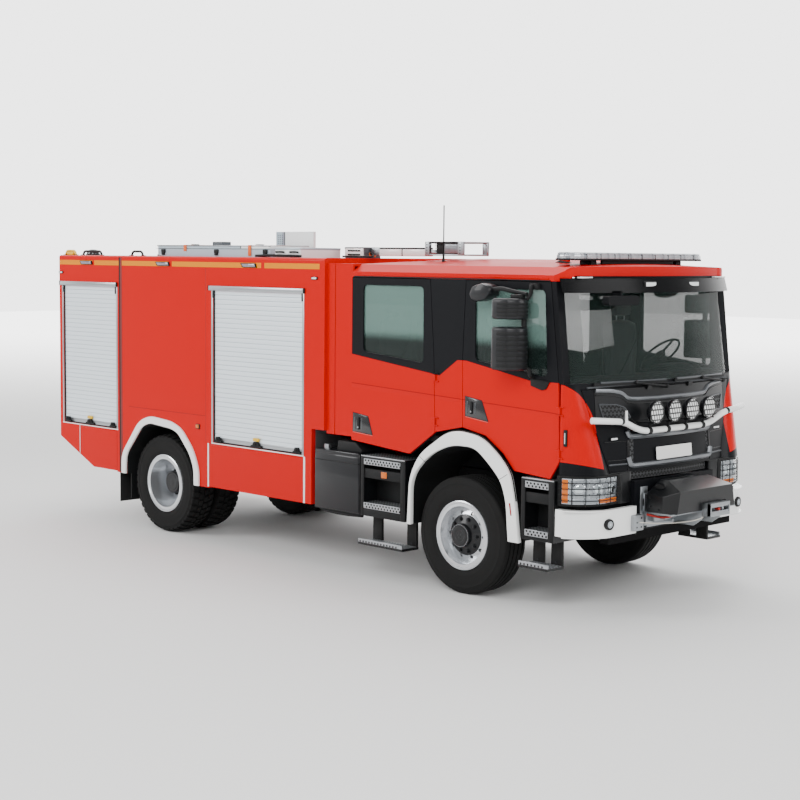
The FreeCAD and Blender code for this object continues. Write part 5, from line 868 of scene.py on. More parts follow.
def addStrip(mesh, points, radius, index, out=0.0, bend=0.03, sides=8):
    # A bead on the curved face, through (y, z) points.
    route = []
    for (y0, z0), (y1, z1) in zip(points, points[1:]):
        steps = max(int(abs(y1 - y0) / 0.12), 1)
        for step in range(steps):
            route.append(faceAt(y0 + (y1 - y0) * step / steps, z0 + (z1 - z0) * step / steps, out))
    route.append(faceAt(*points[-1], out))
    return addTube(mesh, route, radius, index, bend, sides)


def addFacePlate(mesh, outline, out, thick, index):
    # A flat-sided plate on the curved face, from (y, z) points.
    return pushFace(mesh, [mesh.verts.new(faceAt(y, z, out)) for y, z in outline], (-thick, 0, 0), index)


def roundedLoop(half, low, high, radius, steps=5):
    # A rectangle in (y, z) with round corners, from the lower left.
    loop = []
    for cy, cz, first in ((half - radius, high - radius, 0), (-half + radius, high - radius, 1),
                          (-half + radius, low + radius, 2), (half - radius, low + radius, 3)):
        for step in range(steps + 1):
            turn = math.pi / 2 * (first + step / steps)
            loop.append((cy + radius * math.cos(turn), cz + radius * math.sin(turn)))
    return loop


def hatchTrim():
    # Satin lip along the hatch, its two side grilles and the pressed edge lines.
    mesh = newMesh()
    lip = hatchLip + [(-y, z) for y, z in reversed(hatchLip)]
    addStrip(mesh, lip, 0.019, 0, -0.002, 0.05, 12)
    low = [(y, z - 0.038) for y, z in lip]
    addStrip(mesh, low, 0.007, 1, 0.002, 0.05, 8)
    for side in (-1, 1):
        outline = [(side * y, z) for y, z in sideGrille]
        addFacePlate(mesh, outline, 0.003, 0.01, 2)
        ringPoints = outline + outline[:2]
        addStrip(mesh, ringPoints, 0.0055, 3, 0.004, 0.02, 8)
    addStrip(mesh, [(-0.93, 1.622), (0.93, 1.622)], 0.006, 1, 0.001, 0.0, 8)
    finishPiece("hatchTrim", mesh, ["satinGrey", "darkEnamel", "honeycomb", "satinEdge"],
                body="front_hatch")


def lowerGrilleTrim():
    # Satin frame round the honeycomb, the blank sign plate, and the lower intake.
    mesh = newMesh()
    loop = roundedLoop(lowerFrame["half"], lowerFrame["low"], lowerFrame["high"], lowerFrame["round"])
    addFacePlate(mesh, roundedLoop(0.575, lowerFrame["low"] + 0.012, lowerFrame["high"] - 0.012, 0.045),
                 0.002, 0.008, 2)
    for z, bar in ((lowerFrame["high"], 0.024), (lowerFrame["low"], 0.023)):
        upward = 0.075 if z == lowerFrame["low"] else 0.05
        addStrip(mesh, [(-0.605, z + upward), (-0.585, z + 0.01), (-0.555, z), (0.555, z), (0.585, z + 0.01),
                        (0.605, z + upward)], bar, 0, lowerFrame["proud"] - 0.006, 0.06, 10)
    addStrip(mesh, loop + loop[:2], 0.008, 1, 0.003, 0.0, 8)
    for side in (-1, 1):
        addStrip(mesh, [(side * 0.62, 1.452), (side * 0.86, 1.458)], 0.0045, 1, 0.001, 0.0, 6)
        addStrip(mesh, [(side * 0.62, 1.3), (side * 0.7, 1.296), (side * 0.84, 1.3)], 0.0045, 1, 0.001, 0.0, 6)
        addStrip(mesh, [(side * 0.62, 1.262), (side * 0.83, 1.262)], 0.009, 3, 0.002, 0.0, 8)
        addStrip(mesh, [(side * 0.61, 1.205), (side * 0.6, 1.59)], 0.005, 1, 0.001, 0.0, 6)
    addFacePlate(mesh, roundedLoop(signPlate["half"], signPlate["low"], signPlate["high"], 0.008), 0.02,
                 0.004, 4)
    for y in (-0.2, 0.2):
        addBox(mesh, faceAt(y, 1.265, -0.01) - Vector((0, 0.03, 0.012)),
               faceAt(y, 1.29, 0.017) + Vector((0, 0.03, 0)), 0.003, 1)
    steps = rangeOf(-0.56, 0.56, 12)
    outline = [(y, 1.206) for y in steps] + [(y, 1.124) for y in reversed(steps)]
    addFacePlate(mesh, outline, -0.03, 0.012, 2)
    for side in (-1, 1):
        addWrap(mesh, lampPath, -0.02, 0.72, 1.19, 1.199, -0.004, 0.1, side, 1)
    finishPiece("lowerGrille", mesh, ["satinGrey", "darkEnamel", "honeycomb", "satinEdge", "whitePlate"])


def frontMarkers():
    # Small white lamps in the dark middle, upright ones on the corner panels, and those on the visor.
    mesh = newMesh()
    for side in (-1, 1):
        y = side * 0.755
        spot = faceAt(y, 1.483, 0.0)
        addBox(mesh, spot - Vector((0.004, 0.052, 0.014)), spot + Vector((0.008, 0.052, 0.014)), 0.004, 1)
        addBox(mesh, spot - Vector((0.004, 0.042, 0.0085)), spot + Vector((0.011, 0.042, 0.0085)), 0.003, 0)
        sideBox(mesh, side, 3.437, 3.473, 1.205, 1.224, 1.438, 1.578, 0.006, 1)
        sideBox(mesh, side, 3.452, 3.459, 1.205, 1.2265, 1.462, 1.554, 0.002, 0)
        x = visorTopAt(0.98) - 0.006
        addBox(mesh, (x - 0.02, side * 0.98 - 0.085, 2.84), (x + 0.016, side * 0.98 + 0.085, 2.852), 0.003, 0)
        y = 0.3 if side < 0 else 0.34
        x = visorTopAt(y)
        addBox(mesh, (x - 0.02, side * y - 0.085, 2.762), (x + 0.018, side * y + 0.085, 2.815), 0.01, 1)
        addBox(mesh, (x, side * y - 0.07, 2.771), (x + 0.0225, side * y + 0.07, 2.806), 0.006, 0)
    finishPiece("frontMarkers", mesh, ["whiteLens", "grainedPlastic"])


def visorTopAt(y):
    # How far forward the visor's curved upper edge is.
    bend, end = 2.9, 1.2
    return 3.36 + math.sqrt(bend * bend - y * y) - math.sqrt(bend * bend - end * end)


def lampBarPiece():
    # White tube with its brackets, and four lamps, each a black bowl with a white cover of staggered cells.
    mesh = newMesh()
    x, radius = 3.7, driving["radius"]
    half = [(x, 0.49, 1.536), (x, 0.745, 1.636), (x + 0.005, 0.935, 1.652), (3.648, 1.11, 1.664)]
    addTube(mesh, [(dx, -dy, dz) for dx, dy, dz in reversed(half)] + half, 0.028, 0, 0.12, 20)
    for side in (-1, 1):
        end, way = Vector((3.648, side * 1.11, 1.664)), Vector((-0.062, side * 0.175, 0.012)).normalized()
        addRod(mesh, end - way * 0.004, end + way * 0.004, 0.0272, 20, 0, 0.02)
        addRod(mesh, (x, side * 0.765, 1.638), (x + 0.001, side * 0.795, 1.641), 0.0305, 20, 2)
        stay = [(3.626, 1.592), (3.626, 1.64), (3.65, 1.64), (3.712, 1.6), (3.718, 1.566), (3.706, 1.552),
                (3.69, 1.556)]
        sidePlate(mesh, side, stay, 0.552, 0.568, 0.003, 2)
        sideBox(mesh, side, 3.624, 3.634, 0.53, 0.59, 1.59, 1.644, 0.003, 2)
    addRod(mesh, (x, -0.708, 1.632), (x, -0.711, 1.728), 0.0125, 14, 0, 0.011)
    shell = [(-0.085, 0.0), (-0.083, 0.03), (-0.07, 0.068), (-0.04, 0.092), (-0.018, radius),
             (-0.004, radius), (0.0, radius - 0.004), (0.0, radius - 0.01), (-0.005, radius - 0.012)]
    crown = [(-0.005, radius - 0.012), (-0.002, 0.07), (-0.0005, 0.035), (0.0, 0.0)]
    for index in range(4):
        y = driving["pitch"] * (index - 1.5)
        centre = Vector((driving["x"], y, driving["z"]))
        bowl = addSpun(mesh, shell, (0, 0, 0), 40, index=1)
        cover = addSpun(mesh, crown, (0, 0, 0), 40, index=3)
        turn = Matrix.Translation(centre) @ Matrix.Rotation(math.radians(-90), 4, "Z")
        bmesh.ops.transform(mesh, matrix=turn,
                            verts=bowl + [vert for vert in cover if vert.is_valid and vert not in bowl])
        addRod(mesh, (x, y - 0.024, 1.535), (x, y + 0.024, 1.535), 0.0305, 20, 2)
        addRod(mesh, (x + 0.006, y, 1.55), (x + 0.03, y, 1.612), 0.01, 10, 2)
        addBox(mesh, (x + 0.008, y - 0.024, 1.596), (x + 0.06, y + 0.024, 1.608), 0.003, 2)
    finishPiece("lampBar", mesh, ["whiteEnamel", "glossPlastic", "grainedPlastic", "cellCover"],
                "lamp_bar", body="front_hatch")


def headlamp(side, word):
    # Black case, bright bowls, amber parts and the wire guard.
    mesh = newMesh()
    low, high, guard = 0.936, 1.193, 0.0038

    def spotAt(mark, out, z):
        x, y = wrapAt(lampPath, mark, out)
        return x, side * y, z

    for foot, head in ((low, 0.955), (1.17, high)):
        addWrap(mesh, lampPath, 0.155, 0.767, foot, head, 0.006, 0.05, side, 0, 0.004)
    for start, end in ((0.14, 0.192), (0.745, 0.77)):
        addWrap(mesh, lampPath, start, end, low, high, 0.007, 0.05, side, 0, 0.004)
    addWrap(mesh, lampPath, -0.004, 0.144, 0.93, 1.196, 0.003, 0.05, side, 5, 0.006)
    addWrap(mesh, lampPath, 0.19, 0.747, 0.955, 1.17, 0.0008, 0.02, side, 1)
    addWrap(mesh, lampPath, 0.69, 0.742, 0.962, 1.162, 0.005, 0.01, side, 2, 0.003)
    addWrap(mesh, lampPath, 0.198, 0.42, 0.96, 0.998, 0.005, 0.01, side, 2, 0.003)
    for start, end, foot, head in ((0.205, 0.34, 1.006, 1.16), (0.35, 0.505, 1.006, 1.16),
            (0.515, 0.68, 1.006, 1.16), (0.43, 0.68, 0.962, 0.998)):
        addWrap(mesh, lampPath, start, end, foot, head, 0.004, 0.01, side, 3, 0.004)
    for along in (0.275, 0.43, 0.598):
        near, ahead = wrapAt(lampPath, along, 0.0), wrapAt(lampPath, along, 0.05)
        way = Vector((ahead[0] - near[0], side * (ahead[1] - near[1]), 0)).normalized()
        spot = Vector(spotAt(along, 0.004, 1.082))
        addRod(mesh, spot, spot + way * 0.006, 0.058, 28, 1, 0.05)
        addRod(mesh, spot + way * 0.004, spot + way * 0.01, 0.04, 24, 4, 0.028)
    for mark in (0.19, 0.306, 0.428, 0.545, 0.655, 0.757):
        route = [spotAt(mark, *spot) for spot in ((0.004, 1.178), (0.024, 1.172), (0.024, 0.952),
                (0.004, 0.946))]
        addTube(mesh, route, guard, 0, 0.008, 8)
    for z in (0.985, 1.035, 1.085, 1.135):
        addTube(mesh, [spotAt(mark, 0.024, z) for mark in rangeOf(0.175, 0.767, 22)], guard, 0, 0.0, 8)
    finishPiece(f"headlamp_{word}", mesh,
                ["grainedPlastic", "lampSilver", "amberLens", "ribbedLens", "mirrorGlass", "darkEnamel"])


def bumperTrim():
    # Round lamps in the white ends and black centre, edge lines and the galvanised bracket.
    mesh = newMesh()
    for side in (-1, 1):
        for (x, y), z, ring, lens in ((wrapAt(bumperPath, 0.375), 0.787, 0.052, 0.04),
                ((3.705, 0.393), 0.925, 0.08, 0.055)):
            spot = Vector((x, side * y, z))
            way = Vector((1, side * (0.12 if y > 0.6 else 0.0), 0)).normalized()
            addRod(mesh, spot - way * 0.03, spot + way * 0.016, ring, 32, 0, ring - 0.006)
            addRod(mesh, spot, spot + way * 0.017, lens * 0.8, 28, 1, lens * 0.74)
            addRod(mesh, spot, spot + way * 0.0185, lens * 0.45, 20, 2, lens * 0.3)
        addWrap(mesh, bumperPath, 0.0, 0.8, 0.896, 0.908, 0.002, 0.03, side, 3, 0.003)
        addWrap(mesh, bumperPath, 0.0, 0.8, 0.672, 0.682, 0.0015, 0.03, side, 3, 0.003)
        sideBox(mesh, side, 3.64, 3.768, 0.523, 0.654, 0.697, 0.832, 0.006, 4)
        for y, z in ((0.558, 0.805), (0.558, 0.728), (0.618, 0.77), (0.618, 0.728)):
            addRod(mesh, (3.764, side * y, z), (3.7695, side * y, z), 0.008, 12, 0)
        sideBox(mesh, side, 3.69, 3.712, 0.4, 0.5, 0.7, 1.06, 0.004, 4)
    addBox(mesh, (3.7, -0.555, 0.7), (3.712, 0.555, 0.742), 0.004, 4)
    finishPiece("bumperTrim", mesh,
                ["grainedPlastic", "lampSilver", "mirrorGlass", "whiteEnamel", "galvanised"])


# Inside the cab

benchRow = {"rear": 0.905, "front": 1.39, "low": 1.7, "top": 1.82, "half": 0.215, "pitch": 0.5}
frontRow = {"rear": 2.5, "front": 3.01, "low": 1.66, "top": 1.79, "inner": 0.43, "outer": 0.92}
backs = {"thick": 0.11, "top": 2.43, "head": 2.61, "headHalf": 0.13}
padCrown = 0.14


def addPad(mesh, low, high, axis, crown, channels, index=0, cuts=13):
    # A stuffed pad: soft corners, sides drawn in, a crown along one axis and sewn channels across it.
    low, high = Vector(low), Vector(high)
    middle, half = (low + high) / 2, (high - low) / 2
    bmesh.ops.create_cube(mesh, size=2)
    bmesh.ops.subdivide_edges(mesh, edges=mesh.edges[:], cuts=cuts, use_grid_fill=True)
    verts = mesh.verts[:]
    lift = "XYZ".index(axis)
    across = [spot for spot in range(3) if spot != lift]
    for vert in verts:
        point = vert.co.copy()
        soft = Vector(point)
        for spot in range(3):
            one, two = (point[other] ** 2 for other in range(3) if other != spot)
            soft[spot] *= math.sqrt(1 - 0.22 * one - 0.22 * two + 0.08 * one * two)
        bulge = (1 - point[across[0]] ** 2) * (1 - point[across[1]] ** 2)
        soft[lift] *= 0.86 + crown * bulge
        for mark in channels:
            dip = math.exp(-((point[across[1]] - mark) / 0.05) ** 2)
            soft[lift] *= 1 - 0.07 * dip * (abs(point[lift]) > 0.5)
        side = math.exp(-((abs(point[across[0]]) - 0.7) / 0.05) ** 2)
        soft[lift] *= 1 - 0.06 * side * (abs(point[lift]) > 0.5)
        vert.co = middle + Vector(soft[spot] * half[spot] for spot in range(3))
    return tint(verts, index)


def seatPieces(word, x0, x1, y0, y1, low, top):
    # Padded cushion, back and head rest, and the hard parts: pedestal, pan, head rest rods and belt.
    middle = (y0 + y1) / 2
    thick, high, head, half = backs.values()
    parts = {
        "Cushion": ((x0 + 0.07, y0, low), (x1, y1, top + 0.004), "Z", (-0.35, 0.15, 0.6)),
        "Back": ((x0, y0 + 0.008, top + 0.002), (x0 + thick, y1 - 0.008, high), "X", (-0.5, -0.1, 0.3, 0.7)),
        "Head": ((x0 + 0.008, middle - half, high + 0.03), (x0 + 0.1, middle + half, head), "X", ()),
    }
    for part, (start, end, axis, channels) in parts.items():
        mesh = newMesh()
        addPad(mesh, start, end, axis, padCrown, channels)
        node = "seats" if part == "Cushion" else ()
        item = finishPiece(f"seat{part}_{word}", mesh, "seatCloth", node, sharp=80)
    mesh = newMesh()
    addBox(mesh, (x0 + 0.06, y0 + 0.06, 1.395), (x1 - 0.06, y1 - 0.06, low + 0.012), 0.012, 0)
    addBox(mesh, (x0 + 0.03, y0 + 0.02, low - 0.022), (x1 - 0.03, y1 - 0.02, low + 0.01), 0.008, 0)
    for y in (middle - 0.06, middle + 0.06):
        addRod(mesh, (x0 + 0.055, y, high - 0.02), (x0 + 0.055, y, high + 0.05), 0.007, 10, 1)
    addTube(mesh, [(x0 + 0.1, y1 - 0.05, 2.39), (x0 + 0.128, y1 - 0.08, 2.25), (x0 + 0.128, middle, 2.02),
                   (x0 + 0.14, y0 + 0.05, top + 0.03)], 0.006, 2, 0.04, 6)
    finishPiece(f"seatBase_{word}", mesh, ["grainedPlastic", "satinAlloy", "hoseRubber"])


def allSeats():
    for side, word in ((-1, "right"), (1, "left")):
        y0, y1 = sorted((side * frontRow["inner"], side * frontRow["outer"]))
        seatPieces(f"front_{word}", frontRow["rear"], frontRow["front"], y0, y1, frontRow["low"],
                   frontRow["top"])
    rear, front, low, top, half, pitch = benchRow.values()
    for index in range(4):
        y = pitch * (index - 1.5)
        seatPieces(f"bench_{index + 1}", rear, front, y - half, y + half, low, top)


def dashPiece():
    # Moulded dash with its hood, vents and tray, and a tilted steering wheel.
    mesh = newMesh()
    section = [(3.225, 1.745), (3.372, 1.745), (3.372, 1.975), (3.33, 1.99), (3.215, 1.988), (3.13, 1.955),
               (3.104, 1.9), (3.12, 1.85)]
    addPlate(mesh, section, "Y", -1.115, 1.115, 0.014, 0, 2)
    hood = [(3.12, 1.94), (3.105, 2.01), (3.15, 2.052), (3.26, 2.044), (3.33, 1.985)]
    addPlate(mesh, hood, "Y", 0.41, 0.84, 0.02, 0, 3)
    addBox(mesh, (3.098, 0.47, 1.945), (3.112, 0.78, 2.03), 0.01, 2)
    addBox(mesh, (3.096, -0.16, 1.85), (3.108, 0.2, 1.95), 0.008, 2)
    for y in (-0.92, -0.52, -0.3, 0.3, 0.98):
        addBox(mesh, (3.094, y - 0.06, 1.89), (3.112, y + 0.06, 1.935), 0.008, 1)
        for z in (1.9, 1.912, 1.924):
            addBox(mesh, (3.09, y - 0.052, z - 0.0025), (3.1, y + 0.052, z + 0.0025), 0.001, 2)
    turns = [math.tau * step / 10 for step in range(11)]
    rim = [(0.011 * math.cos(turn), 0.214 + 0.011 * math.sin(turn)) for turn in turns]
    wheel = addSpun(mesh, rim, (0, 0, 0), 48, index=1)
    for turn in (90, 210, 330):
        end = Vector((math.sin(math.radians(turn)), 0, math.cos(math.radians(turn)))) * 0.21
        wheel += addRod(mesh, (0, 0, 0), end, 0.013, 10, 1, 0.009)
    boss = [(-0.03, 0.0), (-0.03, 0.045), (0.0, 0.062), (0.012, 0.058), (0.014, 0.0)]
    wheel += addSpun(mesh, boss, (0, 0, 0), 24, index=1)
    wheel = [vert for vert in set(wheel) if vert.is_valid]
    lean, stand = (Matrix.Rotation(math.radians(turn), 4, axis) for turn, axis in ((-44, "Y"), (90, "X")))
    tilt = Matrix.Translation((3.06, 0.62, 2.12)) @ lean @ stand
    bmesh.ops.transform(mesh, matrix=tilt, verts=wheel)
    addRod(mesh, (3.18, 0.62, 1.99), (3.075, 0.62, 2.105), 0.034, 18, 1)
    finishPiece("dashAndWheel", mesh, ["dashPlastic", "grainedPlastic", "glossPlastic"],
                "dashboard")


# Roof equipment

roofBox = {"rear": -2.32, "front": -0.44, "outer": -1.15, "inner": -0.62}
mastArm = {"side": -0.53, "pivot": (0.33, 3.065), "head": (1.3, 1.815), "high": 3.15}


def boxTrim():
    # Lid rim, three black catches, corner feet and the strap on the lid.
    mesh = newMesh()
    rear, front, outer, inner = roofBox.values()
    addBox(mesh, (rear - 0.004, outer - 0.005, 3.064), (front + 0.004, outer + 0.006, 3.0685), 0.001, 1)
    for x in (-2.196, -1.284, -0.5):
        addBox(mesh, (x - 0.034, outer - 0.014, 3.02), (x + 0.034, outer + 0.002, 3.06), 0.005, 0)
        addBox(mesh, (x - 0.022, outer - 0.02, 2.998), (x + 0.022, outer + 0.002, 3.022), 0.005, 0)
    for x in (rear + 0.06, front - 0.06):
        addBox(mesh, (x - 0.05, outer - 0.006, 2.985), (x + 0.05, outer + 0.02, 3.004), 0.003, 2)
    addTube(mesh, [(-2.36, -1.06, 2.99), (-2.385, -1.06, 3.04), (-2.385, -0.92, 3.04), (-2.36, -0.92, 2.99)],
            0.012, 0, 0.03, 10)
    addRod(mesh, (-2.362, -0.99, 3.012), (-2.32, -0.99, 3.012), 0.03, 18, 3, 0.024)
    finishPiece("roofBoxFittings", mesh, ["grainedPlastic", "hoseRubber", "satinAlloy", "whiteEnamel"])
    mesh = newMesh()
    addBox(mesh, (rear, outer, 3.088), (front, outer + 0.024, 3.1035), 0.004, 0)
    addBox(mesh, (rear, inner - 0.024, 3.088), (front, inner, 3.1035), 0.004, 0)
    for x in (rear + 0.012, front - 0.012, rear + 0.63, front - 0.63):
        addBox(mesh, (x - 0.012, outer, 3.094), (x + 0.012, inner, 3.1035), 0.003, 0)
    for x, low in ((-0.745, 2.996), (-1.815, 3.04)):
        addBox(mesh, (x - 0.024, outer - 0.0075, low), (x + 0.024, outer - 0.0045, 3.1065), 0.001, 1)
        addBox(mesh, (x - 0.024, outer - 0.0075, 3.1035), (x + 0.024, inner, 3.1065), 0.001, 1)
        addBox(mesh, (x - 0.034, outer + 0.1, 3.104), (x + 0.034, outer + 0.16, 3.115), 0.003, 2)
    addBox(mesh, (-1.6, -0.96, 3.1), (-1.43, -0.84, 3.142), 0.008, 3)
    finishPiece("roofLidTrim", mesh, ["satinAlloy", "orangeWeb", "grainedPlastic", "greyPlastic"],
                body="roof_box_lid")


def boardsAndCrate():
    # Punched edge on the rear board, handles on the crate, plates on the mast's foot.
    mesh = newMesh()
    for row in range(8):
        for line in range(3):
            x, z = -0.995 + 0.032 * line, 3.065 + 0.021 * row
            addRod(mesh, (x, -0.5605, z), (x, -0.5625, z), 0.0055, 8, 0)
    for x in (-0.27, -0.06):
        grip = [(x - 0.055, -1.15, 3.035), (x - 0.05, -1.172, 3.04), (x + 0.05, -1.172, 3.04),
                (x + 0.055, -1.15, 3.035)]
        addTube(mesh, grip, 0.009, 0, 0.012, 8)
    addBox(mesh, (-0.356, -1.155, 3.06), (0.034, -0.615, 3.083), 0.006, 1)
    addTube(mesh, [(-0.62, -1.178, 2.999), (-0.4, -1.182, 3.004), (-0.1, -1.18, 3.003), (0.06, -1.172, 3.0)],
            0.014, 0, 0.0, 10)
    addBox(mesh, (0.13, -0.6475, 3.0), (0.39, -0.6385, 3.082), 0.006, 2)
    addBox(mesh, (0.116, -0.645, 3.074), (0.404, -0.415, 3.094), 0.006, 3)
    for z in (3.02, 3.058):
        addBox(mesh, (0.17, -0.6525, z - 0.008), (0.35, -0.6465, z + 0.008), 0.003, 0)
    addBox(mesh, (0.396, -0.575, 2.996), (0.4045, -0.485, 3.04), 0.003, 4)
    finishPiece("roofStowage", mesh,
                ["grainedPlastic", "boxSilver", "whiteEnamel", "greyPlastic", "orangeWeb"])


def mastPiece():
    # Hinged arm: knuckle, two white fairings, and an open frame with the floodlight in it.
    mesh = newMesh()
    y, (px, pz) = mastArm["side"], mastArm["pivot"]
    addRod(mesh, (px, y - 0.03, pz), (px, y + 0.03, pz), 0.024, 24, 1)
    addRod(mesh, (px, y - 0.0335, pz), (px, y + 0.0335, pz), 0.013, 6, 4)
    wedge = [(px - 0.004, 3.046), (0.44, 3.014), (0.56, 3.008), (0.56, 3.092), (0.47, 3.09),
             (px - 0.004, 3.084)]
    addPlate(mesh, wedge, "Y", y - 0.028, y + 0.028, 0.006, 0)
    for x0, x1 in ((0.556, 0.862), (0.876, 1.186)):
        addBox(mesh, (x0, y - 0.06, 3.008), (x1, y + 0.06, 3.082), 0.012, 2)
        addBox(mesh, (x0 + 0.006, y - 0.062, 3.076), (x1 - 0.006, y + 0.062, 3.092), 0.006, 1)
    addBox(mesh, (0.858, y - 0.05, 3.01), (0.88, y + 0.05, 3.086), 0.004, 1)
    addRod(mesh, (1.18, y, 3.048), (1.325, y, 3.048), 0.024, 20, 0)
    (rear, front), high = mastArm["head"], mastArm["high"]
    for x0, x1 in ((rear + 0.004, rear + 0.062), (front - 0.086, front - 0.028)):
        for side in (-1, 1):
            y0, y1 = sorted((y + side * 0.186, y + side * 0.15))
            addBox(mesh, (x0, y0, 3.016), (x1, y1, high - 0.002), 0.005, 0)
            for row in range(4):
                x, z = (x0 + x1) / 2, 3.04 + 0.027 * row
                addRod(mesh, (x, y + side * 0.1855, z), (x, y + side * 0.1878, z), 0.006, 8, 1)
        addBox(mesh, (x0, y - 0.17, 3.018), (x1, y + 0.17, 3.032), 0.004, 0)
        addBox(mesh, (x0, y - 0.17, high - 0.016), (x1, y + 0.17, high - 0.003), 0.004, 0)
    for side in (-1, 1):
        y0, y1 = sorted((y + side * 0.182, y + side * 0.166))
        addBox(mesh, (rear + 0.05, y0, high - 0.02), (front - 0.04, y1, high - 0.002), 0.004, 1)
        addBox(mesh, (rear + 0.05, y0, 3.016), (front - 0.03, y1, 3.032), 0.004, 0)
        gusset = [(front - 0.09, 3.016), (front - 0.026, 3.016), (front - 0.026, 3.08), (front - 0.06, 3.11),
                  (front - 0.09, 3.11)]
        addPlate(mesh, gusset, "Y", y0, y1, 0.003, 0)
    addBox(mesh, (rear + 0.115, y - 0.15, 3.03), (rear + 0.215, y + 0.15, 3.136), 0.014, 1)
    addBox(mesh, (rear + 0.211, y - 0.138, 3.04), (rear + 0.221, y + 0.138, 3.126), 0.006, 3)
    for fin in range(7):
        z = 3.042 + 0.014 * fin
        addBox(mesh, (rear + 0.092, y - 0.14, z - 0.003), (rear + 0.12, y + 0.14, z + 0.003), 0.001, 1)
    finishPiece("mastAndFloodlight", mesh,
                ["galvanised", "grainedPlastic", "whiteEnamel", "ribbedLens", "boltSteel"],
                "mast", body="mast")


def mastCable():
    # The lamp's cable, in a loose loop from the foot of the mast to the roof gland.
    route = [(0.396, -0.56, 3.03), (0.44, -0.572, 3.03), (0.5, -0.61, 3.012), (0.54, -0.66, 3.0),
             (0.5, -0.72, 3.0), (0.43, -0.73, 3.001), (0.38, -0.69, 3.001), (0.33, -0.68, 3.001),
             (0.24, -0.69, 3.001), (0.15, -0.7, 3.001)]
    cordPiece("mastCable", "hoseRubber", route, 0.018)


def ladderAndLoops():
    # The rear ladder with ribbed rungs, and low loops of tube along the rear roof edge.
    mesh = newMesh()
    x = -4.095
    for side in (-1, 1):
        y = 0.74 + 0.2 * side
        rail = [(-4.06, y, 1.196), (x, y, 1.19), (x, y, 3.07), (-4.04, y, 3.082), (-3.96, y, 3.082),
                (-3.93, y, 2.986)]
        addTube(mesh, rail, 0.0148, 0, 0.04, 14)
        for z in (2.885, 1.7):
            addTube(mesh, [(-4.072, y, z), (x, y, z)], 0.012, 0, 0.0, 10)
    for index in range(6):
        z = 1.29 + 0.28 * index
        addRod(mesh, (x, 0.545, z), (x, 0.935, z), 0.0145, 16, 1)
        for mark in rangeOf(0.575, 0.905, 11):
            addRod(mesh, (x, mark - 0.004, z), (x, mark + 0.004, z), 0.015, 12, 1)
    for side in (-1, 1):
        for x0, x1, top, index in ((-4.035, -3.815, 3.034, 2), (-3.68, -3.3, 3.03, 3),
                (-2.74, -2.52, 3.032, 3)):
            y = side * 1.185
            addTube(mesh, [(x0, y, 2.975), (x0 + 0.03, y, top), (x1 - 0.03, y, top), (x1, y, 2.975)], 0.0125,
                    index, 0.045, 12)
            for foot in (x0, x1):
                addRod(mesh, (foot, y, 2.982), (foot, y, 2.992), 0.026, 16, 3)
        addBox(mesh, (-3.99, side * 1.185 - 0.016, 2.984), (-3.86, side * 1.185 + 0.016, 3.022), 0.01, 2)
    finishPiece("ladderAndLoops", mesh, ["satinAlloy", "grainedPlastic", "yellowTab", "hoseRubber"],
                "ladder_and_rails")


# Equipment body sides

curtains = {"main": (-1.216, 0.18), "rear": (-3.985, -2.94), "sill": 1.06, "top": 2.64}
headBars = ((-1.289, 0.211), (-4.054, -2.917))
sideLamps = {"first": -3.633, "pitch": 1.438, "long": 0.24, "low": 2.884, "high": 2.92, "slant": 0.03}
sideMarkers = {"white": ((-4.03, 2.786), (0.353, 2.789)), "amber": ((-1.475, 1.207),)}


def shutterFrames():
    # Guides, rounded head bars with black ends, bottom bars and rubber edges.
    mesh = newMesh()
    sill, top = curtains["sill"], curtains["top"]
    for side in (-1, 1):
        for x0, x1 in (curtains["main"], curtains["rear"]):
            sideBox(mesh, side, x0 - 0.03, x0 - 0.004, 1.234, 1.2535, sill - 0.012, top, 0.003, 0)
            sideBox(mesh, side, x0 - 0.004, x0 + 0.014, 1.234, 1.2475, sill, top, 0.002, 1)
            sideBox(mesh, side, x1 - 0.006, x1 + 0.022, 1.234, 1.2535, sill - 0.012, top, 0.003, 0)
            sideBox(mesh, side, x0 - 0.03, x1 + 0.022, 1.232, 1.2545, sill - 0.013, sill - 0.002, 0.003, 2)
            sideBox(mesh, side, x0 + 0.014, x1 - 0.006, 1.234, 1.2465, sill, sill + 0.014, 0.002, 1)
            sideBox(mesh, side, x0 + 0.014, x1 - 0.006, 1.234, 1.2435, sill + 0.014, sill + 0.058, 0.004, 0)
        for x0, x1 in headBars:
            sideBox(mesh, side, x0 + 0.01, x1 - 0.012, 1.24, 1.2685, 2.638, 2.687, 0.011, 0)
            for low, high in ((x0 - 0.002, x0 + 0.012), (x1 - 0.014, x1 + 0.002)):
                sideBox(mesh, side, low, high, 1.24, 1.2675, 2.64, 2.69, 0.004, 1)
            for low, high in ((x1 - 0.05, x1 - 0.022), (x0 + 0.06, x0 + 0.086)):
                sideBox(mesh, side, low, high, 1.236, 1.256, 2.56, 2.64, 0.006, 1)
        for x0, x1, low in ((0.197, 0.222, 0.59), (-3.678, -3.669, 0.72), (-1.312, -1.29, 0.59)):
            sideBox(mesh, side, x0, x1, 1.24, 1.2515, low, 1.047, 0.002, 2)
    finishPiece("shutterFrames", mesh, ["satinAlloy", "hoseRubber", "whiteEnamel"])


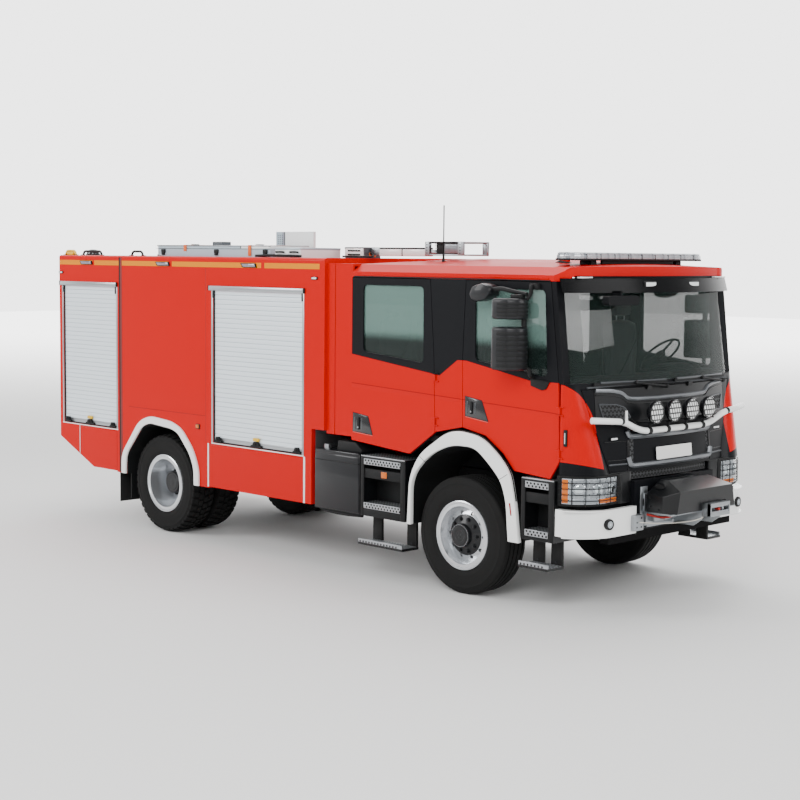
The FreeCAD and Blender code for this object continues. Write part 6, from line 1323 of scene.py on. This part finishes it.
def shutterLatches():
    # Black turn latches along each bottom bar, a yellow tab at the middle one.
    mesh = newMesh()
    for side in (-1, 1):
        for x0, x1 in (curtains["main"], curtains["rear"]):
            for index, x in enumerate((x0 + 0.085, (x0 + x1) / 2, x1 - 0.075)):
                wide = 0.085 if index == 1 else 0.06
                sideBox(mesh, side, x - wide, x + wide, 1.24, 1.262, 1.066, 1.092, 0.006, 0)
                foot, head = wide * 0.62, wide * 0.4
                hump = [(x - foot, 1.088), (x + foot, 1.088), (x + head, 1.128), (x - head, 1.128)]
                sidePlate(mesh, side, hump, 1.242, 1.268, 0.005, 0)
                sidePin(mesh, side, x, 1.104, 1.25, 1.277, 0.017, 16, 0, 0.014)
                for end in (-1, 1):
                    sidePin(mesh, side, x + end * wide * 0.8, 1.079, 1.255, 1.264, 0.006, 10, 1)
                if index == 1:
                    sideBox(mesh, side, x - 0.045, x + 0.045, 1.242, 1.264, 1.132, 1.166, 0.007, 2)
    finishPiece("shutterLatches", mesh, ["grainedPlastic", "boltSteel", "yellowTab"])


def sideMarks():
    # Slanted side lamps over their blocks, small markers, panel joints with dark red painted shade at them,
    # and the rear flap's strip.
    mesh = newMesh()
    first, pitch, long, low, high, slant = sideLamps.values()
    for side in (-1, 1):
        for index in range(3):
            x0 = first + pitch * index
            x1 = x0 + long
            case = [(x0 + slant, low - 0.004), (x1 + 0.004, low - 0.004), (x1 - slant * 0.4, high + 0.003),
                    (x0 - 0.012, high + 0.003)]
            lens = [(x0 + slant + 0.014, low + 0.003), (x1 - 0.01, low + 0.003),
                    (x1 - slant * 0.4 - 0.012, high - 0.003), (x0 + 0.014, high - 0.003)]
            sidePlate(mesh, side, case, 1.2485, 1.264, 0.004, 0)
            sidePlate(mesh, side, lens, 1.25, 1.2675, 0.003, 1)
        for x, z in sideMarkers["white"]:
            sideBox(mesh, side, x - 0.045, x + 0.045, 1.248, 1.259, z - 0.014, z + 0.014, 0.005, 0)
            sideBox(mesh, side, x - 0.036, x + 0.03, 1.248, 1.262, z - 0.0085, z + 0.0085, 0.004, 2)
        for x, z in sideMarkers["amber"]:
            sideBox(mesh, side, x - 0.03, x + 0.036, 1.248, 1.259, z - 0.027, z + 0.027, 0.006, 0)
            sideBox(mesh, side, x - 0.026, x + 0.024, 1.248, 1.264, z - 0.021, z + 0.021, 0.006, 3)
        sideBox(mesh, side, -2.71, -1.345, 1.248, 1.2507, 1.3265, 1.3295, 0.0, 4)
        sideBox(mesh, side, -2.89, -2.866, 1.248, 1.2512, 0.585, 2.966, 0.0, 4)
        # Dark red strips at the joints: painted shade of the panels' step.
        sideBox(mesh, side, -2.866, -2.832, 1.248, 1.2508, 0.585, 2.966, 0.0, 5)
        sideBox(mesh, side, -1.345, -1.341, 1.248, 1.2507, 1.06, 2.87, 0.0, 5)
    finishPiece("sideMarks", mesh, ["grainedPlastic", "greyLens", "whiteLens", "amberLens", "hoseRubber",
            "jointShadeRed"])


def flapTrim(side, word):
    # A pressed grip line along the top of each flap.
    for name, low, high in (("rear", -3.655, -2.952), ("main", -1.272, 0.182)):
        mesh = newMesh()
        sideBox(mesh, side, low, high, 1.248, 1.252, 1.026, 1.042, 0.003, 0)
        finishPiece(f"{name}FlapTrim_{word}", mesh, "redEnamel", body=f"{name}_flap_{word}")


# Steps, boxes and arches

stepBays = {"rear": (1.01, 1.6, 0.57), "front": (3.006, 3.37, 0.61)}
hanging = {"rear": (1.01, 1.6, 0.32), "front": (3.006, 3.34, 0.39)}
arches = {
    "front": ([(1.652, 0.566), (1.675, 1.007), (1.802, 1.23), (2.195, 1.49), (2.563, 1.449), (2.768, 1.304),
               (2.895, 1.168), (2.956, 0.92), (3.004, 0.566)],
               [(1.7, 0.566), (1.7, 1.007), (1.925, 1.23), (2.195, 1.345), (2.481, 1.345), (2.645, 1.222),
                (2.788, 1.086), (2.849, 0.92), (2.881, 0.566)], 1.228),
    "rear": ([(-2.834, 0.578), (-2.83, 0.79), (-2.507, 1.182), (-2.308, 1.258), (-1.919, 1.228),
              (-1.743, 1.165), (-1.543, 0.962), (-1.448, 0.76), (-1.443, 0.578)],
              [(-2.752, 0.578), (-2.748, 0.79), (-2.45, 1.125), (-2.308, 1.176), (-1.919, 1.146),
               (-1.8, 1.108), (-1.6, 0.905), (-1.53, 0.76), (-1.525, 0.578)], 1.246)}


def archPiece():
    # White bands over the wheels, rounded along their edges, with the seams and seal of the front pair.
    mesh = newMesh()
    for side in (-1, 1):
        for outer, inner, near in arches.values():
            rim, hole = (easeCorners([Vector((*point, 0)) for point in line], 0.5) for line in (outer, inner))
            loop = [(point.x, point.y) for point in rim] + [(point.x, point.y) for point in reversed(hole)]
            sidePlate(mesh, side, loop, near, 1.2745, 0.009, 0)
        rim = easeCorners([Vector((x, side * 1.25, z)) for x, z in arches["front"][0]], 0.5)
        addTube(mesh, [point + Vector((0, 0, 0.004)) for point in rim[4:-4]], 0.007, 1, 0.0, 8)
        for (x, z), (u, w) in (((1.812, 1.205), (0.8, -0.5)), ((2.87, 1.15), (-0.86, -0.5))):
            start, end = Vector((x, side * 1.2738, z)), Vector((x + u * 0.12, side * 1.2738, z + w * 0.12))
            addRod(mesh, start, end, 0.0028, 6, 1)
        sidePlate(mesh, side, [(2.892, 0.905), (2.91, 0.905), (2.926, 0.8), (2.912, 0.796)], 1.27, 1.2755,
                  0.0, 2)
    finishPiece("archBands", mesh, ["whiteEnamel", "hoseRubber", "redLens"], "wheel_arch_trims")


def stepTrim(side, word):
    # Punched alloy treads with toothed edges, straps, amber lamps and dark kick plates.
    mesh = newMesh()
    for x0, x1, low in stepBays.values():
        sideBox(mesh, side, x0 + 0.004, x1 - 0.004, 0.985, 1.247, 1.132, 1.1425, 0.003, 0)
        sideBox(mesh, side, x0 + 0.03, x1 - 0.03, 1.05, 1.2465, 0.688, 0.697, 0.003, 0)
        sideBox(mesh, side, x0 + 0.034, x1 - 0.034, 1.048, 1.06, 0.7, 1.1, 0.002, 2)
        sideBox(mesh, side, x0 + 0.01, x1 - 0.01, 1.238, 1.2475, low + 0.004, low + 0.07, 0.004, 2)
        sideBox(mesh, side, x0 + 0.006, x0 + 0.046, 1.238, 1.249, low + 0.004, 1.13, 0.006, 2)
        sideBox(mesh, side, x1 - 0.06, x1 - 0.006, 1.238, 1.249, low + 0.004, 1.13, 0.006, 2)
        sideBox(mesh, side, x0 + 0.04, x1 - 0.05, 1.2, 1.24, 0.93, 1.02, 0.006, 2)
        count = int((x1 - x0 - 0.1) / 0.04)
        for z in (1.112, 0.697):
            sideBox(mesh, side, x0 + 0.046, x1 - 0.06, 1.244, 1.25, z - 0.054, z + 0.002, 0.002, 1)
            for index in range(count):
                for drop in (0.014, 0.038):
                    x = x0 + 0.07 + 0.04 * index + (0.018 if drop > 0.02 else 0)
                    sidePin(mesh, side, x, z - drop, 1.2495, 1.251, 0.0105, 8, 3)
    for which, (x0, x1, z) in hanging.items():
        sideBox(mesh, side, x0 + 0.006, x1 - 0.006, 1.068, 1.27, z - 0.001, z + 0.004, 0.002, 0)
        sideBox(mesh, side, x0 + 0.004, x1 - 0.004, 1.26, 1.2745, z - 0.022, z + 0.034, 0.003, 1)
        for index in range(int((x1 - x0 - 0.04) / 0.04)):
            sidePin(mesh, side, x0 + 0.03 + 0.04 * index, z + 0.01, 1.274, 1.2752, 0.0105, 8, 3)
        count = int((x1 - x0) / 0.036)
        for line in range(5):
            for index in range(count - 1):
                x, y = x0 + 0.036 * (index + 1) + (0.018 if line % 2 else 0), side * (1.24 - 0.036 * line)
                addRod(mesh, (x, y, z + 0.003), (x, y, z + 0.0075), 0.0085, 8, 1, 0.0055)
        low = stepBays[which][2]
        for x in (x0 + 0.006, x1 - 0.126):
            sideBox(mesh, side, x, x + 0.12, 1.056, 1.085, z - 0.006, low + 0.06, 0.003, 3)
            for height in (z + 0.03, low - 0.02):
                sidePin(mesh, side, x + 0.06, height, 1.083, 1.09, 0.009, 8, 4)
    sideBox(mesh, side, 1.275, 1.368, 1.2, 1.244, 0.94, 1.016, 0.008, 2)
    sideBox(mesh, side, 1.283, 1.36, 1.2, 1.248, 0.948, 1.008, 0.008, 5)
    finishPiece(f"stepTrim_{word}", mesh,
                ["punchedAlloy", "satinAlloy", "grainedPlastic", "hoseRubber", "boltSteel", "amberLens"])


def batteryCover(side, word):
    # The smooth dark box behind the rear step: shell, lid line, a tray and filler cap on top, a pipe below.
    mesh = newMesh()
    sideBox(mesh, side, 0.366, 0.992, 1.2, 1.256, 0.574, 1.118, 0.022, 0)
    sideBox(mesh, side, 0.372, 0.986, 0.8, 1.25, 1.1, 1.15, 0.016, 0)
    sideBox(mesh, side, 0.372, 0.986, 1.225, 1.26, 1.046, 1.052, 0.0, 1)
    sidePlate(mesh, side, [(0.64, 1.148), (0.98, 1.148), (0.99, 1.18), (0.9, 1.246), (0.66, 1.25)], 0.9,
              1.215, 0.008, 1)
    addRod(mesh, (0.44, side * 1.15, 1.146), (0.44, side * 1.15, 1.19), 0.038, 18, 2, 0.034)
    addTube(mesh, [(0.4, side * 1.19, 0.56), (0.56, side * 1.2, 0.548), (0.76, side * 1.2, 0.545),
                   (0.98, side * 1.19, 0.556)], 0.022, 1, 0.05, 12)
    finishPiece(f"batteryCover_{word}", mesh, ["boxEnamel", "grainedPlastic", "satinAlloy"])


# Rear and underside

def rearTrim():
    # Rear shutter's frame and latch, lamp clusters, yellow side strips, plate holder and mud flaps.
    mesh = newMesh()
    x = -4.07
    for side in (-1, 1):
        sideBox(mesh, side, x - 0.004, x + 0.012, 0.818, 0.85, 1.088, 2.7, 0.003, 0)
        sideBox(mesh, side, x - 0.03, x + 0.004, 0.97, 1.19, 1.142, 1.658, 0.012, 1)
        for low, high, index in ((1.156, 1.29, 3), (1.3, 1.44, 2), (1.45, 1.54, 4), (1.55, 1.644, 2)):
            sideBox(mesh, side, x - 0.0385, x - 0.02, 0.984, 1.176, low, high, 0.01, index)
        sideBox(mesh, side, x - 0.012, x + 0.004, 1.02, 1.15, 2.78, 2.83, 0.006, 3)
        sideBox(mesh, side, x - 0.01, x + 0.004, 1.02, 1.15, 1.04, 1.095, 0.005, 2)
        sideBox(mesh, side, x - 0.006, x + 0.002, 1.19, 1.246, 1.7, 2.87, 0.002, 7)
    addBox(mesh, (x - 0.026, -0.85, 2.64), (x + 0.012, 0.85, 2.704), 0.012, 0)
    addBox(mesh, (x - 0.006, -0.82, 1.088), (x + 0.012, 0.82, 1.102), 0.003, 1)
    for y in (-0.7, 0.0, 0.7):
        addBox(mesh, (x - 0.012, y - 0.07, 1.112), (x + 0.016, y + 0.07, 1.14), 0.006, 1)
        addRod(mesh, (x + 0.01, y, 1.15), (x - 0.02, y, 1.15), 0.017, 16, 1, 0.014)
    addBox(mesh, (x - 0.012, -0.045, 1.168), (x + 0.014, 0.045, 1.2), 0.006, 6)
    addBox(mesh, (x - 0.022, -0.27, 0.93), (x - 0.01, 0.27, 1.045), 0.004, 1)
    addBox(mesh, (x - 0.026, -0.26, 0.938), (x - 0.018, 0.26, 1.037), 0.003, 5)
    addBox(mesh, (x - 0.02, -0.03, 0.93), (x + 0.01, 0.03, 1.02), 0.004, 1)
    for side in (-1, 1):
        sideBox(mesh, side, -2.925, -2.913, 0.64, 1.225, 0.245, 0.64, 0.004, 8)
        sideBox(mesh, side, -2.93, -2.88, 0.64, 1.225, 0.6, 0.64, 0.004, 1)
    finishPiece("rearTrim", mesh, ["satinAlloy", "grainedPlastic", "redLens", "amberLens", "whiteLens",
            "whitePlate", "yellowTab", "yellowFilm", "hoseRubber"])


def lampBlocks():
    # The side lamps' bases, and a low dark dome on each rear corner of the roof.
    mesh = newMesh()
    for side in (-1, 1):
        for index in range(3):
            x0 = sideLamps["first"] + sideLamps["pitch"] * index
            sideBox(mesh, side, x0 + 0.01, x0 + sideLamps["long"] - 0.01, 1.2485, 1.261, 2.885, 2.919, 0.003,
                    0)
        centre = (-3.9, side * 0.9, 2.985)
        addRod(mesh, centre, (centre[0], centre[1], 3.0), 0.084, 32, 0, 0.08)
        dome = [(0.0, 0.076), (0.026, 0.073), (0.044, 0.058), (0.054, 0.03), (0.056, 0.0)]
        made = addSpun(mesh, dome, (0, 0, 0), 32, index=1)
        turn = Matrix.Translation((centre[0], centre[1], 2.998)) @ Matrix.Rotation(math.radians(90), 4, "X")
        bmesh.ops.transform(mesh, matrix=turn, verts=[vert for vert in made if vert.is_valid])
    finishPiece("lampBlocks", mesh, ["grainedPlastic", "domeSmoke"], "body_lamps")


def underGear():
    # Air tanks with their straps, bolts and pipes along the frame, and the exhaust pipe.
    mesh = newMesh()
    for side in (-1, 1):
        for x0, x1, z in ((-0.95, -0.25, 0.69), (-0.1, 0.3, 0.705)):
            y = side * 0.64
            addRod(mesh, (x0, y, z), (x1, y, z), 0.125, 36, 0)
            for end, way in ((x0, -1), (x1, 1)):
                addRod(mesh, (end, y, z), (end + way * 0.035, y, z), 0.125, 36, 0, 0.07)
            for strap in (x0 + 0.12, x1 - 0.12):
                addRod(mesh, (strap - 0.018, y, z), (strap + 0.018, y, z), 0.1275, 36, 1)
                sideBox(mesh, side, strap - 0.02, strap + 0.02, 0.44, 0.56, z + 0.02, z + 0.1, 0.004, 1)
        for x in rangeOf(-3.9, 3.3, 30):
            for z in (0.81, 0.96):
                sidePin(mesh, side, x, z, 0.429, 0.4385, 0.011, 6, 2)
        for z, y in ((0.925, 0.436), (0.905, 0.438)):
            addTube(mesh, [(-3.7, side * y, z), (-2.4, side * y, z), (0.2, side * y, z), (1.4, side * y, z)],
                    0.006, 1, 0.0, 6)
    addTube(mesh, [(1.6, 0.34, 0.7), (1.1, 0.52, 0.66), (0.7, 0.6, 0.62), (0.42, 0.7, 0.6)], 0.055, 3, 0.12,
            16)
    finishPiece("underGear", mesh, ["steelBlack", "grainedPlastic", "boltSteel", "castGrey"])


# Wheels

wheels = {"axle": 0.53, "front": (2.26, 1.045), "rear": (-2.14, 0.875), "twin": 0.175, "steps": 96}
roadTyre = {"radius": 0.53, "tread": 0.12, "grooves": (-0.08, -0.027, 0.027, 0.08), "groove": 0.0055,
            "depth": 0.013}
blockTyre = {"carcass": 0.509, "radius": 0.53, "pitches": 42, "shoulder": (0.07, 0.141),
             "middle": (0.006, 0.06)}
sidewall = [(0.112, 0.296), (0.128, 0.304), (0.138, 0.33), (0.147, 0.352), (0.1475, 0.356), (0.149, 0.358),
            (0.1515, 0.4), (0.1515, 0.43), (0.1475, 0.462), (0.149, 0.466), (0.1455, 0.474), (0.138, 0.5)]
rimLip = [(0.098, 0.29), (0.118, 0.297), (0.125, 0.311), (0.133, 0.315), (0.142, 0.312), (0.146, 0.303),
          (0.143, 0.29), (0.128, 0.279), (0.11, 0.264), (0.098, 0.262), (0.098, 0.29)]
frontHub = [(0.07, 0.1), (0.079, 0.186), (0.086, 0.184), (0.116, 0.112), (0.118, 0.106), (0.158, 0.1045),
            (0.166, 0.098), (0.166, 0.084), (0.171, 0.08), (0.171, 0.056), (0.168, 0.053), (0.168, 0.022),
            (0.172, 0.018), (0.172, 0.0)]
hubForward = 0.085
rearHub = [(-0.085, 0.11), (0.01, 0.11), (0.021, 0.157), (0.03, 0.154), (0.033, 0.122), (0.122, 0.117),
           (0.13, 0.11), (0.13, 0.09), (0.135, 0.086), (0.135, 0.03), (0.138, 0.026), (0.138, 0.0)]
wheelNuts = {"count": 10, "front": (0.15, 0.09, 0.124), "rear": (0.139, 0.02, 0.056), "across": 0.0185,
             "stud": 0.011}


def tyreLoop(crown):
    # One whole section, closed through the bore.
    left = [(-side, radius) for side, radius in sidewall]
    return left + crown + sidewall[::-1] + left[:1]


def roadCrown():
    edge, top, deep = roadTyre["tread"], roadTyre["radius"], roadTyre["depth"]
    crown = [(-edge - 0.012, top - 0.014), (-edge, top - 0.004)]
    for middle in roadTyre["grooves"]:
        near, far = middle - roadTyre["groove"], middle + roadTyre["groove"]
        crown += [(near - 0.002, top), (near, top - deep), (far, top - deep), (far + 0.002, top)]
    return crown + [(edge, top - 0.004), (edge + 0.012, top - 0.014)]


def roadTyrePiece(side, word):
    mesh = newMesh()
    centre = (wheels["front"][0], side * wheels["front"][1], wheels["axle"])
    addSpun(mesh, tyreLoop(roadCrown()), centre, wheels["steps"])
    finishPiece(f"roadTyre_{word}", mesh, "frontTyreRubber", f"front_tyre_{word}",
                body=f"front_wheel_{word}", sharp=28)


def treadPitch(mesh, centre):
    # One pitch of the tread: two shoulder lugs and two staggered middle blocks, at the top of the wheel.
    long = math.tau * blockTyre["radius"] / blockTyre["pitches"]
    top = math.sqrt(blockTyre["radius"] ** 2 - (long / 2) ** 2)
    verts = []
    for way in (-1, 1):
        near, far = blockTyre["shoulder"]
        lug = [(-0.3, near), (0.3, near), (0.33, near + 0.03), (0.26, far), (-0.4, far), (-0.36, near + 0.03)]
        near, far = blockTyre["middle"]
        block = [(-0.3, near), (0.42, near), (0.36, far - 0.012), (0.3, far), (-0.4, far),
                 (-0.34, near + 0.02)]
        for outline, shift in ((lug, 0.5 * (way > 0)), (block, 0.25 + 0.5 * (way > 0))):
            dots = [(centre[0] + (along + shift - 0.5) * long * 0.98, centre[1] + way * out) for along,
                    out in outline]
            verts += addPlate(mesh, dots, "Z", centre[2] + blockTyre["carcass"] - 0.012,
                              centre[2] + top - 0.0012, 0.0)
    for vert in verts:
        out, rise = abs(vert.co.y - centre[1]), vert.co.z - centre[2]
        if out > 0.125:
            vert.co.z -= 0.016 if rise > 0.515 else 0.03
        turn = (vert.co.x - centre[0]) / rise
        vert.co.x = centre[0] + rise * math.sin(turn)
        vert.co.z = centre[2] + (vert.co.z - centre[2]) * math.cos(turn)
    return verts


def blockTyrePiece(side, word):
    mesh = newMesh()
    deep = blockTyre["carcass"]
    crown = [(-0.132, deep - 0.002), (-0.1, deep), (0.1, deep), (0.132, deep - 0.002)]
    for pair in (-1, 1):
        centre = Vector((wheels["rear"][0], side * (wheels["rear"][1] + pair * wheels["twin"]),
                         wheels["axle"]))
        addSpun(mesh, tyreLoop(crown), centre, wheels["steps"])
        first = treadPitch(mesh, centre)
        for step in range(1, blockTyre["pitches"]):
            turn = Matrix.Rotation(math.tau * step / blockTyre["pitches"], 4, "Y")
            moveCopy(mesh, first, Matrix.Translation(centre) @ turn @ Matrix.Translation(-centre))
    finishPiece(f"blockTyres_{word}", mesh, "rearTyreRubber", f"rear_tyres_{word}",
                body=f"rear_wheels_{word}", sharp=28)


def hubPiece(name, x, side, out, hub, nuts, shift, body):
    # Bright rim lips, and a black hub with its nuts and cap. The lips stand off the hub's centre by a shift.
    mesh = newMesh()
    centre = Vector((x, side * out, wheels["axle"]))
    for way in (-1, 1):
        addSpun(mesh, [(way * (deep + shift), radius) for deep, radius in rimLip], centre, 72, index=0)
    addSpun(mesh, [(side * deep, radius) for deep, radius in hub], centre, 48, index=1)
    circle, low, high = nuts
    for step in range(wheelNuts["count"]):
        turn = math.tau * (step + 0.5) / wheelNuts["count"]
        spot = centre + Vector((circle * math.sin(turn), 0, circle * math.cos(turn)))
        out = Vector((0, side, 0))
        addRod(mesh, spot + out * low, spot + out * (high - 0.008), wheelNuts["across"], 6, index=2)
        addRod(mesh, spot + out * low, spot + out * high, wheelNuts["stud"], 10, index=2)
    finishPiece(name, mesh, ["rimSilver", "hubBlack", "boltSteel"], body=body, sharp=32)


def allWheels():
    for side, word in ((-1, "right"), (1, "left")):
        roadTyrePiece(side, word)
        blockTyrePiece(side, word)
        (x, out), nuts = wheels["front"], wheelNuts["front"]
        hubPiece(f"frontHub_{word}", x, side, out, frontHub, nuts, 0.0, f"front_wheel_{word}")
        (x, out), nuts, shift = wheels["rear"], wheelNuts["rear"], wheels["twin"] - hubForward
        hubPiece(f"rearHub_{word}", x, side, out + hubForward, rearHub, nuts, shift, f"rear_wheels_{word}")


# Winch

winchBox = {"half": 0.475, "low": 0.85, "top": 1.112}
lead = {"right": -0.03, "left": 0.26, "low": 0.795, "high": 0.91}


def winchCover():
    # Folded sheet: sloped top, chamfered ends, an oval opening in each shoulder, filled with a black sheet as
    # painted shade, and a notch for the rope.
    mesh = newMesh()
    rear, front, low, top, half = 3.762, 4.045, winchBox["low"], winchBox["top"], winchBox["half"] + 0.008
    spots = {"back": (rear, 0.3, top), "shoulder": (rear, half, 1.005), "crest": (3.85, 0.3, top),
             "brow": (front, 0.39, 1.04), "side": (3.93, half, 0.995), "toe": (front, 0.43, low),
             "heel": (3.93, half, low), "foot": (rear, half, low)}
    made = {(word, side): mesh.verts.new((x, side * y, z)) for word,
            (x, y, z) in spots.items() for side in (-1, 1)}
    for word, (y, z) in {"notchA": (-0.06, low), "notchB": (-0.06, 0.915), "notchC": (0.29, 0.915),
                         "notchD": (0.29, low)}.items():
        made[word] = mesh.verts.new((front, y, z))
    for side in (-1, 1):
        for loop in (("back", "shoulder", "side", "crest"), ("crest", "side", "brow"),
                     ("brow", "side", "heel", "toe"), ("side", "shoulder", "foot", "heel")):
            mesh.faces.new([made[word, side] for word in loop])
    for loop in (("back", -1), ("crest", -1), ("crest", 1), ("back", 1)), (("crest", -1), ("brow", -1),
            ("brow", 1), ("crest", 1)):
        mesh.faces.new([made[spot] for spot in loop])
    mesh.faces.new([made["brow", -1], made["toe", -1], made["notchA"], made["notchB"], made["notchC"],
                    made["notchD"], made["toe", 1], made["brow", 1]])
    bmesh.ops.recalc_face_normals(mesh, faces=mesh.faces[:])
    bmesh.ops.solidify(mesh, geom=mesh.faces[:], thickness=0.005)
    roundEdges(mesh, mesh.verts[:], 0.004, 2)
    tint(mesh.verts[:], 0)
    for side in (-1, 1):
        centre = Vector((3.83, side * 0.388, 1.064))
        normal = Vector((0.04, side * 0.52, 0.86)).normalized()
        along = Vector((1, 0, 0)).cross(normal).normalized()
        ring = [centre + normal * 0.002 + Vector((1, 0,
                0)) * 0.05 * math.cos(turn) + along * 0.03 * math.sin(turn) for turn in rangeOf(0, math.tau,
                        24)]
        addTube(mesh, ring, 0.004, 0, 0.0, 8)
        # A black sheet fills the opening: painted shade inside it.
        verts = [mesh.verts.new(point) for point in ring[:-1]]
        mesh.faces.new(verts)
        tint(verts, 1)
    finishPiece("winchCover", mesh, ["darkEnamel", "hoseRubber"], "winch_housing", sharp=12)


def winchPiece():
    # The cover's bolts, the fairlead with its four rollers, the brackets behind and below it, and the hook.
    mesh = newMesh()
    half = winchBox["half"]
    for side in (-1, 1):
        for x, z in ((3.8, 0.9), (3.8, 0.975), (3.885, 0.88)):
            sidePin(mesh, side, x, z, half + 0.006, half + 0.015, 0.01, 6, 1)
        sideBox(mesh, side, 3.7, 3.725, half - 0.06, half - 0.015, 0.72, 1.0, 0.003, 2)
    right, left, low, high = lead.values()
    for y in (right, left - 0.014):
        addBox(mesh, (4.072, y, low), (4.108, y + 0.014, high), 0.003, 2)
    for z in (low + 0.026, high - 0.026):
        addRod(mesh, (4.088, right + 0.01, z), (4.088, left - 0.01, z), 0.0185, 20, 4)
    for y in (right + 0.042, left - 0.042):
        addRod(mesh, (4.058, y, low + 0.004), (4.058, y, high - 0.004), 0.0165, 20, 4)
    for y in (right + 0.007, left - 0.007):
        for z in (low + 0.026, high - 0.026):
            addRod(mesh, (4.106, y, z), (4.1095, y, z), 0.01, 6, 1)
    bracket = [(3.722, 0.7), (3.93, 0.7), (4.015, 0.76), (4.015, 0.834), (3.722, 0.834)]
    for near, far in ((-0.03, -0.018), (0.25, 0.262)):
        addPlate(mesh, bracket, "Y", near, far, 0.003, 2)
    addBox(mesh, (3.722, -0.46, 0.744), (3.742, 0.46, 0.836), 0.003, 2)
    for y in (-0.4, -0.24, 0.38):
        addBox(mesh, (3.742, y - 0.018, 0.76), (3.8, y + 0.018, 0.836), 0.004, 2)
    addTube(mesh, [(4.086, 0.12, 0.852), (4.094, 0.122, 0.82), (4.088, 0.14, 0.8), (4.07, 0.15, 0.806),
                   (4.066, 0.14, 0.822)], 0.0085, 4, 0.012, 10)
    addRod(mesh, (4.058, 0.115, 0.852), (4.1, 0.115, 0.852), 0.012, 12, 5)
    finishPiece("winchFittings", mesh,
                ["darkEnamel", "boltSteel", "galvanised", "grainedPlastic", "satinAlloy", "ropeRed"])


def drumRope():
    # The wound rope on the drum, seen through the cover's front window.
    mesh = newMesh()
    profile = [(-0.196, 0.06)]
    for y in rangeOf(-0.19, 0.19, 34):
        profile += [(y, 0.0715), (y + 0.0028, 0.0745), (y + 0.0056, 0.0745), (y + 0.0084, 0.0715)]
    profile += [(0.199, 0.0715), (0.199, 0.06), (-0.196, 0.06)]
    addSpun(mesh, profile, (3.85, 0, 0.95), 36, 0)
    finishPiece("drumRope", mesh, "ropeWhite")


def winchCords():
    # The free ends: the white rope held across to the bracket, and a short red sling under the cover.
    for name, finish, route, width in (
            ("winchRope", "ropeWhite", [(3.772, -0.59, 0.77), (3.8, -0.56, 0.768), (3.86, -0.42, 0.752),
                    (3.94, -0.2, 0.748), (4.02, -0.06, 0.768), (4.04, -0.04, 0.79)], 0.009),
            ("redSling", "ropeRed", [(3.758, -0.47, 0.826), (3.79, -0.44, 0.815), (3.85, -0.39, 0.8),
                    (3.9, -0.33, 0.806), (3.93, -0.3, 0.826)], 0.02)):
        cordPiece(name, finish, route, width)


# Studio

def setStudio():
    floor = newMesh()
    bmesh.ops.create_grid(floor, x_segments=1, y_segments=1, size=studio["floor"])
    data = bpy.data.meshes.new("floor")
    floor.to_mesh(data)
    floor.free()
    paint = newFinish("studioFloor", studio["floorShade"], 0.9, shade=studio["floorShade"], grain=40,
                      depth=0.0)
    shaderOf(paint).inputs["Emission Color"].default_value = hexColour(studio["skyShade"])
    away = addNode(paint, "VectorMath", objectPlace(paint), studio["backWay"],
                   operation="DOT_PRODUCT").node.outputs["Value"]
    near, far = studio["glow"]
    reach = {0: away, 1: near, 2: far, 3: 0.0, 4: studio["backPower"]}
    glow = addNode(paint, "MapRange", reach, interpolation_type="SMOOTHSTEP")
    paint.node_tree.links.new(glow, shaderOf(paint).inputs["Emission Strength"])
    data.materials.append(paint)
    item = bpy.data.objects.new("floor", data)
    bpy.context.collection.objects.link(item)
    world = bpy.context.scene.world or bpy.data.worlds.new("sky")
    bpy.context.scene.world = world
    world.use_nodes = True
    sky = world.node_tree.nodes["Background"]
    sky.inputs["Color"].default_value = hexColour(studio["skyShade"])
    way = addNode(world, "TexCoord").node.outputs["Generated"]
    behind = addNode(world, "VectorMath", way, studio["backWay"],
                     operation="DOT_PRODUCT").node.outputs["Value"]
    power = addNode(world, "MapRange",
                    {0: behind, 1: 0.3, 2: 0.8, 3: studio["skyPower"], 4: studio["backPower"]})
    world.node_tree.links.new(power, sky.inputs["Strength"])
    for index, (place, size, power) in enumerate(studio["lamps"]):
        lamp = bpy.data.lights.new(f"softbox{index}", "AREA")
        lamp.size = size
        lamp.energy = power
        holder = bpy.data.objects.new(f"softbox{index}", lamp)
        holder.location = place
        holder.rotation_euler = (Vector((0, 0, 1)) - Vector(place)).to_track_quat("-Z", "Y").to_euler()
        bpy.context.collection.objects.link(holder)


# Everything in turn

setCamera()
allFinishes()
dressNodes()
mastCable()
winchCords()
print("finishes set,", len(finishOf))
allWheels()
print("wheels built")
hatchTrim()
lowerGrilleTrim()
frontMarkers()
lampBarPiece()
bumperTrim()
winchCover()
winchPiece()
drumRope()
print("front built")
shutterFrames()
shutterLatches()
sideMarks()
for side, word in ((-1, "right"), (1, "left")):
    headlamp(side, word)
    flapTrim(side, word)
    mirrorPiece(side, word)
    stepTrim(side, word)
    batteryCover(side, word)
    for which in handles:
        doorHandle(side, word, which)
print("sides built")
archPiece()
wiperArms()
lightBarPiece()
roofDetails()
boxTrim()
boardsAndCrate()
mastPiece()
ladderAndLoops()
print("roof built")
allSeats()
dashPiece()
rearTrim()
lampBlocks()
underGear()
print("inside and rear built")
setStudio()
print("studio set")
bpy.context.view_layer.update()
